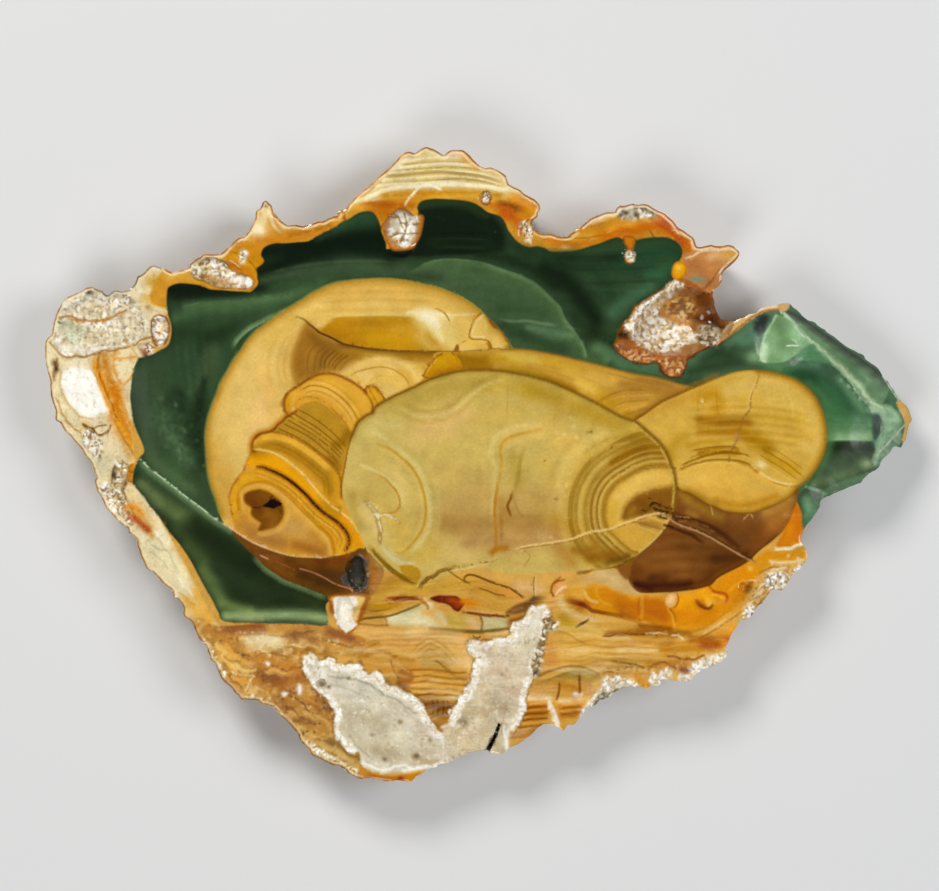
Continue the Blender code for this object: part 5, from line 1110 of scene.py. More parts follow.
# ------------------------------------------------------------------ the fold, the centre egg, the third egg and the brown egg
FOLD_TOP = [(501, 348.5), (511.3, 348.5), (526.7, 349.1), (539.4, 351), (552.3, 353.6), (558.5, 354.7), (577.7, 359.2), (596.9, 363.7), (616.2, 368.8), (635.4, 373.3), (654.6, 376.5), (667.4, 379.7), (677.7, 382.9), (690, 386)]
CENTRE = [
    (345, 503), (342.5, 492), (342.8, 482), (345, 470), (350, 445), (356, 428), (360, 421.5), (367.7, 415.8), (372.8, 413.8), (376.7, 407.4),
    (384.4, 402.3), (391.4, 398.5), (402.3, 393.3), (413.8, 388.2), (424.1, 383.1), (433.1, 379.2), (443.3, 376), (452.3, 373.5),
    (462.6, 371.5), (475.4, 370.9), (488.2, 370.9), (501, 371.8), (513.8, 373.5), (526.7, 376), (539.5, 379.2), (548.2, 381.7),
    (562.3, 387.4), (575.1, 393.2), (586.7, 399), (596.9, 404.1), (607.2, 409.9), (617.4, 415.6), (627.7, 420), (635.4, 422.1),
    (643.1, 428.5), (652, 436.2), (659.7, 443.8), (664.9, 451.5), (668.7, 459.2), (671.3, 466.9), (673.8, 473.3), (675.1, 481),
    (675.8, 490), (675.1, 499), (673.8, 508), (671, 517), (665, 528), (657, 538), (645, 549), (632, 558), (615, 566),
    (598, 569), (575, 571), (556, 572), (530, 574), (505, 573), (480, 568), (455, 572), (425, 583), (395, 575), (372, 558), (357, 530), (350, 515),
]
EGG3 = [
    (632.8, 420.8), (643, 414.4), (651, 408.5), (662.8, 400.9), (675.6, 395.1), (688.5, 389.4), (701.3, 384.2), (711.5, 379.7),
    (721.8, 375.9), (732.1, 372.7), (742.3, 370.8), (752.6, 370.1), (762.8, 370.4), (773.1, 371.8), (783.3, 374.6), (793.6, 378.5),
    (802.6, 383.6), (810.3, 390), (815.4, 396.4), (819.2, 402.8), (822.4, 410.5), (825, 419.5), (826.7, 429.7), (826.9, 440),
    (825.6, 449), (822.4, 457.9), (817.9, 466.9), (811.5, 475.9), (805.1, 482.3), (798.7, 487.4), (794.9, 492.6), (789.7, 497.7),
    (782.1, 502.2), (773.1, 506.7), (765.4, 509.2), (757.7, 512.4), (750, 514), (739.7, 514), (729.5, 513.1), (721.8, 511.2),
    (715.4, 507.9), (707.7, 505.4), (700, 500.3), (692.3, 495.8), (684.6, 492.6), (675.6, 491.9),
]
INNER = [(676, 468), (667.4, 466.8), (660, 466.3), (649, 467.2), (638.7, 471), (628.5, 476.5), (618.8, 482.5), (611.8, 489.4), (607.3, 497), (605, 506.5),
         (604.8, 516), (606.3, 524), (608.7, 528.5), (615.1, 534.9), (621.5, 541.3), (627.9, 546.4), (635.6, 551)]


def fold(p):
    body = DARK_LINE[12:] + FOLD_TOP[1:] + [(700, 392), (680, 402), (660, 414), (640, 428), (600, 440), (520, 400), (440, 400), (415, 395), (424, 376), (432, 362), (438, 355)]
    p.fill([(436, 352.5), (460, 351.8), (488, 349.7)] + FOLD_TOP + [(700, 392), (680, 400), (660, 412), (640, 428), (600, 430), (520, 400), (440, 400), (415, 395), (424, 376), (432, 362)], "#c3963a", soft=0.9)
    p.only([(436, 352.5), (460, 351.8), (488, 349.7)] + FOLD_TOP + [(700, 392), (680, 400), (660, 412), (640, 428), (600, 430), (520, 400), (440, 400), (415, 395), (424, 376), (432, 362)], soft=1.0)
    p.wash([(458, 358), (472, 361), (486, 361)], "#9b6c04", 6, 0.95)
    p.wash([(464, 366), (476, 368), (490, 368)], "#95640d", 3.5, 0.8)
    p.wash([(494, 358), (504, 359), (514, 361)], "#bd9226", 4.5, 0.85)
    p.wash([(512, 357), (524, 358.5), (540, 361)], "#d3b350", 4.5, 0.9)
    p.wash([(500, 354), (520, 355), (535, 357)], "#cfae4c", 2.5, 0.6)
    p.wash([(500, 370), (520, 371), (540, 375)], "#a07c1c", 3.5, 0.85)
    p.wash([(545, 361), (560, 364), (575, 368)], "#c99f31", 5, 0.85)
    p.wash([(545, 378), (560, 384), (574, 390)], "#93660a", 3.5, 0.85)
    p.wash([(566, 372), (580, 378), (592, 386)], "#d9ad48", 6.5, 0.9)
    p.wash([(578, 382), (588, 388), (598, 394)], "#e6bc52", 4.0, 0.9)
    p.wash([(592, 376), (606, 380), (622, 384)], "#d8a94e", 6, 0.85)
    p.wash([(600, 398), (612, 402), (624, 408)], "#c08f20", 6, 0.85)
    p.wash([(620, 406), (634, 406), (646, 406)], "#cf9d3c", 5, 0.8)
    p.wash([(626, 414), (634, 417), (640, 416)], "#b07c1a", 3, 0.7)
    p.wash([(622, 384), (640, 386), (660, 390), (676, 390)], "#ab7a30", (5, 7, 7, 5), 0.9)
    p.wash([(640, 378), (656, 380), (672, 384)], "#9b7034", 4, 0.8)
    p.wash([(616, 394), (630, 396), (646, 398)], "#bd8a38", 4.5, 0.7)
    p.bands(FOLD_TOP, [(-4.5, "#c79a3c", 0.0), (-2.4, "#b98630", 0.6), (-0.8, "#8f6a26", 0.9), (0.5, "#6f6a34", 0.9)], fade=0.0)
    for line, c, w, o in (
        ([(596, 404), (602, 399.5), (609.7, 395.1), (620, 391.3), (630, 390), (648, 390)], "#93651a", 1.4, 0.65),
        ([(602, 405), (610, 400), (622, 396.5), (640, 395.5), (656, 395)], "#e0b258", 1.4, 0.5),
        ([(612, 410), (618, 404.5), (628, 401.5), (642, 400.5), (654, 399)], "#9a6a1c", 1.3, 0.6),
        ([(618, 413), (625.1, 409.8), (635.4, 406.9), (648.2, 404.4)], "#dfb055", 1.4, 0.55),
        ([(624, 416), (632, 412.5), (642, 409.4), (650, 406.6)], "#91601a", 1.4, 0.6),
        ([(560, 369), (590, 378), (612, 388)], "#e8c266", 1.3, 0.35), ([(530, 363), (570, 372), (600, 384)], "#a97c24", 1.3, 0.3),
        ([(520, 366), (552, 372), (578, 382)], "#a87a20", 1.3, 0.4), ([(600, 371), (640, 381), (676, 388)], "#8a6126", 1.3, 0.4),
    ):
        p.stroke(line, c, w, 1.0, o, fade=0.15)
    p.only()
    p.stroke(FOLD_TOP, "#59501f", (0.8, 0.9, 1.0, 1.1, 1.0), 0.8, 0.6, fade=0.04)
    p.bands(FOLD_TOP, [(0.6, "#39552c", 0.0), (1.6, "#3d5a32", 0.6), (4, "#3d5a32", 0.0)], fade=0.04)
    # orange wing
    wing = [(442.1, 353.4), (436.9, 356.2), (431.8, 362.6), (426.7, 369), (422, 375.5), (424.1, 377.4), (434.4, 379.6), (439.5, 376.4), (449.7, 373.6), (458.7, 372.6), (463, 371.5), (463.6, 367.7), (461.3, 361.3), (457.4, 356.2), (452.3, 353.4)]
    p.fill(wing, "#c48f14", soft=0.8)
    p.only(wing, soft=0.9)
    p.wash([(438, 360), (448, 358), (456, 360)], "#cd9c1d", 4.5, 0.85)
    p.wash([(430, 374), (442, 372), (454, 369), (460, 368)], "#a56d0d", 2.8, 0.85)
    p.wash([(450, 362), (458, 366)], "#b87b12", 3, 0.6)
    p.only()
    p.stroke([(422.8, 376), (430, 378.8), (438, 377), (445, 374.8), (455, 372.7), (463, 371.6)], "#744208", (1.0, 1.8, 2.2, 1.6), 0.8, 0.9, fade=0.05)
    p.stroke([(442.1, 353.6), (436.9, 356.2), (431.8, 362.6), (426.7, 369), (422.3, 375.6)], "#8c5710", 1.5, 0.7, 0.9)
    p.stroke([(438, 358), (433, 364), (428, 370), (425.5, 374)], "#dcb04a", 1.3, 0.8, 0.75, fade=0.1)
    p.stroke([(452.3, 353.4), (457.4, 356.2), (461.3, 361.3), (463.6, 367.7), (463, 371.5)], "#8e5a0b", 1.2, 0.7, 0.8)


def centre_egg(p):
    p.fill(CENTRE, "#cbb060", soft=0.8)
    p.only(CENTRE, soft=0.9)
    # broad tones
    p.wash([(352, 500), (352, 470), (362, 436), (380, 412)], "#cfb668", 9, 0.8)
    p.wash([(352, 492), (354, 508), (360, 524)], "#b69746", 5, 0.8)
    p.wash([(395, 405), (425, 394), (460, 384), (500, 381), (535, 386)], "#b89b46", 11, 0.9)
    p.wash([(384, 410), (400, 400), (420, 392)], "#c0a452", 6, 0.5)
    p.wash([(492, 388), (512, 386), (528, 392)], "#c8a947", 7, 0.65)
    p.wash([(530, 390), (560, 400), (600, 418), (632, 432)], "#b6922f", 10, 0.9)
    p.wash([(586, 406), (606, 418), (626, 430)], "#c2972d", 5, 0.5)
    p.wash([(370, 432), (385, 425), (400, 425)], "#d2bf72", 8, 0.7)
    p.wash([(410, 440), (430, 434), (452, 430)], "#dcbc6f", 11, 0.9)
    p.wash([(452, 424), (462, 416), (470, 412)], "#e0c078", 7, 0.7)
    p.wash([(430, 425), (440, 422)], "#e1c178", 7, 0.6)
    p.wash([(480, 418), (500, 414), (520, 412)], "#cfae54", 10, 0.6)
    p.wash([(470, 436), (480, 450), (478, 470)], "#d2b765", 12, 0.7)
    p.wash([(510, 434), (530, 432), (548, 428)], "#dfbd68", 9, 0.85)
    p.wash([(552, 420), (560, 410), (566, 402)], "#cba548", 8, 0.5)
    p.wash([(560, 440), (575, 448), (580, 466), (576, 482)], "#dcb75c", 11, 0.9)
    p.wash([(545, 464), (550, 478), (556, 490)], "#d0b057", 10, 0.7)
    p.wash([(514, 458), (518, 474), (518, 490)], "#bfa34b", (7, 9, 7), 0.9)
    p.wash([(390, 470), (400, 480), (404, 496)], "#dbbf72", 9, 0.7)
    p.wash([(436, 462), (446, 478), (452, 494)], "#cab160", 12, 0.8)
    p.wash([(474, 480), (470, 496), (466, 508)], "#bba258", 12, 0.8)
    p.wash([(366, 512), (374, 522), (380, 534)], "#dfc47a", 8, 0.8)
    p.wash([(364, 495), (378, 500), (388, 508)], "#c5a552", 7, 0.6)
    p.wash([(396, 522), (402, 532), (400, 542)], "#d0ae52", 9, 0.8)
    # pinkish-brown level zone low down
    p.wash([(444, 522), (466, 525), (486, 524)], "#a3813a", (9, 12, 10), 0.92)
    p.wash([(506, 520), (522, 525), (540, 522)], "#a57d34", (9, 11, 10), 0.92)
    p.wash([(500, 500), (504, 510), (500, 524)], "#9c6d1f", 6, 0.6)
    p.wash([(470, 542), (480, 541), (488, 540)], "#aa863e", 7, 0.7)
    p.wash([(500, 541), (516, 542), (528, 540)], "#b0873c", 8, 0.7)
    p.wash([(538, 502), (546, 508), (552, 516)], "#bf9e46", 9, 0.8)
    p.wash([(556, 530), (560, 545), (572, 560)], "#b28235", 10, 0.85)
    p.wash([(560, 522), (576, 530), (590, 542)], "#a97a26", 8, 0.8)
    p.wash([(440, 548), (455, 554), (470, 556)], "#d7b96e", (8, 9, 8), 0.9)
    p.wash([(410, 556), (425, 556), (436, 550)], "#c9a74e", 8, 0.75)
    p.wash([(432, 536), (428, 546), (420, 556)], "#c4a24a", 5, 0.6)
    for k in range(9):
        y = 508 + 4.2 * k
        p.stroke([(428 + 3 * (k % 3), y), (470, y + 0.6), (515, y), (556 - 4 * (k % 4), y + 0.8)], "#c8a663" if k % 2 else "#8f6a28", 1.7, 1.6, 0.11, fade=0.2)
    for x, c, o in ((484, "#d8ba72", 0.2), (478.5, "#8f6d28", 0.12), (489, "#a87c34", 0.14), (470, "#c3a259", 0.12)):
        p.stroke([(x, 448), (x + 0.6, 490), (x - 0.5, 545)], c, 2.2, 1.8, o, fade=0.2)
    # light arc and swirls near the top
    top_arc = [(390, 404), (402.3, 409.4), (412, 414), (421.5, 416.1), (432, 416.6), (442.1, 415.1), (450, 411.5), (457.4, 407.4), (464, 401.6), (470.3, 395.9), (476.5, 391), (483.1, 386.9), (492, 382.6), (501, 379.2), (511.3, 377.3)]
    p.wash([(436, 522), (480, 524), (530, 522)], "#b48a4c", 17, 0.5)
    p.wash([(450, 500), (500, 500), (556, 498)], "#c0955a", 15, 0.4)
    p.wash([(470, 540), (510, 540), (556, 536)], "#bf9160", 12, 0.45)
    p.wash([(426, 426), (440, 420), (456, 416)], "#deb06a", 14, 0.4)
    p.wash([(440, 470), (470, 480), (486, 500)], "#d0a95e", 14, 0.35)
    p.wash([(590, 400), (620, 420), (640, 440)], "#b89740", 14, 0.4)
    p.stroke(top_arc, "#dcc67c", (1.5, 3, 4, 4, 3, 2), 2.0, 0.6, fade=0.12)
    p.stroke(moved(spline(top_arc), -4.5), "#b7983f", 3.0, 2.2, 0.4, curve=False, fade=0.15)
    p.stroke(moved(spline(top_arc), 5.0), "#a98b38", 3.5, 2.4, 0.5, curve=False, fade=0.15)
    p.stroke([(470, 405), (480, 396), (492, 390), (504, 388)], "#d5b45e", 2.0, 1.8, 0.5, fade=0.2)
    # left loops
    loop_a = [(372, 441), (380.5, 445.5), (390.8, 449.4), (399.7, 456.4), (408.7, 464.1), (415.1, 472.4), (420.3, 482.1), (423.5, 492.3), (425.4, 502.6), (426, 511.5), (424.7, 521.8),
              (421.5, 530.8), (416.4, 538.5), (410, 546.2), (403.6, 551.9), (398.5, 553.2), (392.1, 550)]
    outer = [(362, 428), (379, 434.6), (393.3, 444.9), (403.6, 453.8), (415, 464), (421.5, 475.6), (426.7, 488.5), (429.2, 502.6), (429.9, 518), (426.7, 532), (420.3, 542.3), (411.3, 551.3), (403.6, 557.7)]
    p.stroke(outer, "#dccd86", (2.5, 4.0, 4.8, 5.0, 4.5, 3.0), 2.2, 0.65, fade=0.1)
    p.stroke(moved(spline(outer), 5.2), "#bfae5c", 3.0, 2.2, 0.5, curve=False, fade=0.15)
    p.stroke(moved(spline(outer), 9.5), "#d6c172", 3.0, 2.4, 0.35, curve=False, fade=0.2)
    p.stroke(loop_a, "#bf8f2c", (0.8, 1.8, 2.4, 2.4, 2.4, 2.0, 1.4), 0.9, 0.85, fade=0.05)
    p.stroke(moved(spline(loop_a), -3.2), "#dcbc66", 2.2, 1.4, 0.55, curve=False, fade=0.1)
    p.stroke(moved(spline(loop_a), -8), "#c6a04a", 2.2, 1.8, 0.35, curve=False, fade=0.15)
    loop_b = [(370, 471), (379.2, 475.6), (385.6, 479.5), (392.1, 485.9), (397.2, 492.3), (399.7, 500), (399.7, 506.4), (395.9, 511.5), (390.8, 512.8), (385.6, 512.6)]
    p.stroke([(356, 463), (368, 468), (380.5, 474.4), (388, 478.8), (394.6, 484.3), (399.5, 491), (402.3, 499), (402.6, 509)], "#ddcb84", 3.0, 1.6, 0.75, fade=0.1)
    p.stroke(loop_b, "#b9872a", (0.8, 1.6, 2.0, 2.2, 2.0, 1.4), 0.8, 0.85, fade=0.06)
    p.stroke(moved(spline(loop_b), -4), "#d2ac56", 2.4, 1.8, 0.5, curve=False, fade=0.2)
    # upright wavy line in the middle
    p.stroke([(542, 423.1), (526.7, 425.6), (511.3, 428.2), (499.7, 433.3), (493.3, 441), (490.8, 451.3), (493.3, 460.3), (495.4, 467.9), (494.6, 478), (493, 492), (492, 508), (493, 524)], "#e0cd86",
             (2, 3.5, 4, 4.2, 3.6, 3.2, 2.4, 2.0, 1.6), 2.0, 0.6, fade=0.12)
    p.stroke([(546, 429), (531.8, 431.4), (517.7, 434.6), (507.4, 438.5), (501.7, 444.2), (500.2, 451.3), (501.5, 460.3), (501, 470), (499, 480), (497.2, 488.5)], "#c6952e", (1.0, 2.0, 2.6, 2.6, 2.2, 1.6, 1.4), 1.1, 0.8, fade=0.08)
    p.stroke([(548, 435), (532, 437), (519, 440), (510, 445), (507, 453)], "#e3c06a", 2.4, 1.8, 0.6, fade=0.15)
    p.stroke([(498, 482), (497.2, 488.5), (495.3, 500), (494.6, 512.8), (495.3, 523.1), (495.9, 533.3), (495.9, 541), (494.6, 550), (492.1, 555.1), (490.1, 559)], "#b57a22", (1.6, 2.4, 2.8, 2.6, 2.4, 2.2, 1.6), 1.0, 0.85, fade=0.05)
    p.stroke([(501, 512), (501.5, 528), (501.5, 542)], "#8f5e18", 2.2, 1.6, 0.5, fade=0.2)
    p.wash([(492, 552), (498, 549), (506, 548)], "#b06c18", 3.0, 0.9)
    # dark hook and upright shade right of it
    p.stroke([(511.5, 492), (510.6, 498.7), (508.7, 502.6), (507.4, 506.4), (508.7, 510.3), (510, 514.1), (512, 517.5)], "#86510b", (1.2, 2.4, 2.6, 2.4, 1.4), 0.8, 0.9, fade=0.05)
    p.stroke([(525.4, 444.7), (521.5, 456), (519, 469.2), (517.3, 482), (513, 494)], "#96762b", (1.6, 2.6, 3.2, 2.6, 1.4), 1.6, 0.55, fade=0.15)
    p.stroke([(508, 380), (507.5, 400), (507, 420)], "#93772c", 1.2, 1.1, 0.35, fade=0.25)
    p.stroke([(512, 488), (514, 500), (519, 512), (526, 520)], "#946220", 1.6, 1.4, 0.4, fade=0.2)
    # pale flecks on the right side
    p.sprinkle([(556, 395), (600, 425), (580, 470), (570, 500), (545, 500), (558, 450), (545, 410)], "#f0da92", 4.2, 0.6, 0.7, 19, size=0.55, soft=8)
    p.sprinkle([(548, 488), (566, 488), (566, 502), (548, 502)], "#ead38a", 3.5, 0.6, 0.6, 20, size=0.6, soft=4)
    # bands round the inner egg
    right_part = [(600, 400), (640, 420), (672, 455), (678, 480), (640, 475), (615, 495), (612, 520), (640, 548), (600, 575), (545, 580), (535, 500), (545, 440)]
    p.only(CENTRE, soft=0.9)
    ramp = [
        (-0.2, "#7d4e0c", 0.95), (1.6, "#93620f", 0.95), (3.6, "#ad7d22", 0.95), (6.2, "#cfa84c", 0.9), (8.6, "#8a5c0e", 0.9), (11.6, "#c29a3e", 0.85), (14.6, "#86590d", 0.9),
        (18.0, "#a37721", 0.9), (22.0, "#b28a2e", 0.85), (26.0, "#d0ab4e", 0.8), (29.5, "#a27b22", 0.85), (34.0, "#8c6510", 0.9), (38.0, "#c79f3f", 0.75), (43.0, "#d9b557", 0.6), (50.0, "#dfbe66", 0.0),
    ]
    p.bands(INNER[::-1], ramp[::1], op=0.74, wob=(0.6, 30, 8))
    p.only([(604, 424), (640, 426), (676, 458), (678, 474), (640, 474), (622, 482), (606, 470), (592, 448)], soft=5)
    p.wash([(612, 462), (630, 452), (650, 446), (664, 452)], "#8c5f0d", (4, 8, 9, 6), 0.85)
    p.wash([(640, 440), (652, 446), (662, 454)], "#a77d22", 5, 0.5)
    p.only(CENTRE, soft=0.9)
    for k, off in enumerate((4.8, 7.4, 10.0, 13.0, 16.2, 20.0, 24.0, 28.0, 31.5, 36)):
        p.stroke(moved(spline(INNER[::-1]), off), "#73480b" if k % 2 else "#e0bd66", 1.0, 0.8, 0.5 if off < 20 else 0.3, curve=False, wob=(0.5, 26, 30 + k), fade=0.1)
    arc = [(556, 505), (558, 486), (564, 468), (575, 452), (590, 440), (605, 432), (622, 428)]
    p.stroke(arc, "#e2c26a", (4, 8, 10, 9, 6), 3.5, 0.6, fade=0.2)
    p.stroke(moved(spline(arc), 9), "#caa549", 3, 2.4, 0.4, curve=False, fade=0.2)
    p.stroke([(580, 458), (592, 447), (606, 440), (622, 436)], "#a97f26", 2.6, 1.8, 0.5, fade=0.2)
    p.stroke([(588, 463), (600, 452), (616, 445), (634, 442)], "#dcb65c", 2.2, 1.6, 0.5, fade=0.2)
    # below the crack: brownish end
    p.wash([(590, 558), (602, 556), (616, 554)], "#8f5e14", (6, 7, 6), 0.85)
    p.wash([(574, 550), (584, 552), (594, 548)], "#97651a", 5, 0.7)
    p.wash([(608, 562), (618, 560), (628, 556)], "#6f4a0e", 4, 0.8)
    # the yellow inner egg
    inner = INNER + [(646, 546), (654, 539), (660, 531), (667, 524), (672, 514), (674, 500), (675.5, 490), (675, 480)]
    p.fill(inner, "#deb455", soft=0.9)
    p.only(inner, soft=1.0)
    p.bands(INNER[::-1], [(-9, "#deb455", 0.0), (-4.5, "#d4aa45", 0.5), (-1.5, "#b98d30", 0.8), (-0.3, "#9d701e", 0.6)])
    p.stroke(INNER[::-1], "#8a5b12", 1.7, 1.0, 0.75, wob=(0.5, 18, 77))
    p.wash([(652, 476), (640, 480), (628, 488), (620, 498)], "#e7c062", 5.5, 0.85)
    p.wash([(664, 475), (670, 482)], "#ddb152", 5, 0.7)
    p.wash([(613, 504), (612, 516), (616, 526)], "#d6aa3e", 5, 0.7)
    hollow = [(622, 520), (622.5, 511), (626.7, 504), (633, 497.4), (643.3, 492.6), (654.9, 489.6), (666.4, 488.2), (676, 487), (678, 520), (664, 513), (652, 513), (642, 515.6), (631.8, 519)]
    p.fill(hollow, "#87591a", soft=3.0)
    p.wash([(640, 503), (646, 508), (642, 512)], "#7a4f12", 5, 0.8)
    p.wash([(652, 492), (664, 489), (674, 489)], "#96671a", 3, 0.7)
    p.wash([(634, 508), (630, 514)], "#a2772c", 3, 0.6)
    p.fill([(607, 529.5), (620.3, 525.5), (631.8, 521.5), (640, 520), (652, 519), (664, 524), (660, 532), (652.3, 541.3), (644.6, 547.7), (639.5, 551), (631.8, 549.5), (624, 542.6), (616.4, 536.2)], "#d0a244", soft=0.8)
    p.wash([(622, 533), (634, 536), (644, 540)], "#d4a744", 5, 0.7)
    p.wash([(612, 530), (616, 534)], "#bd9230", 3, 0.6)
    p.wash([(640, 524), (652, 524), (660, 526)], "#9b702f", 3.2, 0.8)
    p.only()
    # edge of the centre egg
    p.only([(330, 340), (700, 340), (700, 560), (600, 600), (330, 600)], soft=1)
    p.bands(CENTRE[4:46], [(-4.5, "#b9993f", 0.0), (-2, "#a98a35", 0.5), (-0.4, "#957428", 0.75), (0.4, "#6e4f16", 0.85), (1.5, "#7c5a17", 0.75), (4.0, "#8f6a1e", 0.0)], fade=0.03)
    p.bands(CENTRE[0:16], [(0.0, "#6b4208", 0.0), (0.9, "#7c4d0c", 0.7), (3.2, "#9c6a14", 0.0)], fade=0.06)
    p.stroke(CENTRE[32:45], "#8c5f16", 1.6, 0.7, 0.8, fade=0.04)
    p.stroke(moved(spline(CENTRE[32:45]), -2.0), "#d9b25a", 1.4, 0.8, 0.7, curve=False, fade=0.05)
    p.stroke(CENTRE[16:33], "#7a5a16", (0.7, 0.9, 1.2, 1.3, 1.2), 0.8, 0.7, fade=0.03)
    p.only(CENTRE, soft=0.9)
    p.sprinkle([(380, 400), (640, 430), (660, 470), (560, 540), (360, 540), (350, 460)], "#e9d69a", 7.0, 0.35, 0.25, 22, size=0.4, soft=8)
    p.mottle(CENTRE, 0.030, (14, 6), 81, 3)
    p.mottle(CENTRE, 0.020, 2.6, 83, 2)
    for x, y in ((544.6, 461), (555, 498.7), (589.9, 431.9), (611.7, 447.3)):
        p.fill([(x - 1.1, y), (x, y - 1.2), (x + 1.2, y), (x, y + 1.1)], "#7a5214", soft=0.5, op=0.85)
    p.only()


def stringer(p):
    """An irregular white quartz stringer near the left of the centre egg, and the pale crescent under it."""
    p.stroke([(366, 500), (371, 507), (376.5, 514), (378.5, 523), (380, 532), (379, 543)], "#8a5d1c", (1.8, 3.0, 4.6, 5.6, 4.6, 2.4), 1.2, 0.7, wob=(1.1, 5, 2))
    p.stroke([(378, 516), (386, 514), (394, 518), (399, 523)], "#9a6a24", (3.0, 2.4, 1.8), 1.1, 0.6, wob=(0.8, 4, 3))
    p.stroke([(366, 500), (371, 507), (376.5, 514), (378.5, 523), (380, 532), (379, 541)], "#e6dcb2", (0.9, 1.5, 2.6, 3.3, 2.6, 1.1), 0.8, 0.92, wob=(1.1, 5, 2))
    p.stroke([(378, 516), (386, 514), (394, 518), (398, 522)], "#ece3bf", (1.4, 1.2, 0.9), 0.7, 0.85, wob=(0.8, 4, 3))
    p.stroke([(362, 505), (368, 503), (375, 504)], "#e0d2a0", 1.1, 0.7, 0.6, wob=(0.8, 4, 6))
    p.sprinkle([(372, 508), (382, 512), (384, 540), (375, 540)], "#fffdf0", 3.2, 0.5, 0.9, 23, size=0.5, soft=1.5)
    p.stroke([(381.8, 545), (388.2, 552.6), (397.2, 559.6), (404.9, 562.8), (413.8, 562.8)], "#ccc08a", (3.5, 7, 7.5, 6, 3.5), 1.3, 0.9)
    p.stroke([(385, 547), (392, 553.5), (400, 558.5), (408, 561)], "#b3a45e", 1.8, 1.2, 0.6)
    p.stroke([(368, 546), (372.8, 550.4), (381.8, 560), (390.8, 569.2), (399.7, 575.6), (408.7, 580.8), (415.1, 584.3)], "#7f5c0f", (2, 4.5, 5.2, 5.0, 4.2, 2.6), 1.0, 0.92)
    p.stroke([(377, 551), (386, 560), (395, 567), (404, 571)], "#c6ae5e", 3.0, 1.2, 0.7)
    p.fill([(400, 566), (408, 564.5), (417, 567), (421, 574), (417, 582), (409, 578.5), (402, 573)], "#b78c28", soft=1.2)
    p.stroke([(400, 564.5), (410, 563.6), (419, 567)], "#e7c87a", 1.4, 0.8, 0.7)


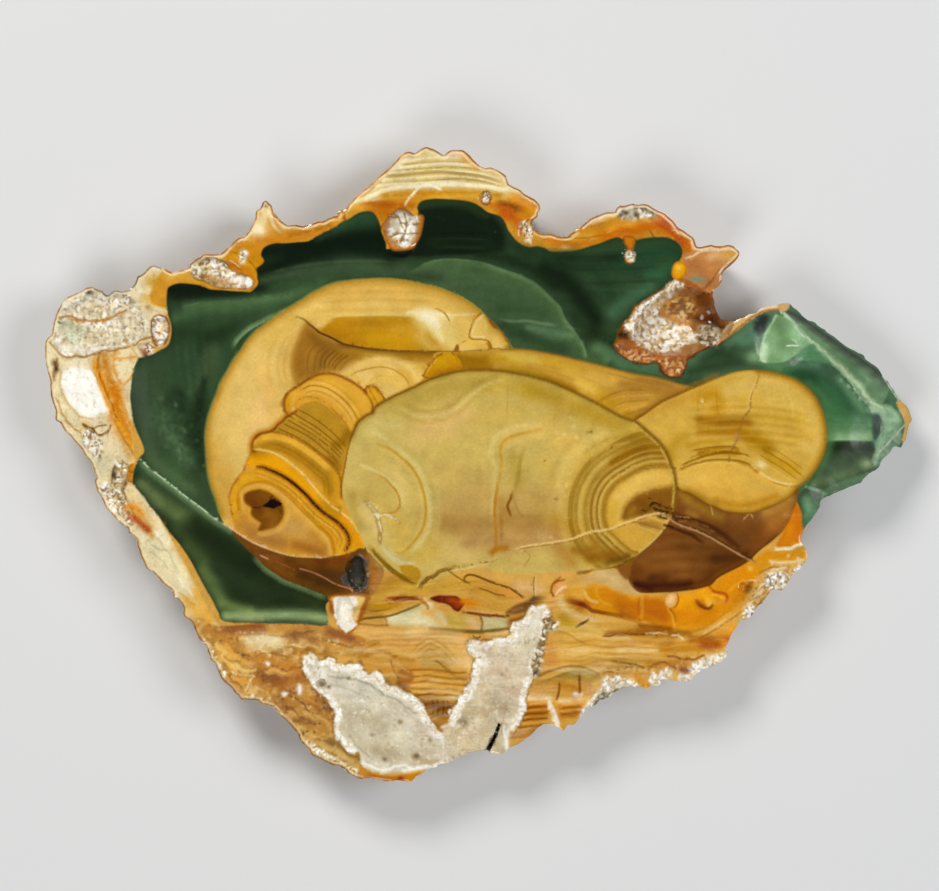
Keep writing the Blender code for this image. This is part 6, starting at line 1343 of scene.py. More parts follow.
def egg3(p):
    body = EGG3 + [(672, 480), (664, 450), (645, 430)]
    p.fill(body, "#d4ab4b", soft=0.9)
    p.only(body, soft=1.0)
    p.wash([(650, 414), (670, 404), (692, 396)], "#c69434", 5, 0.7)
    p.wash([(652, 424), (668, 420), (682, 424), (694, 420)], "#d6ac4b", 8, 0.85)
    p.wash([(680, 408), (692, 402)], "#d2a443", 7, 0.6)
    p.wash([(702, 398), (712, 393), (720, 400), (716, 410)], "#c48f25", 7.5, 0.9)
    p.wash([(730, 392), (745, 386), (765, 382), (785, 386)], "#dfba62", (8, 9, 9, 9), 0.9)
    p.wash([(762, 394), (785, 398), (805, 408), (814, 424)], "#dab65a", 10, 0.85)
    p.wash([(740, 402), (760, 402)], "#d4ab46", 8, 0.6)
    p.wash([(700, 420), (722, 422), (748, 422)], "#99640f", (5, 6, 6), 0.9)
    p.wash([(756, 416), (776, 418), (796, 420)], "#c8a038", 7, 0.7)
    p.wash([(700, 431), (718, 432), (738, 432)], "#a87518", 5, 0.85)
    p.wash([(738, 432), (756, 440), (768, 448)], "#a8760f", (6, 9, 8), 0.92)
    p.wash([(772, 428), (790, 434), (806, 440)], "#cfa444", 8, 0.7)
    p.wash([(804, 446), (814, 450), (818, 440)], "#dfba62", 6, 0.8)
    p.wash([(684, 436), (672, 446), (672, 458)], "#b78c26", 6, 0.6)
    p.wash([(688, 446), (705, 443), (720, 444)], "#bf8f25", 4, 0.6)
    p.wash([(700, 453), (718, 450.5), (736, 452)], "#9a6604", (3, 4, 4), 0.85)
    p.wash([(770, 460), (782, 464), (794, 470)], "#c09221", 6, 0.85)
    p.wash([(740, 465), (748, 470), (756, 472)], "#a8740d", 4, 0.7)
    for k in range(11):
        y = 403 + 4.1 * k
        p.stroke([(676 + 3 * (k % 3), y + 5), (712, y + 1), (750, y), (790, y + 4), (812, y + 10)], "#a8771b" if k % 2 else "#e3bf66", 1.6, 1.3, 0.3, fade=0.18)
    # lower lobe
    lobe = [(674, 470), (690, 466), (712, 463), (738, 464), (756, 471), (768, 478.5), (778, 482.3), (791, 485), (800, 482.5), (796, 491), (788, 498), (776, 504), (762, 510), (748, 513), (730, 512), (716, 507.5), (700, 500), (686, 493), (676, 490)]
    p.fill(lobe, "#dfb14e", soft=1.4)
    p.only(lobe, soft=1.4)
    p.wash([(680, 479), (692, 478), (704, 477)], "#e6bc59", 8, 0.9)
    p.wash([(716, 474), (732, 476), (748, 482)], "#e3b652", 7, 0.7)
    p.wash([(700, 488), (722, 492), (745, 494)], "#d8a544", 6, 0.6)
    p.wash([(756, 484), (772, 490), (786, 490)], "#d4ab50", 6, 0.7)
    p.wash([(716, 501), (736, 505), (758, 503), (776, 496)], "#bb8321", 4.5, 0.85)
    p.wash([(690, 492), (704, 498), (716, 503)], "#ae8029", 3.5, 0.85)
    p.only(body, soft=1.0)
    for line, c, w, o in (
        ([(690, 451), (701, 449), (714, 447), (729.5, 446.4), (739.7, 449)], "#86570a", 1.5, 0.7),
        ([(679.5, 466.3), (692.3, 460.5), (705.1, 456), (717.9, 453.5), (729.5, 452.8), (742.3, 454.1), (752.6, 457.3)], "#835405", 1.8, 0.85),
        ([(676, 471), (688.5, 466.3), (701.3, 461.8), (714.1, 459.9), (726.9, 459.9), (739.7, 461.2), (750, 465), (756.4, 470.8)], "#8f5f08", 2.0, 0.85),
        ([(684, 460), (696, 455.4), (708, 452), (722, 449.8), (738, 450.6)], "#d9ae4c", 1.2, 0.6),
        ([(682, 469.5), (697, 464.6), (712, 462.8), (730, 462.8), (744, 465.5)], "#e9c46a", 1.3, 0.65),
        ([(688, 458.6), (702, 454), (716, 451.6), (734, 451.6)], "#7c4f06", 1.0, 0.5),
        ([(760, 448), (773, 455.4), (786, 463), (796.2, 470.8), (803.8, 477.2)], "#966910", 1.3, 0.7),
        ([(757, 453), (770, 461), (783, 469), (794, 477), (800, 481)], "#9c6f14", 1.2, 0.6),
        ([(764, 444), (780, 453), (793, 461.5), (805, 471)], "#a0741a", 1.1, 0.5),
        ([(758, 459), (771, 467.5), (784, 476), (792, 481)], "#e2bb60", 1.2, 0.55),
        ([(748.7, 463), (758, 470.5), (768, 477.5), (778, 481.8), (791, 484.2), (801.3, 481.8), (808, 476)], "#efd58c", 1.9, 0.85),
        ([(770, 480.6), (780, 484.6), (791, 487), (799, 485.5)], "#93661a", 1.1, 0.6),
        ([(700, 382), (699, 400), (696, 420)], "#a97a22", 1.6, 0.25), ([(716, 384), (717, 402), (718, 420)], "#a06c14", 1.6, 0.3),
        ([(765, 386), (770, 402), (771, 416)], "#eccb7c", 1.8, 0.35), ([(786, 388), (792, 404), (793, 420)], "#edcd80", 1.8, 0.3),
    ):
        p.stroke(line, c, w, 0.8, o, fade=0.1)
    p.glow(761.5, 464.5, 5.5, 4, "#f1dfa4", 0.9, 30)
    p.glow(756.4, 471, 2.5, 2, "#a86f0c", 0.8)
    p.stroke([(758.3, 374), (756.4, 383.6), (752.6, 392.6), (750.6, 401.5), (750, 409.2), (745, 415.6), (742.3, 422), (739.7, 429.7), (737.8, 440), (732, 450.3), (729.5, 455.4), (729, 462)],
             "#94682c", (0.8, 1.3, 1.3, 1.6, 1.5, 1.2), 0.8, 0.75, wob=(1.0, 6, 7))
    p.stroke([(755, 384), (751, 393), (748.8, 402), (748, 409)], "#e8c983", 1.0, 0.8, 0.6)
    p.glow(737, 436, 3, 5, "#b78568", 0.5)
    p.sprinkle([(702, 395), (712, 395), (712, 408), (702, 408)], "#f4e2a8", 3.2, 0.6, 0.8, 24, size=0.6, soft=1.5)
    # edges
    edge = EGG3[11:]
    p.bands(edge, [(-9, "#c8993a", 0.0), (-5, "#bb8b30", 0.5), (-2.2, "#a3761f", 0.85), (-0.5, "#7f5f1c", 0.9), (0.8, "#5e5f28", 0.9)], fade=0.02)
    p.only()
    p.bands(EGG3[11:31], [(-0.5, "#6f6c2c", 0.0), (0.6, "#586832", 0.7), (3.5, "#4d7046", 0.0)], fade=0.05)
    p.stroke(EGG3[:13], "#7b4c0c", (2.4, 2.6, 2.6, 2.2, 1.8, 1.2, 0.8), 1.0, 0.9, fade=0.02)
    p.bands(EGG3[:9], [(0.5, "#a0712c", 0.0), (2.0, "#96672a", 0.6), (7, "#96672a", 0.0)], fade=0.05)
    p.stroke(EGG3[32:], "#6e4409", (1.0, 1.6, 2.2, 2.2, 2.0, 1.8), 0.9, 0.85, fade=0.03)
    p.mottle(body, 0.03, (10, 5), 91, 3)


def brown_egg(p):
    body = [(674, 484), (684.6, 492.6), (700, 500.3), (715.4, 507.9), (729.5, 513.1), (750, 514), (773.1, 506.7), (789.7, 497.7), (798, 488), (797, 500), (793, 512), (788, 523), (781, 533), (771, 542),
            (759.7, 550.8), (749.7, 560.5), (739.5, 567), (726.7, 573.3), (717.7, 578.5), (711.3, 585), (699.7, 588.7), (688.2, 590.6), (675.4, 592), (662.6, 592.6),
            (649.7, 593.2), (639.5, 592.6), (634.4, 589.4), (630.5, 585), (628, 578.5), (627, 568.2), (630, 560), (640, 551), (649.7, 542.6), (657.4, 535), (663.8, 527), (670, 516), (674, 500)]
    p.fill(body, "#7a481c", soft=0.9)
    p.only(body, soft=1.0)
    p.wash([(686, 500), (700, 508), (720, 517)], "#9a7028", (5, 6, 6), 0.92)
    p.wash([(680, 494), (688, 498)], "#9d7528", 4, 0.7)
    p.wash([(688, 512), (696, 516)], "#a17832", 3, 0.8)
    p.wash([(735, 518), (752, 518), (764, 517)], "#87582a", 6, 0.85)
    p.wash([(766, 512), (778, 508), (790, 500)], "#b2813a", (6, 8, 7), 0.95)
    p.wash([(772, 524), (780, 520), (788, 512)], "#b3782f", 7, 0.9)
    p.wash([(768, 534), (776, 530), (782, 524)], "#a06428", 6, 0.7)
    p.wash([(752, 545), (764, 540)], "#7a4618", 6, 0.7)
    p.wash([(700, 530), (722, 538), (745, 540)], "#66401c", (8, 10, 8), 0.85)
    p.wash([(675, 545), (700, 550), (720, 555)], "#6f441a", 11, 0.8)
    p.wash([(652, 549), (664, 552), (676, 556)], "#814f20", 8, 0.85)
    p.wash([(640, 562), (660, 563), (684, 567)], "#8b5825", (5, 7, 7), 0.9)
    p.wash([(640, 572), (652, 572), (664, 574)], "#7b4a1c", 5, 0.7)
    p.wash([(634, 572), (638, 570)], "#6a3610", 6, 0.7)
    p.wash([(684, 572), (696, 572), (706, 570)], "#84531f", 5, 0.7)
    p.wash([(716, 558), (732, 560), (746, 556)], "#4f2a0c", (7, 9, 6), 0.92)
    p.wash([(708, 574), (720, 570), (732, 566)], "#683b0d", 6, 0.8)
    p.wash([(636, 584), (646, 587), (660, 588), (675, 587), (690, 585)], "#3a1601", (4, 6.5, 7, 6, 5), 0.97)
    p.wash([(652, 579), (664, 580)], "#472308", 5, 0.8)
    p.wash([(694, 586), (704, 583), (712, 578)], "#542806", 4, 0.8)
    for k in range(9):
        y = 534 + 6.2 * k
        p.stroke([(640, y + 6), (675, y + 1), (705, y + 1), (740, y - 3)], "#9c6a34" if k % 2 else "#4a270a", 2.0, 1.8, 0.22, fade=0.2)
    p.bands(body[12:25], [(-7, "#8a5a28", 0.0), (-3.5, "#7c4a1a", 0.4), (-1.2, "#5a2f0a", 0.7), (0.5, "#8a4f0e", 0.5)][::1], fade=0.05)
    p.stroke([(710.3, 504.4), (711.5, 509), (712.8, 514)], "#c7a05c", 1.3, 0.8, 0.8)
    p.stroke([(743.6, 519.2), (746.5, 516), (750, 513.6), (752, 516)], "#c9a05a", 1.4, 0.8, 0.8)
    p.glow(786, 515, 2, 2, "#c9995a", 0.7)
    p.mottle(body, 0.07, (20, 5), 93, 3)
    p.only()
    # olive band, cream lens
    olive = [(608, 566), (598.5, 567), (592, 565), (580.5, 556), (575.4, 546.4), (577, 540), (592, 545), (606, 552), (620, 558), (631.8, 556), (641, 549), (636, 558), (631, 566), (629, 576), (620, 571)]
    p.fill(olive, "#8e6114", soft=1.4, op=0.85)
    lens = [(581, 580), (590, 574.5), (602.3, 569), (613.8, 569), (621.5, 574), (628, 581), (634, 589), (638, 594), (621.5, 591.5), (606.2, 584.3), (592, 581.8)]
    p.fill(lens, "#cfa96a", soft=2.0)
    p.wash([(598, 575), (608, 576), (618, 582)], "#dcbc7c", 4, 0.8)
    p.fill([(617.7, 566), (629, 565), (630, 572), (627, 580), (620, 574)], "#84521f", soft=1.6, op=0.9)
    p.stroke([(578, 573), (585.6, 572), (592, 569), (598.5, 567.6), (611.3, 566.3), (621.5, 563), (631.8, 558), (639.5, 551.5)], "#64430a", (1.4, 2.4, 3.4, 3.8, 3.4, 2.6, 1.6), 1.1, 0.92)


def cracks(p):
    """The long light crack, its dark companions and the fine crack system left of it."""
    dark_a = [(668, 512), (676, 514.5), (683, 517), (693.3, 520), (703.6, 524), (713.8, 528.5), (724, 535), (733, 542.6), (742, 548.7)]
    p.stroke(dark_a, "#4a2306", (2.0, 4.0, 5.5, 5.0, 4.0, 2.5), 1.6, 0.85, fade=0.05)
    p.stroke([(670, 527), (676, 529), (683, 531.7), (692, 535), (698.5, 540), (705, 543)], "#40200a", (2.0, 3.2, 3.0, 1.6), 1.1, 0.8, fade=0.05)
    p.stroke([(690, 524), (700, 528), (712, 535)], "#94683a", 1.4, 1.0, 0.6, fade=0.1)
    p.stroke([(676, 521.5), (690, 521), (704, 526), (718, 534)], "#a87f4c", 1.2, 0.9, 0.55, wob=(1.2, 6, 3), fade=0.1)
    main_a = [(514, 549.5), (520, 547.4), (530, 545.4), (539.5, 544.2), (550, 542.8), (560, 541.2), (570.3, 539.4), (581.8, 534.9), (593.3, 531.7), (608.7, 529), (619, 525.3), (630.5, 521.4), (642, 517), (652.3, 514.4), (660, 513.7), (668, 516.6)]
    main_b = [(660, 513.7), (666.4, 517), (674, 522), (683, 526), (693.3, 529.7), (701, 533), (713.8, 539.4), (726.7, 547), (739.5, 554.7), (749.7, 560), (756, 564)]
    p.stroke(moved(spline(main_a), -1.6), "#8a6020", 1.2, 0.8, 0.6, curve=False, fade=0.05)
    p.stroke(main_a, "#e6c37c", (1.4, 2.0, 2.2, 2.4, 2.2, 2.6, 2.2), 0.7, 0.95, wob=(0.7, 5, 4), fade=0.02)
    p.sprinkle([(520, 544), (600, 526), (660, 511), (662, 517), (600, 535), (520, 551)], "#fbe7b0", 3.0, 0.4, 0.8, 26, size=0.55, soft=1)
    p.stroke(moved(spline(main_b), 1.5), "#40200a", 1.2, 0.7, 0.7, curve=False, fade=0.08)
    p.stroke(main_b, "#b68a5c", (2.2, 2.2, 1.8, 1.7, 1.6, 1.5), 0.7, 0.95, wob=(0.5, 6, 5))
    p.stroke([(663, 517), (676, 516.5), (690, 517.5)], "#c9a05c", 1.2, 0.8, 0.7, wob=(0.8, 4, 3))
    # black specks in the hollow
    for line, w in (
        ([(649.7, 506.7), (652.3, 503.4), (655.5, 503.4), (659.5, 506)], 3.6), ([(654, 508.5), (660, 511), (667.7, 512.3)], 3.4), ([(648.4, 497.8), (650.2, 498.6)], 2.0),
        ([(658.7, 515.8), (662, 517.4), (666.4, 518.6)], 2.4), ([(665, 524.8), (669, 526), (672.8, 527.4)], 2.6), ([(672.8, 517.2), (678, 518.2), (684, 518.8)], 2.2),
        ([(660, 503.5), (665, 507), (671, 509.5)], 2.0), ([(643, 510.5), (647, 510)], 1.6),
    ):
        p.stroke(line, "#2c1808", 0.72 * w, 0.8, 0.85, wob=(1.1, 3, 9))
    p.sprinkle([(645, 500), (660, 500), (684, 515), (680, 530), (662, 528), (648, 514)], "#2c1808", 3.6, 0.4, 0.5, 27, size=0.55, soft=3)
    p.stroke([(632, 522), (644, 524), (656, 528), (668, 531)], "#7c5220", 1.2, 0.9, 0.6, wob=(1, 5, 3))
    p.stroke([(640, 527), (650, 531), (660, 534)], "#e0bd78", 1.0, 0.8, 0.5)
    # fine crack system
    p.stroke([(514, 552), (503, 557), (492, 561.5), (483, 562.2), (475.4, 563.5), (463.8, 566), (453.6, 567.3), (444.6, 570), (439.5, 571.2), (434.4, 575.6), (428, 578.2), (422.8, 583.3), (420.3, 587)],
             "#7c5212", (0.8, 1.0, 1.4, 1.8, 2.2, 3.2, 4.2, 3.6), 0.7, 0.88, wob=(0.8, 5, 6))
    p.stroke([(498, 559.3), (484, 564.4), (466, 568.3), (450, 570.6)], "#ecd49a", 1.0, 0.7, 0.6, wob=(0.8, 5, 6))
    p.stroke([(449.7, 571.8), (457.4, 577), (463.8, 580.8)], "#84560f", 1.6, 0.7, 0.85)
    p.stroke([(469, 583), (465, 581.4), (464.5, 577.6), (467.7, 575), (472.8, 575), (480.5, 577.6), (488.2, 580.8), (498.5, 584.6), (508.7, 587.8), (516.4, 592.3), (521.5, 596.2)], "#6f4409", (1.2, 2.0, 2.2, 1.8, 1.8, 2.2, 1.8), 0.7, 0.9)
    p.stroke([(469, 578.5), (480, 581.5), (494, 586.5), (506, 591)], "#d49a36", 1.6, 0.8, 0.8)
    p.stroke([(480.5, 588.5), (488.2, 591), (495.9, 594.2), (503.6, 595.5)], "#7c5010", 1.3, 0.7, 0.8)
    p.stroke([(534.4, 577.5), (533.7, 587.2), (534.4, 597.4)], "#8a6a2c", 1.4, 0.7, 0.8, wob=(0.8, 4, 3))
    p.stroke([(536, 578), (535.6, 588), (536, 596)], "#f0dcb0", 1.0, 0.7, 0.6)
    p.stroke([(560, 577), (557.4, 579.5), (552.3, 584.6), (551, 592.3)], "#99550c", 2.0, 0.8, 0.8)
    p.stroke([(520, 548), (530, 556), (524, 566)], "#a3752c", 1.0, 0.9, 0.5)


# ------------------------------------------------------------------ rims, crusts and the lower half
CRUST = ("#f8f2e0", "#ece2c8", "#dccca4", "#c9b280", "#fdfaf0", "#e6d8b4")
SUGAR = ("#ffffff", "#f7f0dc", "#ecdfbe", "#d8c394", "#faf6ea", "#d2c6a6")
AMBER = ("#d8901f", "#e6b254", "#b9710f", "#efcf8c", "#9c5a0c")

RIM_LEFT = [(30, 270), (60, 250), (120, 255), (160, 250), (200, 240), (200, 300), (168, 312), (150, 345), (138, 380), (132, 420), (134, 458), (138, 480), (160, 520), (190, 575), (216, 622),
            (240, 640), (230, 680), (160, 600), (90, 520), (40, 420)]
RIM_INNER = [(150, 345), (141, 372), (136, 400), (134, 430), (135, 458), (136, 482), (148, 503), (164, 530), (182, 562), (200, 592), (216, 620)]


def rim_edge(p, start, stop, pale, dark, seed, width=2.6):
    """The crisp edge of the rind: a pale line just inside a dark one."""
    line = OUTLINE[start:stop] if start < stop else OUTLINE[start:] + OUTLINE[:stop]
    p.stroke(moved(spline(line), -2.9), pale, (width, width * 1.3, width * 0.7, width * 1.2, width * 0.6, width), 0.9, 0.85, curve=False, wob=(1.0, 13, seed))
    p.stroke(moved(spline(line), -0.9), dark, (1.6, 2.2, 1.2, 2.0, 1.1, 1.8), 0.8, 0.8, curve=False, wob=(0.7, 9, seed + 1))


def rim_left(p):
    """The pale outer rind along the left side, with its crust pocket."""
    p.fill(RIM_LEFT, "#e6d5a8", soft=1.5)
    p.only(RIM_LEFT, soft=1.5)
    p.wash([(62, 352), (58, 380), (64, 408), (76, 430)], "#ecdcae", 12, 0.9)
    p.wash([(80, 372), (84, 395), (86, 412)], "#f4ebd0", 12, 0.9)
    p.wash([(72, 386), (84, 404), (92, 412)], "#fbf6ea", (6, 9, 6), 0.9)
    p.wash([(96, 360), (98, 378), (102, 392)], "#c99a58", 5, 0.85)
    p.wash([(104, 354), (107, 372), (112, 392), (117, 412)], "#cc8426", 4.5, 0.95)
    p.wash([(116, 352), (117, 380), (120, 400)], "#dd9630", 5, 0.8)
    p.wash([(100, 394), (104, 404), (106, 416)], "#e4d2a2", 6, 0.8)
    p.wash([(110, 410), (112, 424), (118, 436)], "#d9a964", 5, 0.7)
    p.wash([(96, 424), (104, 434), (112, 444)], "#ecd8b0", 7, 0.8)
    p.wash([(84, 424), (90, 436)], "#d9b46c", 5, 0.8)
    p.wash([(86, 446), (94, 456), (104, 466)], "#d4cba8", 7, 0.85)
    p.wash([(122, 430), (126, 444), (132, 456)], "#c98d38", 5, 0.8)
    p.wash([(128, 446), (132, 456), (134, 466)], "#e6c67e", 4, 0.7)
    p.fill([(125, 340), (133, 348), (138, 358), (134, 371), (126, 381), (117, 384), (112, 377), (113, 362), (118, 349)], "#ead8a8", soft=1.0, rim=("#d9a24c", 1.8, 0.8))
    p.stroke([(99, 352), (99.5, 370), (103.5, 385), (109.5, 400), (112.6, 415), (119.5, 430), (126.5, 442), (134.5, 455), (140, 457)], "#a8600c", (1.6, 2.4, 2.4, 2.0, 1.6), 0.8, 0.85, wob=(1.0, 9, 41))
    p.stroke([(94, 356), (95, 374), (99, 390), (105, 404)], "#d99c3c", 2.4, 1.0, 0.6, wob=(1.0, 9, 42))
    # lower part: amber inner band, cream panel
    p.wash([(118, 476), (128, 478), (138, 478)], "#cf8d28", (4, 6, 4), 0.9)
    p.wash([(112, 486), (120, 500), (128, 512)], "#ccb184", 8, 0.8)
    p.wash([(132, 494), (142, 508), (152, 522)], "#f0d49a", 5, 0.9)
    p.wash([(138, 480), (150, 503), (166, 530), (184, 560)], "#f4e0b0", (2.5, 3, 4, 4), 0.8)
    p.wash([(128, 506), (140, 518), (150, 530)], "#d5a24a", 5, 0.7)
    p.wash([(146, 538), (160, 548), (174, 562), (186, 578)], "#ede3b8", (7, 9, 9, 7), 0.9)
    p.wash([(160, 530), (172, 545), (184, 562)], "#f0e6c2", 5, 0.7)
    p.wash([(176, 546), (190, 568), (202, 590), (212, 608)], "#dfa848", (3, 4.5, 5.5, 5), 0.85)
    p.wash([(186, 602), (198, 612), (208, 622)], "#e3ac48", (6, 8, 6), 0.9)
    p.wash([(196, 592), (205, 604), (213, 618)], "#e8a836", 5, 0.8)
    p.wash([(190, 622), (204, 630), (216, 636)], "#b47a24", 5, 0.8)
    p.stroke([(194, 628), (204, 630), (215, 631)], "#7d4c10", (1.5, 3.0, 1.5), 1.0, 0.85)
    for line, c, w, o in (
        ([(146, 541), (152, 545), (158, 549), (168, 551)], "#a79a78", 1.3, 0.7), ([(148, 552), (157, 557), (166, 564), (170, 570)], "#b5a883", 1.2, 0.6),
        ([(158, 536), (162, 545), (170, 556), (177, 570)], "#c9ad74", 1.4, 0.6), ([(152, 530), (160, 538), (168, 544)], "#fff8e4", 1.6, 0.8),
        ([(170, 540), (178, 553), (186, 566)], "#c8923a", 1.2, 0.6), ([(176, 574), (184, 584), (192, 596)], "#fbf2d4", 1.8, 0.7),
        ([(140, 524), (150, 534), (156, 546)], "#d2b06a", 1.5, 0.5), ([(180, 590), (190, 602), (198, 606)], "#c48a34", 1.5, 0.5),
    ):
        p.stroke(line, c, w, 0.8, o, fade=0.1, wob=(1.4, 7, 44))
    # white patch, amber band along the green and small dark cracks
    p.fill([(63, 372), (74, 367), (90, 371), (97, 381), (103, 391), (110, 399), (109, 411), (98, 414), (90, 417), (79, 412), (69, 401), (62, 387)], "#fffcf0", soft=1.4, wob=(1.2, 6, 211))
    p.stroke([(96, 364), (99, 374), (103, 386), (108, 398), (114, 412), (122, 428), (131, 442), (138, 453)], "#e39a2c", (6, 8, 9, 9, 8, 6), 2.2, 0.9)
    p.stroke([(113, 384), (117, 398), (122, 412), (129, 428), (136, 444)], "#cf7c16", (6, 9, 9, 8, 5), 2.4, 0.85)
    p.stroke([(97, 360), (100, 374), (105, 389), (111, 403), (117, 417)], "#9c520e", (1.2, 1.8, 1.6), 0.8, 0.8, wob=(0.8, 9, 212))
    p.stroke([(121, 404), (126, 418), (132, 432), (138, 446)], "#f0b864", 2.2, 1.2, 0.6)
    p.fill([(113, 360), (124, 357), (139, 357), (137, 368), (130, 380), (123, 385), (116, 378)], "#f0dfb0", soft=1.0, rim=("#d68a2a", 2.2, 0.9))
    p.stroke([(61, 372), (60, 384), (64, 398), (72, 408), (83, 417), (94, 420)], "#c9a468", 1.8, 0.9, 0.7, wob=(1.2, 8, 213))
    p.stroke([(83, 424), (88, 428), (92, 429), (97, 435), (103, 435), (108, 431), (110, 425)], "#5f3208", (1.8, 2.8, 3.2, 2.4, 2.0, 1.4), 0.8, 0.92, wob=(0.8, 6, 214))
    p.stroke([(92, 429), (99, 426), (106, 425)], "#7a4c16", 1.5, 0.8, 0.8)
    p.stroke([(58, 360), (55, 372), (53, 384)], "#8a5a26", (2.5, 4, 2.5), 1.0, 0.8, wob=(1, 6, 215))
    p.wash([(54, 362), (57, 370)], "#4f3010", 2.6, 0.75)
    p.stroke([(50, 392), (58, 402), (62, 414), (70, 424), (80, 434)], "#a4701f", 1.8, 0.9, 0.7, wob=(1.5, 6, 216))
    p.fill([(112, 470), (116, 463), (123, 461), (128, 467), (129, 478), (125, 489), (119, 495), (113, 489), (111, 480)], "#a99672", soft=1.0, rim=("#5c4524", 1.6, 0.85), wob=(1.0, 5, 45))
    p.glow(114.5, 476, 2.6, 2.4, "#1d130a", 0.95)
    p.glow(121, 472, 3, 3, "#d9cdaf", 0.8)
    p.fill([(127, 470), (131, 464), (138, 464), (143, 470), (142, 480), (135, 484), (128, 480)], "#d0861c", soft=1.2, rim=("#9a5c10", 1.5, 0.8))
    for x, y in ((130, 510), (138, 519), (146, 528), (152, 536), (124, 503)):
        p.glow(x, y, 3.2, 2.6, "#c98a30", 0.75)
    p.glow(149, 308, 3.0, 2.6, "#5a2c10", 0.95)
    # upper part over the pocket
    p.wash([(100, 270), (130, 268), (160, 266)], "#e2c890", 8, 0.7)
    p.wash([(132, 288), (146, 296), (156, 306)], "#ecdfb8", 7, 0.85)
    p.wash([(150, 282), (168, 280), (186, 282)], "#cf9a30", (5, 7, 6), 0.85)
    p.wash([(146, 298), (152, 302)], "#d4a847", 5, 0.8)
    p.wash([(168, 292), (178, 290), (188, 290)], "#a86a14", 3, 0.7)
    p.wash([(160, 306), (166, 312)], "#e7c478", 4, 0.7)
    p.mottle(RIM_LEFT, 0.05, (7, 10), 46, 3)
    p.only()
    p.crystals([(54, 345), (52, 330), (58, 312), (66, 298), (78, 290), (92, 287), (108, 287), (124, 292), (136, 302), (145, 318), (147, 332), (138, 340), (124, 347), (106, 351), (86, 356), (66, 357)],
               ("#f8f2e0", "#ece2c6", "#e2d5b4", "#f3ecd8", "#d8cba6", "#fbf8ee"), 4.2, "#b39a68", 0.3, 47, relief=0.14)
    pocket = [(54, 345), (52, 330), (58, 312), (66, 298), (78, 290), (92, 287), (108, 287), (124, 292), (136, 302), (145, 318), (147, 332), (138, 340), (124, 347), (106, 351), (86, 356), (66, 357)]
    p.only(pocket, soft=2)
    p.wash([(66, 324), (76, 330), (88, 334)], "#97956c", (6, 8, 6), 0.6)
    p.wash([(92, 304), (108, 310), (120, 318)], "#b0935e", (4, 5, 4), 0.4)
    p.wash([(84, 338), (104, 338), (126, 334)], "#a58c58", (4, 6, 4), 0.4)
    p.wash([(60, 326), (70, 334), (76, 342)], "#cfd6ba", 6, 0.6)
    p.wash([(62, 300), (80, 294), (100, 293)], "#f0e8d4", 5, 0.7)
    p.wash([(60, 346), (80, 350), (104, 346)], "#efe6d0", 5, 0.75)
    p.wash([(124, 316), (134, 326), (138, 336)], "#d8c8a2", 6, 0.6)
    p.sprinkle(pocket, "#4f3a18", 5.4, 0.6, 0.85, 48, size=0.62, soft=3)
    p.sprinkle(pocket, "#ffffff", 4.0, 0.5, 0.7, 49, size=0.6, soft=2)
    p.stroke([(58, 318), (70, 317), (80, 320.5), (92, 322), (105, 319), (115, 315), (126, 311)], "#b06c14", (1.5, 2.6, 2.8, 2.2), 0.9, 0.85, wob=(1.5, 6, 50))
    p.stroke([(60, 314), (72, 313), (84, 316), (98, 317)], "#f2e6c4", 1.8, 0.9, 0.7, wob=(1.5, 6, 51))
    p.glow(89, 292, 3.4, 2.4, "#120b04", 0.95)
    p.only()
    p.stroke([(50, 342), (57, 350.5), (66, 356), (80, 357), (90, 356), (97, 352.5), (110, 350.5), (122, 348), (135, 346), (140, 341), (150, 337)], "#8d5a1a", (1.4, 2.2, 2.0, 1.6), 0.9, 0.85, wob=(1.2, 7, 52))
    p.stroke([(57, 305), (66, 294), (80, 286.5), (96, 284), (112, 284.5)], "#a87030", 1.6, 0.9, 0.6, wob=(1.2, 7, 53))
    side = [(152, 330), (153, 320), (158, 316), (165, 318), (168, 326), (167, 337), (162, 345), (155, 343)]
    p.stroke(side + side[:1], "#7c3a0c", 3.4, 1.0, 0.9)
    p.crystals(side, ("#fffaf0", "#f0e6cc", "#ffffff", "#dcc89a"), 4.2, "#9c7440", 0.3, 54, relief=0.14)
    p.crystals([(144, 350), (147, 344), (153, 344), (153, 352), (147, 356)], SUGAR, 3.0, "#7a3a18", 0.4, 55, relief=0.2)
    p.wash([(141, 346), (144, 352), (148, 357)], "#7a2c08", 2.6, 0.8)
    p.sprinkle([(82, 430), (98, 440), (100, 458), (86, 458)], "#fffdf4", 3.5, 0.6, 0.85, 56, size=0.8, soft=3)
    p.sprinkle([(82, 430), (98, 440), (100, 458), (86, 458)], "#7f6d44", 4.5, 0.5, 0.8, 57, size=0.6, soft=3)
    rough = [(98, 486), (110, 484), (120, 492), (127, 505), (124, 517), (114, 514), (104, 504)]
    p.crystals(rough, ("#f7f0de", "#e8ddc0", "#fffdf4", "#d6c59a"), 3.6, "#8d7040", 0.32, 58, relief=0.14)
    p.crystals([(82, 432), (90, 430), (99, 438), (102, 450), (98, 460), (90, 452), (84, 443)], ("#f7f0de", "#e8ddc0", "#fffdf4", "#d6c59a"), 3.2, "#8d7040", 0.32, 217, relief=0.12)
    p.crystals([(116, 462), (122, 460), (127, 466), (125, 476), (121, 488), (126, 500), (132, 514), (136, 526), (128, 524), (119, 514), (108, 498), (111, 484), (118, 474)], ("#f4ead0", "#e3d4ae", "#fffaf0", "#cbb684"), 3.2, "#8a6a34", 0.32, 218, relief=0.12)
    p.stroke([(122, 460), (129, 470), (126, 482), (123, 490), (128, 502), (135, 516)], "#8f5a18", 1.6, 0.8, 0.8, wob=(1.0, 5, 219))
    p.wash([(131, 517), (139, 522), (148, 530)], "#a63a0c", 3.4, 0.85)
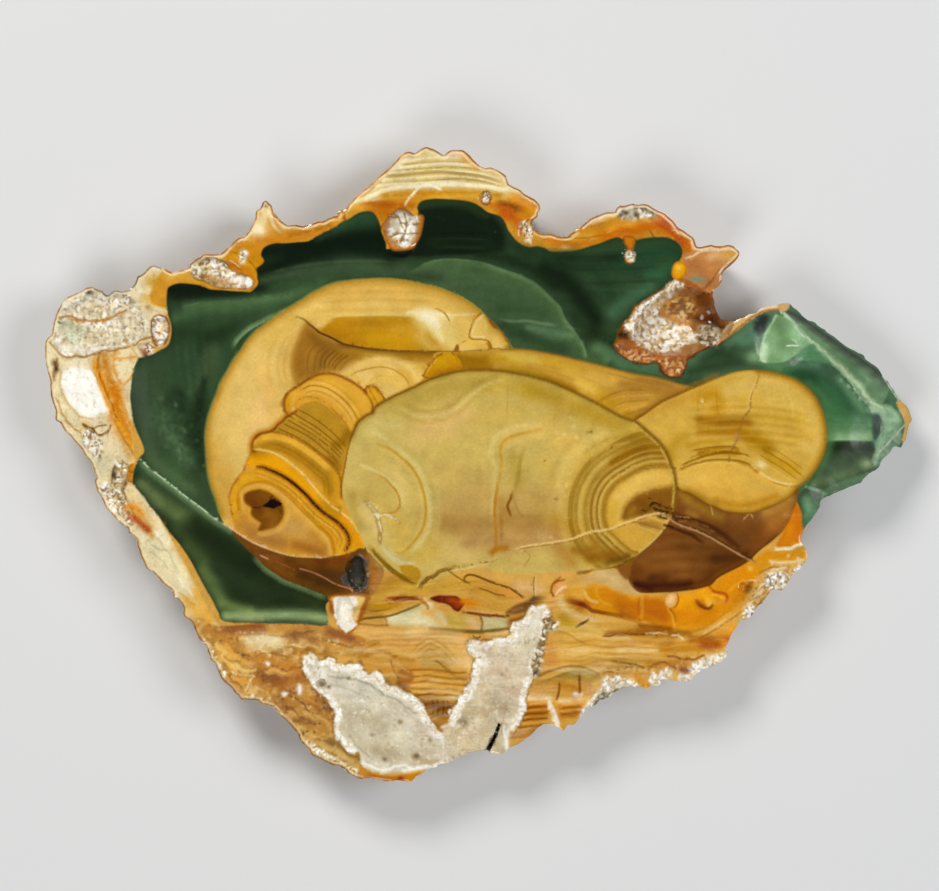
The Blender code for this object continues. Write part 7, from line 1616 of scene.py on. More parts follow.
    p.wash([(126, 508), (134, 506), (142, 514)], "#e08a1e", 3.4, 0.8)
    p.raw([(30, 270), (120, 240), (118, 340), (60, 352), (44, 400), (70, 440), (110, 510), (150, 575), (200, 640), (150, 640), (60, 500)], 0.35, 4)


RIM_TOP = [(150, 300), (180, 250), (230, 220), (262, 190), (300, 195), (350, 190), (380, 165), (420, 140), (470, 140), (530, 175), (600, 195), (650, 195), (700, 240), (745, 235), (750, 260),
           (725, 290), (730, 330), (700, 345), (620, 345), (560, 300), (480, 250), (380, 250), (300, 260), (262, 300), (200, 310)]


def rim_top(p):
    """The banded rind along the top."""
    p.fill(RIM_TOP, "#cf9432", soft=1.5)
    p.only(RIM_TOP, soft=1.5)
    p.wash([(200, 250), (222, 246), (246, 250), (262, 262)], "#c98410", 9, 0.9)
    p.wash([(226, 256), (246, 262), (258, 276)], "#d39520", 7, 0.8)
    p.wash([(172, 276), (184, 274), (198, 280)], "#d4a23c", 7, 0.8)
    p.wash([(250, 286), (256, 292), (258, 298)], "#a8670e", 4, 0.7)
    p.wash([(256, 232), (262, 222), (266, 212)], "#ecd9a0", (7, 7, 4), 0.95)
    p.wash([(262, 204), (266, 205)], "#4d3a1c", 3.4, 0.9)
    p.wash([(258, 240), (268, 240), (280, 238)], "#d1862a", 5, 0.85)
    p.wash([(256, 228), (262, 232)], "#f4ead0", 4, 0.7)
    p.stroke([(262, 212), (266, 208), (270, 216), (274, 226), (280, 232)], "#e8d6a8", 2.6, 1.0, 0.8)
    # band from the peak to the striped triangle
    p.wash([(284, 231), (300, 226), (320, 222), (340, 212)], "#cf9030", 6, 0.85)
    p.wash([(290, 236), (310, 232), (330, 226)], "#b06a14", 3.5, 0.85)
    p.wash([(284, 226), (304, 220), (324, 214), (340, 206)], "#eddcae", 3.4, 0.9)
    p.wash([(342, 214), (350, 222), (358, 226)], "#c88a28", 6, 0.8)
    p.wash([(350, 204), (362, 202), (374, 200)], "#e0b25a", 6, 0.8)
    p.wash([(362, 218), (376, 218), (388, 216)], "#b87218", 6, 0.85)
    p.stroke([(343.5, 212), (344.5, 219), (345, 226)], "#8a5210", 1.8, 0.8, 0.85)
    p.wash([(366, 201), (378, 204), (390, 206)], "#b9610b", 5, 0.85)
    tri = [(352, 203), (366, 195), (384, 178), (400, 162), (412, 152), (424, 148), (440, 150), (458, 152), (476, 156), (490, 164), (505, 176), (524, 192), (520, 200), (480, 198), (440, 195), (400, 198)]
    p.fill(tri, "#d9c07c", soft=1.2)
    p.only(tri, soft=1.2)
    p.wash([(352, 202), (372, 188), (392, 170), (412, 154)], "#efe2b8", 4.5, 0.95)
    for k in range(9):
        y = 158 + 3.0 * k
        p.stroke([(404 - 4.5 * k, y + 4), (425, y + 1), (450, y), (480, y + 3), (505, y + 10)], "#a98c48" if k % 2 else "#f3e6bc", 1.5 + 0.8 * (k % 3), 0.9, 0.85, fade=0.05, wob=(1.4, 40, 61 + k))
    p.stroke([(362, 200), (390, 189), (420, 186), (450, 184.5), (480, 186), (510, 190)], "#f4e8c6", 4.0, 1.0, 0.9, fade=0.04)
    p.wash([(398, 155), (405, 154), (412, 154)], "#7d3a14", 3.0, 0.85)
    p.wash([(452, 154), (459, 153.5), (465, 155)], "#d9a08c", 3.0, 0.85)
    p.wash([(466, 157), (471, 160), (476, 165)], "#cf8620", 4.5, 0.9)
    p.wash([(486, 168), (496, 176), (508, 186)], "#e4c98a", 5, 0.7)
    p.sprinkle([(400, 152), (470, 150), (510, 180), (450, 190), (380, 192)], "#8d7040", 4.5, 0.4, 0.5, 62, size=0.6, soft=3)
    p.only(RIM_TOP, soft=1.5)
    p.wash([(384, 196), (410, 194), (440, 193), (470, 193), (500, 196)], "#c87f0e", 3.6, 0.9)
    p.wash([(380, 205), (398, 205), (412, 206)], "#b05c08", 3.5, 0.8)
    p.stroke([(406, 203), (408.5, 199), (412, 195), (417, 189.5), (420, 186.5), (427, 184.5), (433, 186.5), (440, 189)], "#fbf4de", 2.2, 0.8, 0.9)
    p.wash([(424, 200), (450, 197), (476, 196), (492, 198)], "#dba83e", 3.6, 0.85)
    p.stroke([(486, 186), (500, 188), (512, 190), (524, 192)], "#efe0b4", 3.2, 1.0, 0.85)
    spot = [(483, 196), (485, 192), (489, 193), (490, 199), (487, 204), (483, 202)]
    p.stroke(spot + spot[:1], "#7c3a0a", 3.0, 1.0, 0.85)
    p.crystals(spot, SUGAR, 2.8, "#8d6b40", 0.3, 63, relief=0.2)
    p.wash([(500, 204), (510, 206), (522, 208)], "#6d2f07", (3, 5, 4), 0.85)
    p.wash([(502, 214), (512, 218), (520, 222)], "#bf4f0e", 4.5, 0.85)
    p.wash([(514, 198), (528, 204), (538, 210)], "#d8880f", (5, 6, 4), 0.9)
    p.wash([(524, 212), (530, 218), (536, 226)], "#c87a14", 4.5, 0.8)
    # right part of the rim, up to the vug
    p.wash([(545, 224), (570, 230), (600, 228), (622, 224)], "#cf8d28", (5, 7, 7, 5), 0.9)
    p.wash([(540, 214), (566, 222), (592, 220), (612, 212)], "#eadcb4", (3.2, 3.6, 3.6, 3.4), 0.95)
    p.wash([(556, 240), (580, 244), (604, 240)], "#b46e16", 3.6, 0.85)
    p.wash([(560, 234), (576, 238), (592, 237)], "#d99f3a", 3.5, 0.8)
    p.glow(566, 247, 4, 2.6, "#f3e2b4", 0.9)
    p.wash([(600, 234), (620, 236), (640, 234)], "#c5791a", 5, 0.85)
    p.wash([(636, 226), (650, 228), (664, 232)], "#c9852c", 6, 0.8)
    p.wash([(656, 214), (672, 224), (684, 238), (692, 252)], "#c2640f", (6, 8, 8, 6), 0.95)
    p.wash([(664, 222), (676, 232), (684, 244)], "#a8480a", 4, 0.7)
    p.stroke([(672, 238), (678, 242), (682, 247), (684, 253), (684, 260)], "#eac08c", 1.6, 0.8, 0.85)
    p.wash([(690, 236), (700, 246), (706, 256)], "#cc9048", 5, 0.8)
    p.stroke([(650, 231), (655, 239), (658, 247)], "#8c4a10", 1.4, 0.8, 0.8)
    for line, c, w, o in (
        ([(540, 219), (566, 227), (592, 226), (616, 219)], "#a9742c", 1.5, 0.7), ([(548, 231), (572, 238), (598, 236), (622, 230)], "#8f560e", 1.4, 0.6),
        ([(286, 229), (306, 223), (328, 216), (342, 208)], "#b48646", 1.2, 0.7), ([(288, 239), (310, 235), (332, 229), (346, 231)], "#efcf88", 1.2, 0.6),
        ([(180, 268), (196, 262), (214, 258)], "#efd9a4", 1.6, 0.7), ([(228, 250), (242, 256), (254, 266), (260, 280)], "#8d5510", 1.4, 0.6),
        ([(614, 244), (630, 242), (646, 240)], "#94540e", 1.4, 0.6), ([(640, 218), (658, 226), (672, 238)], "#f0c98c", 1.4, 0.5),
    ):
        p.stroke(line, c, w, 0.8, o, fade=0.1, wob=(1.2, 9, 64))
    p.mottle(RIM_TOP, 0.07, (9, 5), 65, 3)
    for line, c, w, o in (
        ([(596, 240), (616, 233), (636, 229), (654, 227), (668, 231), (680, 242), (688, 256), (690, 266)], "#c2660c", (5, 8, 9, 9, 8, 6), 0.8),
        ([(652, 222), (664, 226), (676, 236), (684, 248)], "#b04a0a", (3, 6, 5, 3), 0.75), ([(604, 232), (622, 226), (640, 223)], "#e3a03c", 3.4, 0.6),
        ([(540, 236), (556, 243), (576, 245), (596, 241)], "#c8741a", (4, 6, 6, 4), 0.75), ([(486, 203), (500, 207), (512, 214), (520, 226), (528, 236)], "#c86a10", (4, 6, 7, 6, 4), 0.8),
        ([(498, 208), (508, 212), (516, 220)], "#a84a0c", 3.0, 0.7), ([(505, 198), (520, 203), (532, 208)], "#dd9226", 5, 0.7),
        ([(362, 214), (374, 210), (386, 212), (392, 220)], "#bb6a10", (4, 7, 7, 4), 0.8), ([(400, 203), (440, 200), (470, 200), (486, 204)], "#cf8a22", 3.0, 0.7),
        ([(260, 244), (280, 240), (300, 238), (322, 231), (340, 222)], "#cb7f20", (4, 5, 5, 4), 0.7), ([(224, 262), (240, 268), (252, 276), (256, 286)], "#cc7c14", (6, 8, 7, 4), 0.8),
        ([(244, 252), (256, 252), (262, 246)], "#d08a28", 6, 0.7), ([(176, 284), (190, 283), (206, 287)], "#c98a2c", 3.5, 0.6),
    ):
        p.stroke(line, c, w, 2.4, o, fade=0.12, wob=(1.2, 10, 252))
    p.only()
    pocket = [(190.8, 265), (193, 262.5), (198, 260.5), (206, 258.5), (213, 258), (219, 261), (225, 263), (229, 269), (236, 273), (243, 275), (249, 277), (253, 281), (252, 285), (247, 288), (240, 288), (230, 287.5),
              (220, 287), (213, 285), (205, 281), (198, 279), (192, 275)]
    p.stroke(pocket + pocket[:1], "#8a5a20", 2.6, 1.0, 0.8)
    p.crystals(pocket, CRUST, 4.0, "#86693a", 0.34, 66, relief=0.14)
    p.only(pocket, soft=1.5)
    p.sprinkle([(190, 262), (206, 262), (206, 280), (192, 280)], "#3a2812", 4.2, 0.7, 0.85, 67, size=0.8, soft=2)
    p.wash([(208, 277), (217, 281), (226, 284)], "#b98d52", 4.5, 0.8)
    p.wash([(236, 279), (244, 281), (250, 284)], "#fbf8f0", 4, 0.85)
    p.only()
    p.crystals([(239, 256), (241, 251), (246, 252), (247, 259), (243, 263), (239, 261)], SUGAR, 3, "#a97c34", 0.3, 68, relief=0.15)
    edge = [(522, 221), (526, 222), (530, 227), (533, 232), (534, 236), (531, 237), (528, 233), (524, 236), (523, 230), (520, 225)]
    p.crystals(edge, SUGAR, 3.0, "#7a5a30", 0.35, 70, relief=0.13)
    p.crystals([(526, 236), (530, 236), (531, 240), (527, 241)], SUGAR, 2.8, "#7a5a30", 0.3, 71, relief=0.2)
    crust = [(615, 208), (624, 203), (636, 202), (648, 206), (657, 211), (656, 217), (644, 219), (630, 219), (618, 217)]
    p.crystals(crust, ("#e6e0ce", "#d2c8b0", "#f3eee0", "#bfb194", "#a8946c"), 3.8, "#7a6440", 0.34, 72, relief=0.13)
    for x, y in ((621, 215), (626, 213), (645, 209.5), (652, 212), (636, 215)):
        p.glow(x, y, 2.2, 1.8, "#22160a", 0.9)
    p.raw([(150, 262), (230, 225), (262, 200), (420, 140), (520, 185), (660, 200), (700, 240), (660, 225), (600, 215), (540, 213), (480, 180), (420, 160), (340, 208), (262, 238), (180, 272)], 0.45, 3)


def drops(p):
    """The small druse drops that hang from the rind into the green."""
    # druse ring hanging in the green
    ring = [(381, 226), (384, 222), (388, 217), (393, 212), (398, 208), (404, 208), (409, 211), (414, 216), (420, 214), (424, 217), (423, 226), (421, 235), (417, 243), (414, 248), (408, 250), (398, 251), (392, 250), (388, 245),
            (385, 238), (383, 231)]
    p.fill(ring, "#c4873c", soft=0.9, rim=("#8a4a10", 2.0, 0.85))
    core = [(389, 222), (394, 214), (400, 211), (406, 213), (412, 217), (418, 217), (417, 224), (415, 229), (416, 235), (413, 241), (408, 246), (402, 247), (397, 243), (391, 237), (388, 230)]
    p.crystals(core, ("#f6f2e6", "#ece6d4", "#ffffff", "#d9d0b8", "#f1ead6"), 6.0, "#8a7448", 0.24, 69, relief=0.14)
    for line in ([(404, 213), (406, 222), (405, 233), (400, 242)], [(392, 236), (399, 233), (405, 233), (416, 233)], [(398, 216), (401, 224), (405, 231)]):
        p.stroke(line, "#6d5326", 1.3, 0.7, 0.75)
    p.stroke([(388, 252.5), (396, 255), (404, 255.5), (412, 252)], "#101208", (1.5, 5, 5, 2), 1.4, 0.9)
    # drip, knob and spur
    p.fill([(624, 236), (634, 237), (635, 244), (633, 250), (634, 256), (635, 261), (630, 264), (625, 261), (625, 254), (627, 248), (624, 243)], "#c97a1c", soft=0.9, rim=("#7c430c", 1.4, 0.7))
    p.crystals([(626, 252), (630, 250), (634, 253), (634, 259), (630, 262), (626, 259)], SUGAR, 3.0, "#9a7a4a", 0.3, 73, relief=0.1)


def vug(p):
    """The open cavity at the upper right with its druse, and the spur behind it."""
    spur = [(684, 256), (700, 248), (716, 246), (732, 246), (746, 250), (742, 262), (732, 274), (724, 286), (718, 296), (712, 306), (694, 300), (684, 282)]
    p.fill(spur, "#bd8148", soft=1.2)
    p.only(spur, soft=1.2)
    p.wash([(690, 262), (700, 270), (708, 284)], "#a8683a", 5, 0.6)
    p.wash([(710, 256), (718, 254), (726, 256)], "#dfae7c", 5, 0.85)
    p.wash([(726, 254), (734, 256), (738, 262)], "#d5a248", 5, 0.9)
    p.wash([(692, 280), (698, 279), (704, 281)], "#6f8f7c", (2.6, 3.4, 2.4), 0.8)
    p.stroke([(686, 258), (702, 252), (718, 249), (736, 250)], "#f2dcb0", 1.8, 0.9, 0.8, wob=(1, 7, 81))
    p.stroke([(700, 292), (710, 282), (720, 270), (732, 262)], "#7c4c20", 1.6, 0.9, 0.7, wob=(1, 7, 82))
    p.only()
    hole = [(673, 281), (668, 285), (663, 290), (655, 295), (648, 299), (640, 303), (634, 308), (632, 315), (628, 320), (622, 326), (618, 334), (616, 342), (614, 346), (620, 353), (627, 358), (635, 360.5), (645, 363), (655, 362),
            (660, 367), (664, 373), (672, 376.5), (680, 375), (684, 369), (688, 360), (695, 353), (705, 348), (715, 344), (724, 340), (733, 333), (730, 322), (722, 308), (714, 298), (704, 290), (692, 282), (682, 278)]
    p.fill(hole, "#a4622a", soft=1.0)
    p.only(hole, soft=1.0)
    p.wash([(664, 300), (676, 310), (690, 318)], "#c49a60", 14, 0.9)
    p.wash([(660, 316), (672, 320), (684, 326)], "#c98a45", 9, 0.8)
    p.wash([(700, 296), (708, 304), (714, 312)], "#754018", 6, 0.85)
    p.wash([(698, 316), (706, 318), (714, 320)], "#6b340e", 5, 0.9)
    p.wash([(714, 322), (720, 327), (727, 331)], "#3a2410", 5, 0.9)
    p.wash([(660, 340), (676, 344), (692, 344)], "#b98a58", 8, 0.8)
    p.wash([(616, 334), (624, 335), (632, 334)], "#171009", 4, 0.9)
    p.wash([(618, 328), (624, 330)], "#6b3d16", 4, 0.7)
    p.wash([(616, 350), (630, 356), (644, 358), (656, 356)], "#b8601a", 5, 0.9)
    p.wash([(662, 364), (672, 370), (682, 366)], "#b06428", (5, 7, 5), 0.9)
    p.only()
    band = [(673, 281), (668, 285), (663, 290), (655, 295), (648, 299), (640, 303), (634, 308), (632, 315), (628, 320), (624, 326), (628, 332), (633, 340), (640, 346), (650, 350), (662, 352), (676, 350), (690, 344), (702, 338),
            (694, 332), (684, 326), (676, 322), (664, 318), (660, 308), (668, 298), (678, 290), (684, 284)]
    p.crystals(band, ("#f8f3e4", "#efe4c8", "#e2cfa4", "#fffdf4", "#d6b984", "#e8dfcc"), 4.2, "#a88350", 0.32, 83, relief=0.26)
    p.crystals([(668, 300), (680, 293), (694, 298), (700, 308), (694, 318), (680, 318), (668, 312)], ("#d7a047", "#c08230", "#e8c27a", "#9c5f20", "#dcbc84"), 4.6, "#8a5a1e", 0.32, 84, relief=0.28)
    p.crystals([(700, 326), (712, 324), (722, 328), (728, 336), (718, 344), (706, 346), (696, 342)], ("#e2dac4", "#c3b493", "#f7f1e0", "#a58d62"), 4.2, "#5c4424", 0.34, 85, relief=0.26)
    p.crystals([(614, 345), (622, 344), (636, 350), (652, 354), (656, 361), (640, 362), (624, 356)], ("#a8641c", "#c8823a", "#8a4a10", "#dba765"), 3.8, "#7c3a0c", 0.32, 86, relief=0.16)
    p.crystals([(660, 360), (672, 358), (686, 360), (682, 372), (672, 376), (663, 370)], ("#b0691c", "#cf8c3c", "#8f5210", "#e0b478"), 3.8, "#7c430c", 0.32, 87, relief=0.16)
    p.sprinkle(band, "#ffffff", 4.2, 0.6, 0.95, 88, size=0.7, soft=2)
    p.sprinkle(hole, "#5c340e", 5.6, 0.5, 0.7, 89, size=0.6, soft=3)
    p.stroke([(673, 281), (663, 290), (648, 299), (634, 308), (630, 318), (620, 330), (614, 346)], "#7c4a14", (1.2, 1.8, 2.0, 1.6), 0.9, 0.7, wob=(1.4, 6, 90))
    p.stroke([(614, 347), (625, 358), (645, 364), (656, 363), (663, 373), (672, 377.5), (682, 375), (688, 361), (705, 349), (724, 341)], "#5c1f08", (1.4, 2.2, 2.0, 1.6), 0.9, 0.75, wob=(1.4, 6, 91))
    blob = [(672, 268), (676, 262), (683, 262), (687, 268), (684, 276), (677, 280), (672, 276)]
    p.fill(blob, "#e8a51c", soft=0.9, rim=("#b06a10", 1.6, 0.8))
    p.glow(678, 268, 3, 2.4, "#f8d46c", 0.8)
    # strip of rind right of the vug
    strip = [(716, 346), (720, 342.8), (729.2, 336.7), (740.5, 328.5), (750.8, 320.3), (761, 314), (769.2, 311), (777.4, 310.5), (786.7, 310.5), (790, 303), (778, 302), (762, 305), (748, 311), (736, 319), (728, 326), (722, 334)]
    p.fill(strip, "#d2aa70", soft=0.8)
    p.stroke([(724, 330), (736, 321), (748, 314), (762, 308.5), (776, 306)], "#ead6ae", 2.6, 0.9, 0.9, wob=(0.8, 6, 92))
    p.stroke([(720, 341.5), (729.2, 335), (740.5, 326.8), (750.8, 318.8), (761, 312.5), (769.2, 310), (778, 309.6)], "#946428", 2.2, 0.8, 0.85, wob=(0.8, 6, 93))


def lower_left(p):
    """Rough brown ground at the lower left."""
    zone = [(196, 620), (218, 626), (260, 624), (300, 622), (326, 622), (334, 628), (352, 634), (366, 640), (360, 655), (330, 656), (303, 656), (309, 672), (322, 690), (337, 708), (339, 735), (350, 748), (361, 754), (366, 768),
            (372, 790), (330, 780), (290, 750), (240, 705), (210, 670)]
    p.fill(zone, "#c0862e", soft=1.2)
    p.only(zone, soft=1.2)
    p.wash([(214, 636), (228, 644), (236, 660)], "#b8802a", 8, 0.8)
    p.wash([(222, 628), (240, 630), (262, 630)], "#96581a", 5, 0.85)
    p.wash([(222, 658), (238, 660), (252, 664)], "#d8a64a", 7, 0.9)
    p.wash([(262, 640), (280, 640), (302, 640)], "#dcb87a", (6, 7, 6), 0.85)
    p.wash([(250, 648), (266, 650), (284, 652)], "#d9b271", 5, 0.75)
    p.wash([(316, 634), (334, 638), (348, 642)], "#bf8a38", 6, 0.8)
    p.wash([(334, 650), (346, 652), (356, 650)], "#d4a452", 6, 0.85)
    p.wash([(296, 650), (310, 651), (324, 652)], "#a9751f", 5, 0.8)
    p.wash([(254, 672), (264, 676), (274, 682)], "#965c10", 8, 0.9)
    p.wash([(276, 676), (284, 682), (292, 688)], "#70370a", 6, 0.85)
    p.wash([(296, 676), (306, 684), (314, 694)], "#b0752e", 7, 0.8)
    p.wash([(244, 688), (254, 694), (264, 700)], "#d0a45c", 7, 0.8)
    p.wash([(274, 698), (284, 706), (294, 714)], "#93601a", 8, 0.85)
    p.wash([(300, 706), (312, 716), (322, 726)], "#b37f30", 9, 0.8)
    p.wash([(318, 690), (326, 702), (332, 718)], "#8a561a", 6, 0.8)
    p.wash([(296, 730), (310, 738), (326, 744)], "#a27624", 9, 0.85)
    p.wash([(328, 742), (342, 748), (352, 758)], "#93691c", (6, 8, 6), 0.85)
    p.wash([(324, 760), (340, 764), (356, 768)], "#c5a55e", 7, 0.85)
    p.stroke([(338, 741), (346, 746), (354, 752), (361, 761)], "#5e5a22", (1.6, 3.0, 2.4), 1.0, 0.85, wob=(1, 6, 101))
    p.mottle(zone, 0.12, (10, 7), 102, 3)
    p.mottle(zone, 0.5, (11, 7), 103, 3, tint="#7c430c", lo=0.25, hi=0.6)
    p.mottle(zone, 0.6, (11, 7), 104, 3, tint="#ecc47a", lo=0.12, hi=0.5)
    for line, c, w, o in (
        ([(212, 642), (230, 652), (250, 656), (272, 654), (296, 656)], "#7c4a10", 1.6, 0.7), ([(240, 634), (262, 636), (290, 634), (318, 630)], "#6b3c0c", 1.4, 0.7),
        ([(256, 645), (276, 646), (300, 646), (324, 646)], "#f0d49c", 1.6, 0.7), ([(230, 676), (246, 682), (262, 690), (276, 702)], "#e6bf7a", 1.6, 0.6),
        ([(262, 662), (276, 668), (290, 670), (306, 668)], "#4f2606", 1.8, 0.7), ([(284, 690), (296, 698), (308, 708), (318, 722)], "#5c3008", 1.6, 0.7),
        ([(306, 660), (314, 672), (324, 684), (334, 698)], "#efdcae", 1.4, 0.5), ([(280, 716), (296, 724), (312, 734), (330, 738)], "#e0b768", 1.6, 0.6),
        ([(300, 744), (318, 750), (338, 756), (352, 762)], "#7a5a14", 1.6, 0.6), ([(318, 636), (330, 643), (346, 646), (360, 644)], "#704410", 1.5, 0.7),
        ([(322, 770), (344, 774), (364, 780)], "#c07a18", 2.4, 0.7),
    ):
        p.stroke(line, c, w, 0.8, o, fade=0.1, wob=(2.4, 8, 105))
    p.sprinkle(zone, "#f6e6c0", 5.0, 0.45, 0.7, 106, size=0.7, soft=3)
    p.sprinkle(zone, "#3c1c04", 5.5, 0.45, 0.75, 107, size=0.7, soft=3)
    for x, y, r in ((299, 690, 4), (283, 695, 3), (266, 662, 4)):
        p.crystals([(x - r, y), (x - r * 0.3, y - r * 0.8), (x + r, y - r * 0.3), (x + r * 0.6, y + r * 0.8), (x - r * 0.5, y + r * 0.7)], SUGAR, 3.0, "#8c5c20", 0.35, 108, relief=0.2)
    p.glow(240, 680, 5, 3, "#d9900f", 0.85)
    p.wash([(258, 658), (276, 664), (294, 668)], "#c0781a", 8, 0.6)
    p.wash([(276, 680), (290, 684), (302, 676)], "#b0640f", 6, 0.55)
    p.wash([(232, 623), (244, 624), (258, 625)], "#8a3f12", 4.5, 0.8)
    p.wash([(288, 636), (302, 636), (316, 640)], "#8f5c22", 5, 0.65)
    p.wash([(330, 632), (340, 635), (350, 638)], "#84421a", 4.5, 0.75)
    p.wash([(248, 640), (262, 640), (278, 642)], "#ecdcae", (6, 8, 6), 0.85)
    p.sprinkle([(240, 633), (252, 630), (266, 634), (282, 640), (272, 650), (252, 652), (243, 645)], "#fff6dc", 3.0, 0.65, 0.8, 241, size=0.7, soft=3)
    p.sprinkle([(240, 633), (252, 630), (266, 634), (282, 640), (272, 650), (252, 652), (243, 645)], "#a8803c", 4.0, 0.5, 0.6, 251, size=0.6, soft=3)
    for line, c, w, o in (
        ([(214, 640), (222, 650), (230, 662), (236, 674)], "#efc468", 5, 0.85), ([(222, 642), (230, 652), (240, 660), (250, 664)], "#e5ab45", 6, 0.85),
        ([(230, 664), (240, 668), (250, 670), (258, 668)], "#f3cd7c", 3.4, 0.85), ([(224, 654), (232, 660), (242, 664)], "#9c6414", 1.8, 0.75),
        ([(228, 672), (238, 674), (248, 675), (256, 674)], "#f6dfae", 1.8, 0.9), ([(228, 673), (234, 681), (242, 689)], "#8a5a16", 1.8, 0.8),
        ([(256, 675), (250, 682), (243, 690)], "#f0d59c", 1.8, 0.9), ([(234, 677), (240, 680), (248, 678)], "#dfa03a", 5, 0.9),
        ([(250, 652), (258, 650), (266, 652), (272, 656)], "#f4dca4", 2.0, 0.8), ([(264, 672), (274, 670), (286, 674)], "#eab65c", 2.6, 0.7),
        ([(300, 712), (312, 716), (326, 722), (334, 732)], "#dcb464", 4.0, 0.6), ([(310, 740), (324, 746), (342, 754), (356, 764)], "#d6b46e", 6.0, 0.7),
        ([(318, 752), (334, 758), (350, 766)], "#e6cf98", 3.0, 0.7), ([(296, 726), (306, 732), (318, 736)], "#e0b050", 3.4, 0.6),
        ([(286, 706), (296, 712), (304, 722)], "#8a4f12", 2.2, 0.7), ([(304, 700), (314, 706), (324, 716)], "#9a5a14", 2.4, 0.7),
    ):
        p.stroke(line, c, w, 1.1, o, fade=0.12, wob=(1.6, 7, 242))
    for spot in ([(297, 684), (301, 683.5), (303, 688), (301.5, 695), (297.5, 695)], [(281, 693), (285, 691), (289, 693), (286, 697), (282, 697)], [(265, 662), (269, 661), (271, 665), (267, 667)]):
        p.fill(spot, "#fdf4e6", soft=0.9, rim=("#a8783c", 1.4, 0.7))
    for crumb in ([(203, 638), (209, 644), (215, 654), (221, 664), (226, 674), (222, 678), (216, 668), (209, 656), (202, 646)], [(248, 694), (258, 696), (268, 701), (278, 708), (284, 718), (280, 722), (272, 712), (260, 704), (246, 699)],
                  [(300, 737), (312, 744), (326, 752), (342, 762), (358, 770), (356, 776), (336, 768), (318, 757), (302, 745)]):
        p.crystals(crumb, ("#f6ead0", "#e3cf9c", "#fffaf0", "#c9ac6a"), 3.4, "#9a7434", 0.32, 243, relief=0.12)
    p.fill([(315, 683), (318, 679), (324, 679), (327, 684), (323, 688), (317, 687)], "#1a0e05", soft=1.2)
    p.raw(zone, 0.4, 4)
    p.detail(zone, 2.4)
    p.only()


LOWER = [(330, 600), (352, 585), (372, 572), (420, 560), (520, 552), (600, 556), (640, 580), (700, 588), (740, 562), (780, 535), (796, 495), (830, 500), (830, 600), (760, 680), (640, 730), (560, 780), (420, 800), (360, 790),
         (330, 700), (340, 650)]
SNOW = ("#fdfaf2", "#f1e8d6", "#e2d3b6", "#ffffff", "#cdb88e", "#dcd6c6")


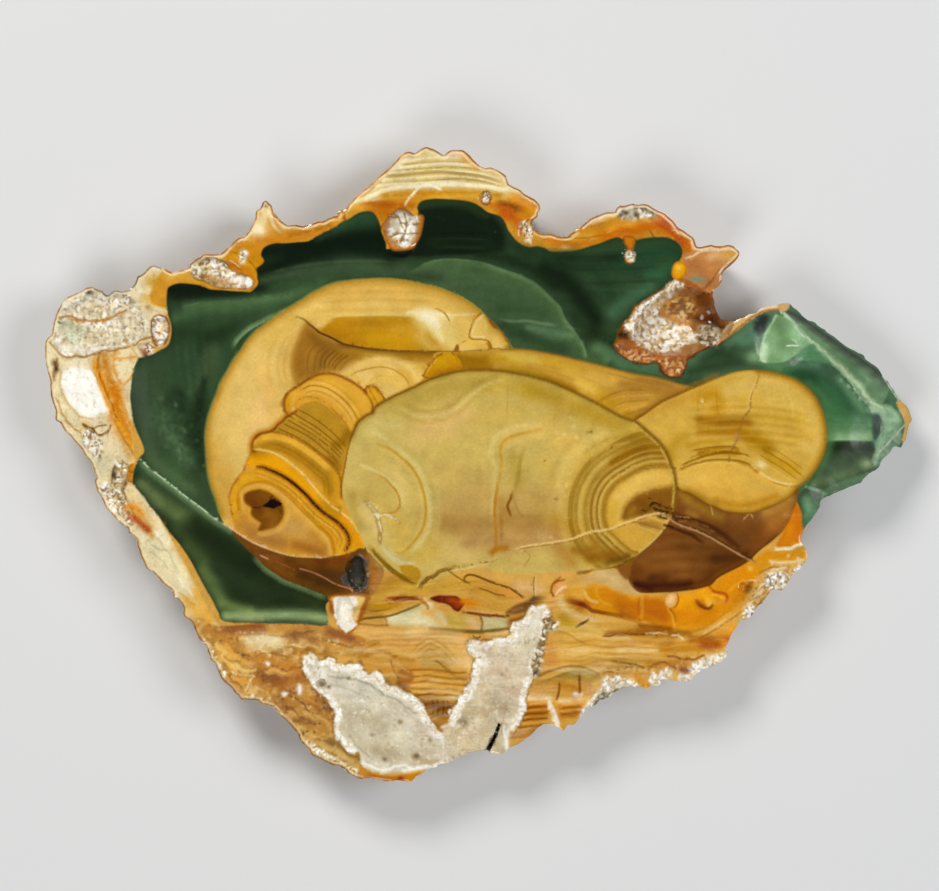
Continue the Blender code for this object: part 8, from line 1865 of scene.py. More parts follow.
def lower_middle(p):
    """The banded golden ground below the centre egg."""
    p.fill([(330, 590), (380, 570), (560, 560), (640, 590), (640, 700), (560, 780), (420, 800), (340, 760)], "#d6a552", soft=10)
    p.wash([(376, 590), (390, 584), (410, 578)], "#b68a2c", 8, 0.8)
    p.wash([(352, 592), (362, 596), (366, 604)], "#8a5a26", (8, 7, 5), 0.8)
    p.wash([(404, 592), (424, 588), (450, 584), (470, 582)], "#cfa43e", (6, 8, 8, 7), 0.9)
    p.wash([(476, 590), (492, 594), (508, 598)], "#c49438", 7, 0.85)
    p.wash([(478, 604), (492, 606), (506, 605)], "#cf9c3e", 5, 0.8)
    p.wash([(502, 592), (512, 594), (520, 600)], "#dd9c44", 4.5, 0.85)
    p.wash([(518, 586), (528, 588), (540, 590)], "#e6bf80", 6, 0.85)
    p.wash([(374, 606), (386, 606), (398, 604)], "#bf8a18", 5.5, 0.92)
    p.wash([(360, 612), (368, 614), (380, 613)], "#b08434", 3.5, 0.8)
    # the pale field
    pale = [(386, 616), (396, 613.5), (410, 609), (420, 606), (426, 602), (431, 603), (434, 609), (441, 613), (448, 618), (447, 625), (440, 627.5), (420, 627), (400, 625.5), (388, 624)]
    p.fill(pale, "#dfcf9c", soft=3.6)
    p.only(pale, soft=2)
    p.wash([(392, 620), (410, 618), (428, 620)], "#e6dcae", 5, 0.9)
    p.wash([(404, 612), (416, 609), (424, 607)], "#c9c48e", 3, 0.8)
    p.wash([(432, 616), (440, 622)], "#dcb568", 4, 0.7)
    p.wash([(424, 612), (432, 612)], "#dea144", 3.5, 0.7)
    p.only()
    p.fill([(446, 615), (454, 612), (466, 616), (468, 624), (464, 629), (450, 627.5)], "#c9a84e", soft=2)
    p.wash([(470, 620), (475, 624), (479, 628)], "#dcbb84", 4.5, 0.9)
    p.fill([(483, 617), (496, 617.5), (510, 618), (511, 624), (504, 628.5), (490, 629.5), (482, 629)], "#cabd86", soft=1.6)
    p.wash([(511, 622), (517, 621), (523, 619)], "#8d4d0c", 4.5, 0.95)
    p.fill([(506, 612), (514, 606), (526, 601), (538, 596.5), (549, 598), (550, 604), (540, 607), (528, 611), (516, 614), (508, 614)], "#7c5424", soft=1.6)
    p.wash([(534, 599), (542, 600), (549, 601)], "#553410", 3.2, 0.85)
    p.wash([(512, 611), (522, 608)], "#a98048", 2, 0.7)
    # the dark red vein
    p.stroke([(386, 599.5), (393, 598.6), (404, 598.4), (414, 598), (421, 598)], "#7a2c06", (1.5, 4.2, 4.4, 4.0, 2.0), 1.0, 0.95, wob=(0.8, 5, 153))
    p.stroke([(388, 602.4), (398, 601.6), (410, 601)], "#d9902a", 1.6, 0.8, 0.75, wob=(0.8, 5, 153))
    p.stroke([(420, 599), (423, 602), (427, 605), (428, 609)], "#c07830", (2, 3.2, 2.4), 0.9, 0.85)
    p.stroke([(424, 598), (427, 601), (430, 605)], "#f3ddb0", 1.8, 0.8, 0.85, wob=(1, 4, 11))
    vein = [(430, 598.5), (436, 595.6), (446, 595.4), (456, 595.8), (461, 599), (465, 603), (462, 608), (458.5, 612), (453, 609.5), (450, 606), (444, 603.5), (437, 602.4)]
    p.fill(vein, "#96380a", soft=1.0, rim=("#5c1a04", 2.0, 0.9))
    p.wash([(463, 601), (468, 603), (474, 604)], "#e28c1a", (4, 5, 3.5), 0.95)
    p.wash([(452, 600), (457, 602)], "#b84f0c", 2.6, 0.8)
    p.stroke([(462, 611.5), (468, 612.6), (474, 613.6), (480, 614.6), (492, 615.6), (502, 616), (510, 615.6)], "#6d3412", (1.4, 2.4, 2.8, 2.6, 2.4, 1.6), 0.8, 0.92, wob=(0.7, 5, 156))
    p.stroke([(466, 610), (476, 611), (488, 612.6), (504, 613)], "#e3b468", 1.8, 0.9, 0.7)
    p.stroke([(480, 615), (481.5, 619), (482.5, 624), (481, 630)], "#7c5c30", 2.0, 0.8, 0.8)
    p.stroke([(358, 621), (364, 618.8), (374, 617.6), (386.5, 616.4), (394, 614.6), (400.6, 612.2), (410, 608.6), (419, 605)], "#6b4f12", (2.2, 2.2, 2.0, 1.8, 1.4), 0.8, 0.9)
    p.stroke([(362, 615), (376, 613.5), (390, 610.5), (402, 606)], "#dfae50", 1.8, 0.9, 0.6)
    p.stroke([(356, 624), (366, 624.5), (378, 625.6), (388, 625.4)], "#96682a", 1.7, 0.9, 0.8)
    p.stroke([(384, 617.8), (387, 621), (386, 625)], "#9a742c", 1.6, 0.9, 0.7)
    p.stroke([(430, 628.5), (446, 630), (463, 631.4), (482, 631.6), (496, 630), (506, 628.6), (514, 626.4)], "#66521f", (1.4, 2.6, 3.4, 3.4, 3.0, 1.8), 1.3, 0.88)
    p.stroke([(486, 635), (500, 633.4), (514, 630)], "#e3c890", 3.0, 1.5, 0.7)
    p.stroke([(473, 636), (476, 638.5), (480, 637)], "#6d5222", 1.8, 0.8, 0.8)
    # peach field with soft folds
    p.wash([(362, 634), (384, 636), (410, 637)], "#e4b468", (6, 8, 8), 0.92)
    p.wash([(410, 634), (430, 636), (456, 637)], "#e9c888", (6, 7, 6), 0.9)
    p.wash([(366, 645), (390, 643), (412, 646)], "#dca654", 5, 0.75)
    p.wash([(462, 642), (467, 654), (469, 668)], "#edc079", (7, 7, 5), 0.92)
    p.wash([(440, 641), (452, 650), (460, 660)], "#e4b76a", 5, 0.75)
    for k in range(7):
        y = 632.5 + 2.3 * k
        p.stroke([(362, y + 1.5), (384, y), (408, y + 0.8), (440, y - 0.5), (468, y + 2)], "#c9953e" if k % 2 else "#f0cd8e", 1.5, 1.1, 0.4, fade=0.2, wob=(1.6, 26, 171))
    p.stroke([(359, 657), (366, 655.6), (375, 652.4), (382, 651.6), (389, 653), (396, 657), (404, 659.6), (414, 660)], "#a87020", (3, 4, 3.5, 3, 2.4, 2.0), 1.8, 0.8)
    p.stroke([(360, 651.5), (367, 648), (373, 644.6), (379, 642.4)], "#ae7a2a", 2.0, 1.4, 0.75)
    p.stroke([(362, 646.5), (370, 642), (377, 640.5)], "#b98836", 1.4, 1.1, 0.6)
    p.stroke([(371, 656), (382, 655.4), (392, 659)], "#e7b866", 1.8, 1.2, 0.6)
    p.wash([(364, 664), (374, 667), (386, 668)], "#cc8f30", (6, 7, 5), 0.92)
    p.wash([(394, 664), (402, 664), (410, 665)], "#cb9440", 5, 0.8)
    for x0, y0, h, w in ((412, 659, 14, 46), (414, 660.5, 11, 44), (415, 662, 8.5, 42), (417, 663.5, 6.2, 40), (410, 656, 17, 50), (420, 665, 4.0, 36)):
        arc = [(x0, y0), (x0 + w * 0.16, y0 - h * 0.6), (x0 + w * 0.38, y0 - h), (x0 + w * 0.62, y0 - h * 0.72), (x0 + w * 0.84, y0 - h * 0.1), (x0 + w, y0 + h * 0.45)]
        p.stroke(arc, "#a87f34", (1.0, 2.2, 2.6, 2.2, 1.4), 1.4, 0.5, fade=0.12)
        p.stroke(moved(spline(arc), -1.9), "#eeca86", 1.8, 1.3, 0.45, curve=False, fade=0.12)
    p.fill([(419, 663), (427, 661), (436, 662.4), (440, 665.4), (432, 666.4), (422, 666)], "#c9b066", soft=1.2, op=0.8)
    p.stroke([(436, 661), (441, 664), (447, 669.5), (452, 674), (458, 678), (468, 681.6)], "#8a6424", (1.6, 2.4, 2.6, 2.2, 1.4), 1.0, 0.85)
    p.stroke([(440, 660), (447, 665.4), (454, 671.6), (462, 677), (470, 679)], "#b98e48", 2.0, 1.2, 0.7)
    p.wash([(412, 670), (430, 670), (446, 674)], "#d79d40", 4.5, 0.85)
    for k, y in enumerate((669.5, 672.5, 676, 679.2, 682, 685, 688.2, 691, 694)):
        p.stroke([(408, y + 1), (424, y), (440, y + 0.4), (456, y + 2.4), (468, y + 4)], "#a06a1c" if k % 2 == 0 else "#e3a94c", 2.0, 0.9, 0.8, fade=0.06, wob=(1.0, 14, 172))
    p.stroke([(412, 695.8), (426, 694.6), (440, 695.6), (456, 695)], "#7c4c14", 1.8, 0.9, 0.8, wob=(0.8, 6, 173))
    p.wash([(426, 698.5), (436, 698), (446, 698.6), (454, 698)], "#f0d29a", 2.6, 0.95)
    p.wash([(424, 706), (436, 706), (448, 708), (458, 707)], "#774208", (5, 6.5, 7, 5), 0.97)
    p.wash([(426, 714), (440, 716), (450, 717)], "#8f5c16", 4.5, 0.85)
    p.wash([(430, 724), (440, 726), (448, 730)], "#b57e2e", 6, 0.9)
    for x in (428, 433, 437.5, 443, 447.5):
        p.stroke([(x, 701), (x + 0.6, 708), (x - 0.4, 714)], "#3c1c04" if int(x) % 2 else "#a86c24", 1.2, 0.8, 0.55, wob=(0.8, 4, 174))
    p.fill([(448, 710), (456, 709.6), (457, 714), (450, 716)], "#f6ead0", soft=0.9)
    # the knot
    p.fill([(396, 680), (398, 672), (404, 668), (411, 671), (414, 677), (410, 685), (403, 690), (397, 687)], "#ac6e2c", soft=2.2, op=0.9)
    p.wash([(399, 684), (405, 688)], "#824812", 3, 0.75)
    p.stroke([(391, 662), (393, 668), (396, 674), (400, 679)], "#8f5c20", 1.6, 0.9, 0.75, wob=(1, 4, 175))
    p.stroke([(399, 664), (403, 669), (409, 672)], "#e3ba74", 1.6, 0.9, 0.7, wob=(1, 4, 176))
    p.wash([(361, 676), (372, 678), (386, 680)], "#806734", 2.6, 0.85)
    p.wash([(388, 683), (396, 690), (404, 694)], "#9a6a26", 3.6, 0.85)


def lower_right(p):
    """The golden ground right of the ash, its orange chambers and the sugary crust along the edge."""
    p.fill([(540, 600), (580, 590), (640, 594), (700, 590), (745, 560), (790, 530), (800, 490), (840, 500), (820, 600), (740, 690), (600, 740), (540, 760), (510, 740), (520, 680)], "#dcaa50", soft=8)
    # gold field with streaks
    p.wash([(545, 640), (552, 650), (550, 664)], "#d6984c", 8, 0.85)
    p.wash([(560, 640), (590, 641), (624, 641)], "#e0ae50", 7, 0.85)
    p.wash([(562, 652), (590, 652), (616, 650)], "#ebbf68", 5, 0.85)
    p.wash([(566, 626), (580, 630), (604, 627)], "#d9b260", 6, 0.8)
    p.wash([(596, 662), (616, 657), (636, 660)], "#c99c4e", 6, 0.8)
    p.wash([(618, 650), (636, 649), (656, 650)], "#f4d08a", (3, 4, 3), 0.95)
    p.wash([(604, 672), (618, 668), (632, 670)], "#b98c46", 6, 0.85)
    p.wash([(636, 676), (644, 682), (650, 684)], "#d9941c", 4, 0.9)
    p.wash([(650, 664), (668, 664), (684, 664)], "#bd7a22", 6, 0.9)
    p.wash([(664, 650), (680, 648), (698, 648)], "#cf8a24", 5, 0.85)
    p.wash([(634, 640), (652, 641), (672, 642)], "#c98e34", 5, 0.8)
    for k in range(12):
        y = 638 + 3.1 * k
        bend = 2.5 * (k % 3)
        p.stroke([(556, y + 3), (580, y + bend), (606, y - 1), (634, y + bend * 0.5), (668, y + 2)], "#b5812e" if k % 2 else "#f0ca80", 1.7, 1.2, 0.5, fade=0.15, wob=(2.0, 22, 181))
    # brown band in the middle with pale marks
    p.wash([(606, 634), (628, 632), (650, 631), (672, 632), (690, 633)], "#9a5f14", (2.5, 4, 5, 5, 3), 0.9)
    p.wash([(600, 624), (616, 625), (632, 627)], "#d6a24a", 3, 0.8)
    p.wash([(640, 625), (656, 627), (670, 628)], "#8d4d0a", 2.6, 0.85)
    p.stroke([(604, 636.4), (616, 635), (629, 634.2), (640, 634.8), (647, 633.2), (656, 634.8)], "#6b3c0c", 1.7, 0.8, 0.85, wob=(0.8, 6, 182))
    p.stroke([(560, 632), (568, 634), (577, 640), (584, 643)], "#a97c34", 1.8, 1.1, 0.6)
    p.stroke([(646, 634), (653, 633), (659, 632.6), (666, 634.4)], "#f6e2b8", 1.3, 0.8, 0.85, wob=(0.6, 4, 250))
    p.stroke([(672, 635.2), (678, 635.6), (682, 638.4)], "#f8e8c4", 1.7, 0.9, 0.9)
    p.wash([(684, 627), (696, 628), (708, 630)], "#dc9c32", 4.5, 0.9)
    p.wash([(690, 640), (702, 639), (712, 640)], "#b0640e", 3.6, 0.85)
    p.wash([(703, 645), (711, 646), (719, 644)], "#a44a0a", 4.2, 0.95)
    p.wash([(718, 634), (726, 634), (732, 628)], "#efa238", (4, 7, 5), 0.95)
    p.wash([(724, 643), (729, 640)], "#e08a20", 4, 0.8)
    p.stroke([(668, 657), (676, 656.6), (685, 659.6), (696, 659), (704, 655)], "#7c4208", 2.0, 0.9, 0.85, wob=(1, 6, 183))
    p.stroke([(650, 655), (664, 653), (682, 653), (696, 652)], "#e8b860", 1.8, 1.0, 0.65, wob=(1, 6, 184))
    p.stroke([(612, 661), (622, 662), (632, 664), (643, 667.4)], "#84602a", 1.9, 0.9, 0.8, wob=(1, 6, 185))
    p.stroke([(648, 670), (660, 662), (676, 668)], "#6b3a0c", 1.6, 0.9, 0.6, wob=(2, 6, 186))
    p.wash([(682, 670), (688, 671), (694, 668)], "#742f10", 3, 0.9)
    p.sprinkle([(600, 664), (650, 664), (690, 660), (690, 680), (640, 690), (600, 680)], "#6b4014", 4.6, 0.6, 0.8, 187, size=0.9, soft=4)
    p.sprinkle([(600, 664), (650, 664), (690, 660), (690, 680), (640, 690), (600, 680)], "#f2d9a8", 4.0, 0.5, 0.75, 188, size=0.8, soft=4)
    # olive folds at the left
    p.fill([(556, 678), (566, 670), (580, 667), (594, 671), (600, 678), (590, 682), (574, 680)], "#ab8c3c", soft=2.2, op=0.9)
    p.stroke([(540, 676), (548, 671.6), (556, 669.4), (567, 666.4), (579, 666.6), (592, 670.6), (600, 675)], "#84601c", (1.6, 2.4, 2.2, 2.0, 2.4, 1.6), 1.0, 0.88)
    p.stroke([(542, 682), (556, 677), (570, 672.4), (584, 672), (598, 678)], "#8d7030", 1.7, 1.0, 0.75)
    p.stroke([(544, 679), (558, 673.4), (570, 669.6), (586, 669.4)], "#dcb870", 1.5, 1.0, 0.7)
    p.wash([(534, 690), (546, 688), (556, 688)], "#d3a35c", 5, 0.85)
    p.wash([(562, 686), (572, 688), (578, 690)], "#b97c24", 5, 0.85)
    p.wash([(584, 684), (592, 688), (594, 694)], "#c59c58", 4, 0.8)
    p.wash([(536, 682), (548, 681), (560, 682)], "#a9772a", 2.6, 0.8)
    p.stroke([(559.4, 684), (559, 691), (557, 699)], "#7c4a18", 2.2, 0.8, 0.8)
    p.stroke([(579, 674), (579.6, 682), (580, 694)], "#84421c", 2.2, 0.9, 0.85)
    p.stroke([(590.5, 684), (590, 690), (588, 696)], "#c8846a", 2.2, 0.9, 0.8)
    # stripes of the lowest block
    p.wash([(526, 698), (538, 697.5), (550, 698)], "#ffe9bc", (2.6, 3.2, 2.6), 0.98)
    p.wash([(560, 701), (570, 700.5), (580, 700)], "#f9ddaa", 2.6, 0.95)
    p.wash([(524, 705), (536, 704), (548, 704)], "#d4872a", 3.2, 0.95)
    p.wash([(522, 711), (534, 710), (546, 710)], "#b86c10", 3.6, 0.95)
    p.wash([(520, 718), (532, 717), (544, 716)], "#96570a", 3.6, 0.95)
    p.wash([(516, 726), (528, 725), (540, 723)], "#cb9134", 4.5, 0.92)
    p.wash([(512, 736), (524, 734), (534, 730)], "#a8702a", 5, 0.9)
    p.wash([(560, 708), (570, 708), (580, 706)], "#cf8526", 4, 0.92)
    p.wash([(562, 716), (572, 715), (580, 712)], "#b4701e", 4, 0.9)
    for k, y in enumerate((703, 706.4, 709.4, 712.6, 715.6, 718.8, 722, 725.4)):
        p.stroke([(518, y + 3), (530, y + 1), (542, y), (549, y - 0.6)], "#6d3a04" if k % 2 else "#e6a850", 1.4, 0.7, 0.75, fade=0.05, wob=(0.6, 9, 189))
    for k, y in enumerate((704, 707.4, 710.4, 713.6)):
        p.stroke([(560, y + 1), (570, y), (582, y - 1)], "#8a4c0c" if k % 2 else "#e8b868", 1.3, 0.7, 0.7, fade=0.05)
    p.stroke([(548, 702), (551, 708), (554, 715), (557, 724), (558, 732)], "#f7f0e0", (2.0, 4.0, 5.5, 5.0, 3.0), 1.1, 0.95, wob=(1.6, 4, 190))
    p.stroke([(548, 728), (553, 732), (556, 738)], "#e9dcc0", (3, 5, 4), 1.2, 0.9, wob=(1.4, 4, 191))
    p.fill([(572, 693), (576, 691), (579, 693.5), (583, 692), (582, 697), (577, 698.5), (573, 697)], "#fbf2e0", soft=0.9, rim=("#a9743c", 1.4, 0.6))
    # loop, spot and peach blob under the centre egg
    p.stroke([(561, 592), (560.5, 600), (564, 608), (572, 614), (584, 618), (596, 620)], "#e0c48a", (4, 6, 6, 5.5, 4, 2.5), 2.0, 0.85)
    p.wash([(566, 592), (572, 590), (580, 591)], "#dba23a", 5, 0.9)
    p.wash([(570, 598), (574, 606), (582, 610)], "#c18624", 4, 0.85)
    blob = [(552, 594), (551.5, 587), (555, 582.5), (562, 580.6), (567, 583), (566, 589), (562, 594), (556, 596.4)]
    p.fill(blob, "#e3a35a", soft=1.4)
    p.stroke([(553.5, 596), (551.2, 591), (552.4, 585.4), (557, 581.6), (563, 580)], "#8a4e14", 2.0, 0.8, 0.88)
    p.stroke([(556, 593.6), (560, 588.6), (565, 587)], "#fbe3b4", 1.8, 0.8, 0.8, wob=(1, 3, 192))
    p.wash([(563, 618), (567, 622), (572, 625)], "#b58e24", 5.5, 0.85)
    p.stroke([(577, 626.6), (582, 623.6), (588, 620)], "#4d3310", (1.4, 2.4, 1.8), 0.8, 0.9)
    p.stroke([(549, 606), (553, 603), (556, 600)], "#e3a184", 1.8, 0.8, 0.8)
    # orange chambers
    lens = [(584, 580), (590, 576), (600, 572.4), (612, 571), (622, 573), (628, 581), (634, 589), (640, 594.6), (630, 594.4), (618, 590), (606, 584), (594, 582)]
    body = [(586, 590), (594, 584), (606, 586), (618, 592), (634, 596), (656, 596), (676, 595), (696, 590), (712, 584), (724, 575), (742, 566), (752, 560), (770, 552), (760, 575), (748, 598), (738, 612), (722, 622), (700, 628),
            (676, 628), (650, 622), (630, 619.6), (606, 614), (590, 610), (584, 600)]
    p.fill(body, "#dc9018", soft=3)
    p.only(body, soft=3)
    p.wash([(592, 592), (600, 596), (606, 604)], "#cf8e1c", 7, 0.85)
    p.wash([(606, 594), (616, 599), (622, 606)], "#d48618", 7, 0.8)
    p.wash([(622, 604), (632, 606), (640, 608)], "#bd6e0c", 8, 0.9)
    p.wash([(622, 614), (634, 617)], "#a9620e", 4, 0.8)
    p.wash([(634, 597), (640, 597)], "#e8a83a", 4, 0.7)
    p.wash([(646, 600), (656, 602), (664, 606)], "#cb7408", 7, 0.9)
    p.wash([(646, 612), (656, 613), (664, 617)], "#bb6606", 8, 0.9)
    p.wash([(650, 596), (658, 596), (664, 597)], "#e3a648", 2.6, 0.8)
    p.wash([(680, 602), (690, 598), (704, 594)], "#f2a30c", 8, 0.97)
    p.glow(692, 602, 17, 8, "#fbae18", 0.75, -6)
    p.glow(664, 612, 8, 6, "#c9720a", 0.5)
    p.wash([(680, 614), (696, 618), (714, 615)], "#dd8706", 6, 0.85)
    p.wash([(678, 622), (696, 623), (712, 620)], "#d98f1c", 4, 0.85)
    p.wash([(722, 606), (730, 598), (736, 590)], "#dc900f", 7, 0.9)
    p.wash([(724, 580), (736, 576), (748, 570)], "#e69312", 6, 0.92)
    p.wash([(736, 600), (742, 594)], "#c77b14", 4, 0.8)
    p.only()
    p.fill(lens, "#d8b673", soft=2.2)
    p.stroke([(594, 574.6), (606, 574), (618, 578), (626, 586)], "#e8cb8e", 3.0, 1.6, 0.7)
    p.stroke([(566, 601), (573, 602), (581, 604.4), (588, 607.6), (592, 610.6), (600.5, 612.3), (614.6, 615), (628.7, 619), (637, 620.8), (643, 618.6), (650, 621), (658, 625.6), (672, 627)], "#874a0a", (1.5, 3.4, 4.2, 3.0, 2.0, 1.8, 1.8, 1.6), 0.9, 0.88)
    p.glow(581, 604, 7, 3.4, "#6d1a02", 0.97, 12)
    p.glow(574, 601.5, 6, 3, "#8f4a10", 0.7, 10)
    p.stroke([(585, 593), (587, 597), (591, 600.6), (597, 602)], "#f2d292", 2.2, 1.2, 0.75)
    p.stroke([(596, 590), (598, 597), (604, 603), (612, 605)], "#ebb04a", 2.0, 1.4, 0.5)
    p.stroke([(643, 596), (642, 602), (642.4, 610), (641, 620)], "#f0b860", 2.4, 1.6, 0.55, fade=0.1)
    p.stroke([(639.4, 598), (638.4, 606), (638.6, 614)], "#aa5a06", 1.6, 1.0, 0.5)
    p.stroke([(667, 608.6), (671, 613.6), (673, 620), (674.4, 626.4)], "#f2bc60", 1.7, 1.1, 0.6)
    p.stroke([(669.6, 608.6), (673.8, 614), (676, 621)], "#a65606", 1.4, 0.9, 0.6)
    nub = [(664.6, 599), (667, 594.6), (672, 592.6), (676.6, 594), (677.4, 600), (675, 605.4), (670, 608), (665.6, 605)]
    p.fill(nub, "#f4cb8c", soft=1.1, rim=("#d8923c", 1.8, 0.8))
    p.stroke([(677.6, 594), (678.4, 600), (676, 606.4), (671, 609.4)], "#a4560a", 1.5, 0.8, 0.85)
    p.glow(703, 604.6, 8, 4.6, "#84400a", 0.92, 20)
    p.glow(707.5, 600, 5.6, 4.6, "#f8b22c", 0.97)
    p.glow(709.5, 604, 3.6, 3, "#fcc95c", 0.9)
    p.stroke([(696.4, 600), (698.4, 604), (703, 607.4), (709, 608.6), (712.6, 605)], "#7a3a06", (1.2, 2.4, 2.6, 1.6), 0.9, 0.9)
    p.stroke([(710, 587.6), (714, 591.6), (720, 592.6), (725.6, 594), (727.6, 598.6), (725.8, 602)], "#b44f06", (1.6, 2.6, 2.2, 2.8, 1.4), 0.9, 0.92)
    p.stroke([(712, 594.6), (718, 595.6), (722.4, 598)], "#fbc24a", 1.8, 0.9, 0.8)
    p.stroke([(730, 590), (736, 585), (744, 580)], "#f7b03c", 2.2, 1.2, 0.7)
    p.stroke([(699, 634), (706, 630.6), (713, 626.4), (720, 621.4), (727, 616.6), (734, 612), (741, 608.6)], "#e2ae58", (3.5, 6, 7, 8, 7, 5), 2.6, 0.65)
    p.stroke([(704, 633.6), (714, 627), (726, 619)], "#f6dca0", 1.6, 1.0, 0.55)
    p.stroke([(716, 628), (726, 622), (736, 614)], "#f3d390", 1.5, 0.9, 0.5)
    p.stroke([(702, 636.6), (714, 630.4), (728, 621), (742, 611.4)], "#a46a1c", 1.6, 0.9, 0.75)
    p.stroke([(697, 630.8), (708, 625.6), (720, 617), (730, 610)], "#b8781c", 1.5, 1.0, 0.65)
    # right edge above
    edge = [(795, 498), (800, 506), (803, 515), (806, 528), (803, 538), (801, 543), (792, 547), (777, 546), (781, 537), (785, 528), (789, 521), (793, 510)]
    p.fill(edge, "#d37c08", soft=1.4)
    p.wash([(797, 508), (798, 518), (797, 530)], "#c9700c", 4, 0.7)
    p.wash([(790, 528), (788, 536), (786, 542)], "#dd8a0c", 4, 0.7)
    p.wash([(772, 556), (786, 556), (800, 554)], "#d48a12", (5, 6, 5), 0.92)
    p.wash([(752, 566), (760, 565), (770, 563)], "#dc9c24", 5, 0.85)
    p.wash([(782, 568), (792, 572), (800, 566)], "#dcbf88", 5, 0.85)
    p.wash([(788, 546), (796, 548), (804, 546)], "#a87838", 3, 0.6)
    p.stroke([(776, 549), (784, 548.4), (791.3, 548.4), (797, 546), (803, 544)], "#f4e6c2", 3.4, 1.0, 0.9, wob=(0.8, 9, 122))
    p.stroke([(770, 561), (782, 562), (794, 562), (804, 560)], "#f1dcae", 2.4, 1.0, 0.8, wob=(0.8, 12, 123))
    p.stroke([(760, 572), (772, 568), (784, 566)], "#8c5a1a", 1.6, 0.9, 0.7, wob=(1.4, 6, 124))
    p.fill([(744, 591), (747, 586.5), (752, 586), (753, 589), (750, 593), (746, 594)], "#6b451a", soft=1.6, op=0.75)
    p.stroke([(746, 582.5), (750, 580.6), (756, 580.4)], "#f6e6c4", 1.7, 0.9, 0.75)
    # crust strips along the edge
    gap = "#bfa473"
    p.crystals([(580, 712), (584, 706), (591, 699), (597, 693), (601, 686), (603, 680), (610, 677), (620, 676), (629, 679.5), (638, 684), (638, 690), (626, 696), (610, 704), (592, 716), (582, 722)], SNOW, 3.6, gap, 0.28, 193, relief=0.16)
    p.crystals([(600, 694), (612, 690), (626, 687), (636, 689), (624, 698), (606, 706), (592, 712)], ("#b8b098", "#8f8768", "#d6cfb8", "#70694c"), 3.2, "#4d4630", 0.4, 194, relief=0.2)
    p.crystals([(650, 676), (655, 671.6), (659, 676), (662, 669), (668, 666.6), (672, 671), (672, 678), (666, 684), (656, 688), (650, 684)], SNOW, 3.4, gap, 0.28, 195, relief=0.16)
    p.crystals([(676, 678), (682, 674), (690, 673), (690.6, 667), (699, 660), (709, 657), (718, 654), (727, 649), (729, 655), (722, 662), (712, 667), (702, 672), (694, 680), (684, 683)], SNOW, 3.6, gap, 0.28, 196, relief=0.16)
    p.wash([(746, 606), (758, 592), (770, 580), (786, 572)], "#c99a4e", (6, 8, 8, 6), 0.9)
    p.wash([(742, 620), (748, 610), (758, 600)], "#d2a864", 4, 0.8)
    for k, line in enumerate(([(744, 612), (754, 600), (764, 588), (772, 574)], [(750, 614), (762, 602), (774, 592), (788, 584)], [(752, 594), (762, 586), (772, 572), (786, 566)], [(768, 590), (782, 580), (798, 574)])):
        p.stroke(line, "#8a5c1e" if k % 2 else "#f0dba8", 2.0, 0.9, 0.8, fade=0.1, wob=(2.0, 6, 244 + k))
    p.crystals([(764, 586), (766, 576), (774, 572), (786, 573), (791, 578), (786, 588), (776, 591)], SNOW, 3.6, "#8f7a4c", 0.34, 197, relief=0.16)
    p.crystals([(742, 618), (744, 609), (751, 605), (756, 610), (752, 618), (746, 622)], SNOW, 3.6, "#a88a56", 0.32, 198, relief=0.16)
    p.crystals([(792, 572), (800, 565), (808, 562), (806, 572), (798, 580)], SNOW, 3.4, "#a8843f", 0.32, 199, relief=0.16)
    p.sprinkle([(740, 606), (766, 576), (800, 566), (804, 584), (770, 612), (742, 630)], "#7c5420", 4.2, 0.7, 0.85, 198, size=0.9, soft=3)
    p.sprinkle([(745, 565), (770, 560), (800, 552), (800, 566), (766, 580)], "#fff6df", 3.8, 0.6, 0.85, 145, size=0.8, soft=3)
    p.raw([(578, 712), (600, 676), (650, 668), (700, 655), (735, 640), (745, 600), (765, 570), (805, 560), (815, 520), (830, 620), (720, 700), (600, 730)], 0.5, 4)


ASH_LEFT = [(303, 656), (308, 656), (314, 660), (320, 664), (326.6, 662.6), (330.8, 662), (334.4, 667.5), (346.7, 668), (358.5, 667), (359.5, 672.3), (364, 676), (371.3, 678.5), (376.4, 675), (381.5, 681), (382.6, 685), (387.7, 688.7),
            (396, 690.3), (403, 695.4), (410.3, 698), (418.5, 704.6), (421, 710.8), (423.6, 716), (426.7, 723), (432.8, 729.2), (438, 734.4), (442, 736.4), (448, 745), (452, 756), (444, 764), (428, 768), (405, 771.8), (398, 772.3),
            (383.6, 773.3), (375.4, 772.3), (368.2, 769.2), (363, 766), (361, 759), (361, 754), (356, 750.8), (349.7, 747.7), (344.6, 740.5), (339, 735.4), (338.5, 722), (339, 713.8), (336.9, 707.7), (330.3, 697.4), (322, 690),
            (314, 682), (309, 672), (306, 660)]
ASH_RIGHT = [(442, 727), (446.2, 725), (451.3, 723), (455.4, 717), (457.4, 713.8), (456, 708.7), (461.5, 705.6), (462.6, 700.5), (466.7, 696.4), (469.7, 690.3), (473.8, 684), (476, 675), (477, 666.7), (479.5, 660.5), (484, 657),
             (473, 652), (472.3, 644.6), (478.5, 643.8), (485.6, 645), (497.9, 642), (510.3, 640), (516.4, 635.4), (515.4, 631.3), (515, 626.2), (519.5, 624.6), (525.6, 621), (531, 611.8), (535, 608), (545, 605), (546, 610), (544, 621),
             (542, 635.4), (539, 643.6), (536.4, 649.7), (535.9, 655), (531.8, 661), (530.8, 668), (529.7, 675.4), (526.7, 681.5), (524, 689.7), (521.5, 698), (522, 706), (519.5, 712.3), (517.4, 718.5), (514.4, 723.6), (510.3, 729.7),
             (508, 738), (508, 756), (500, 762), (470, 764), (450, 766), (446, 750), (444, 738)]


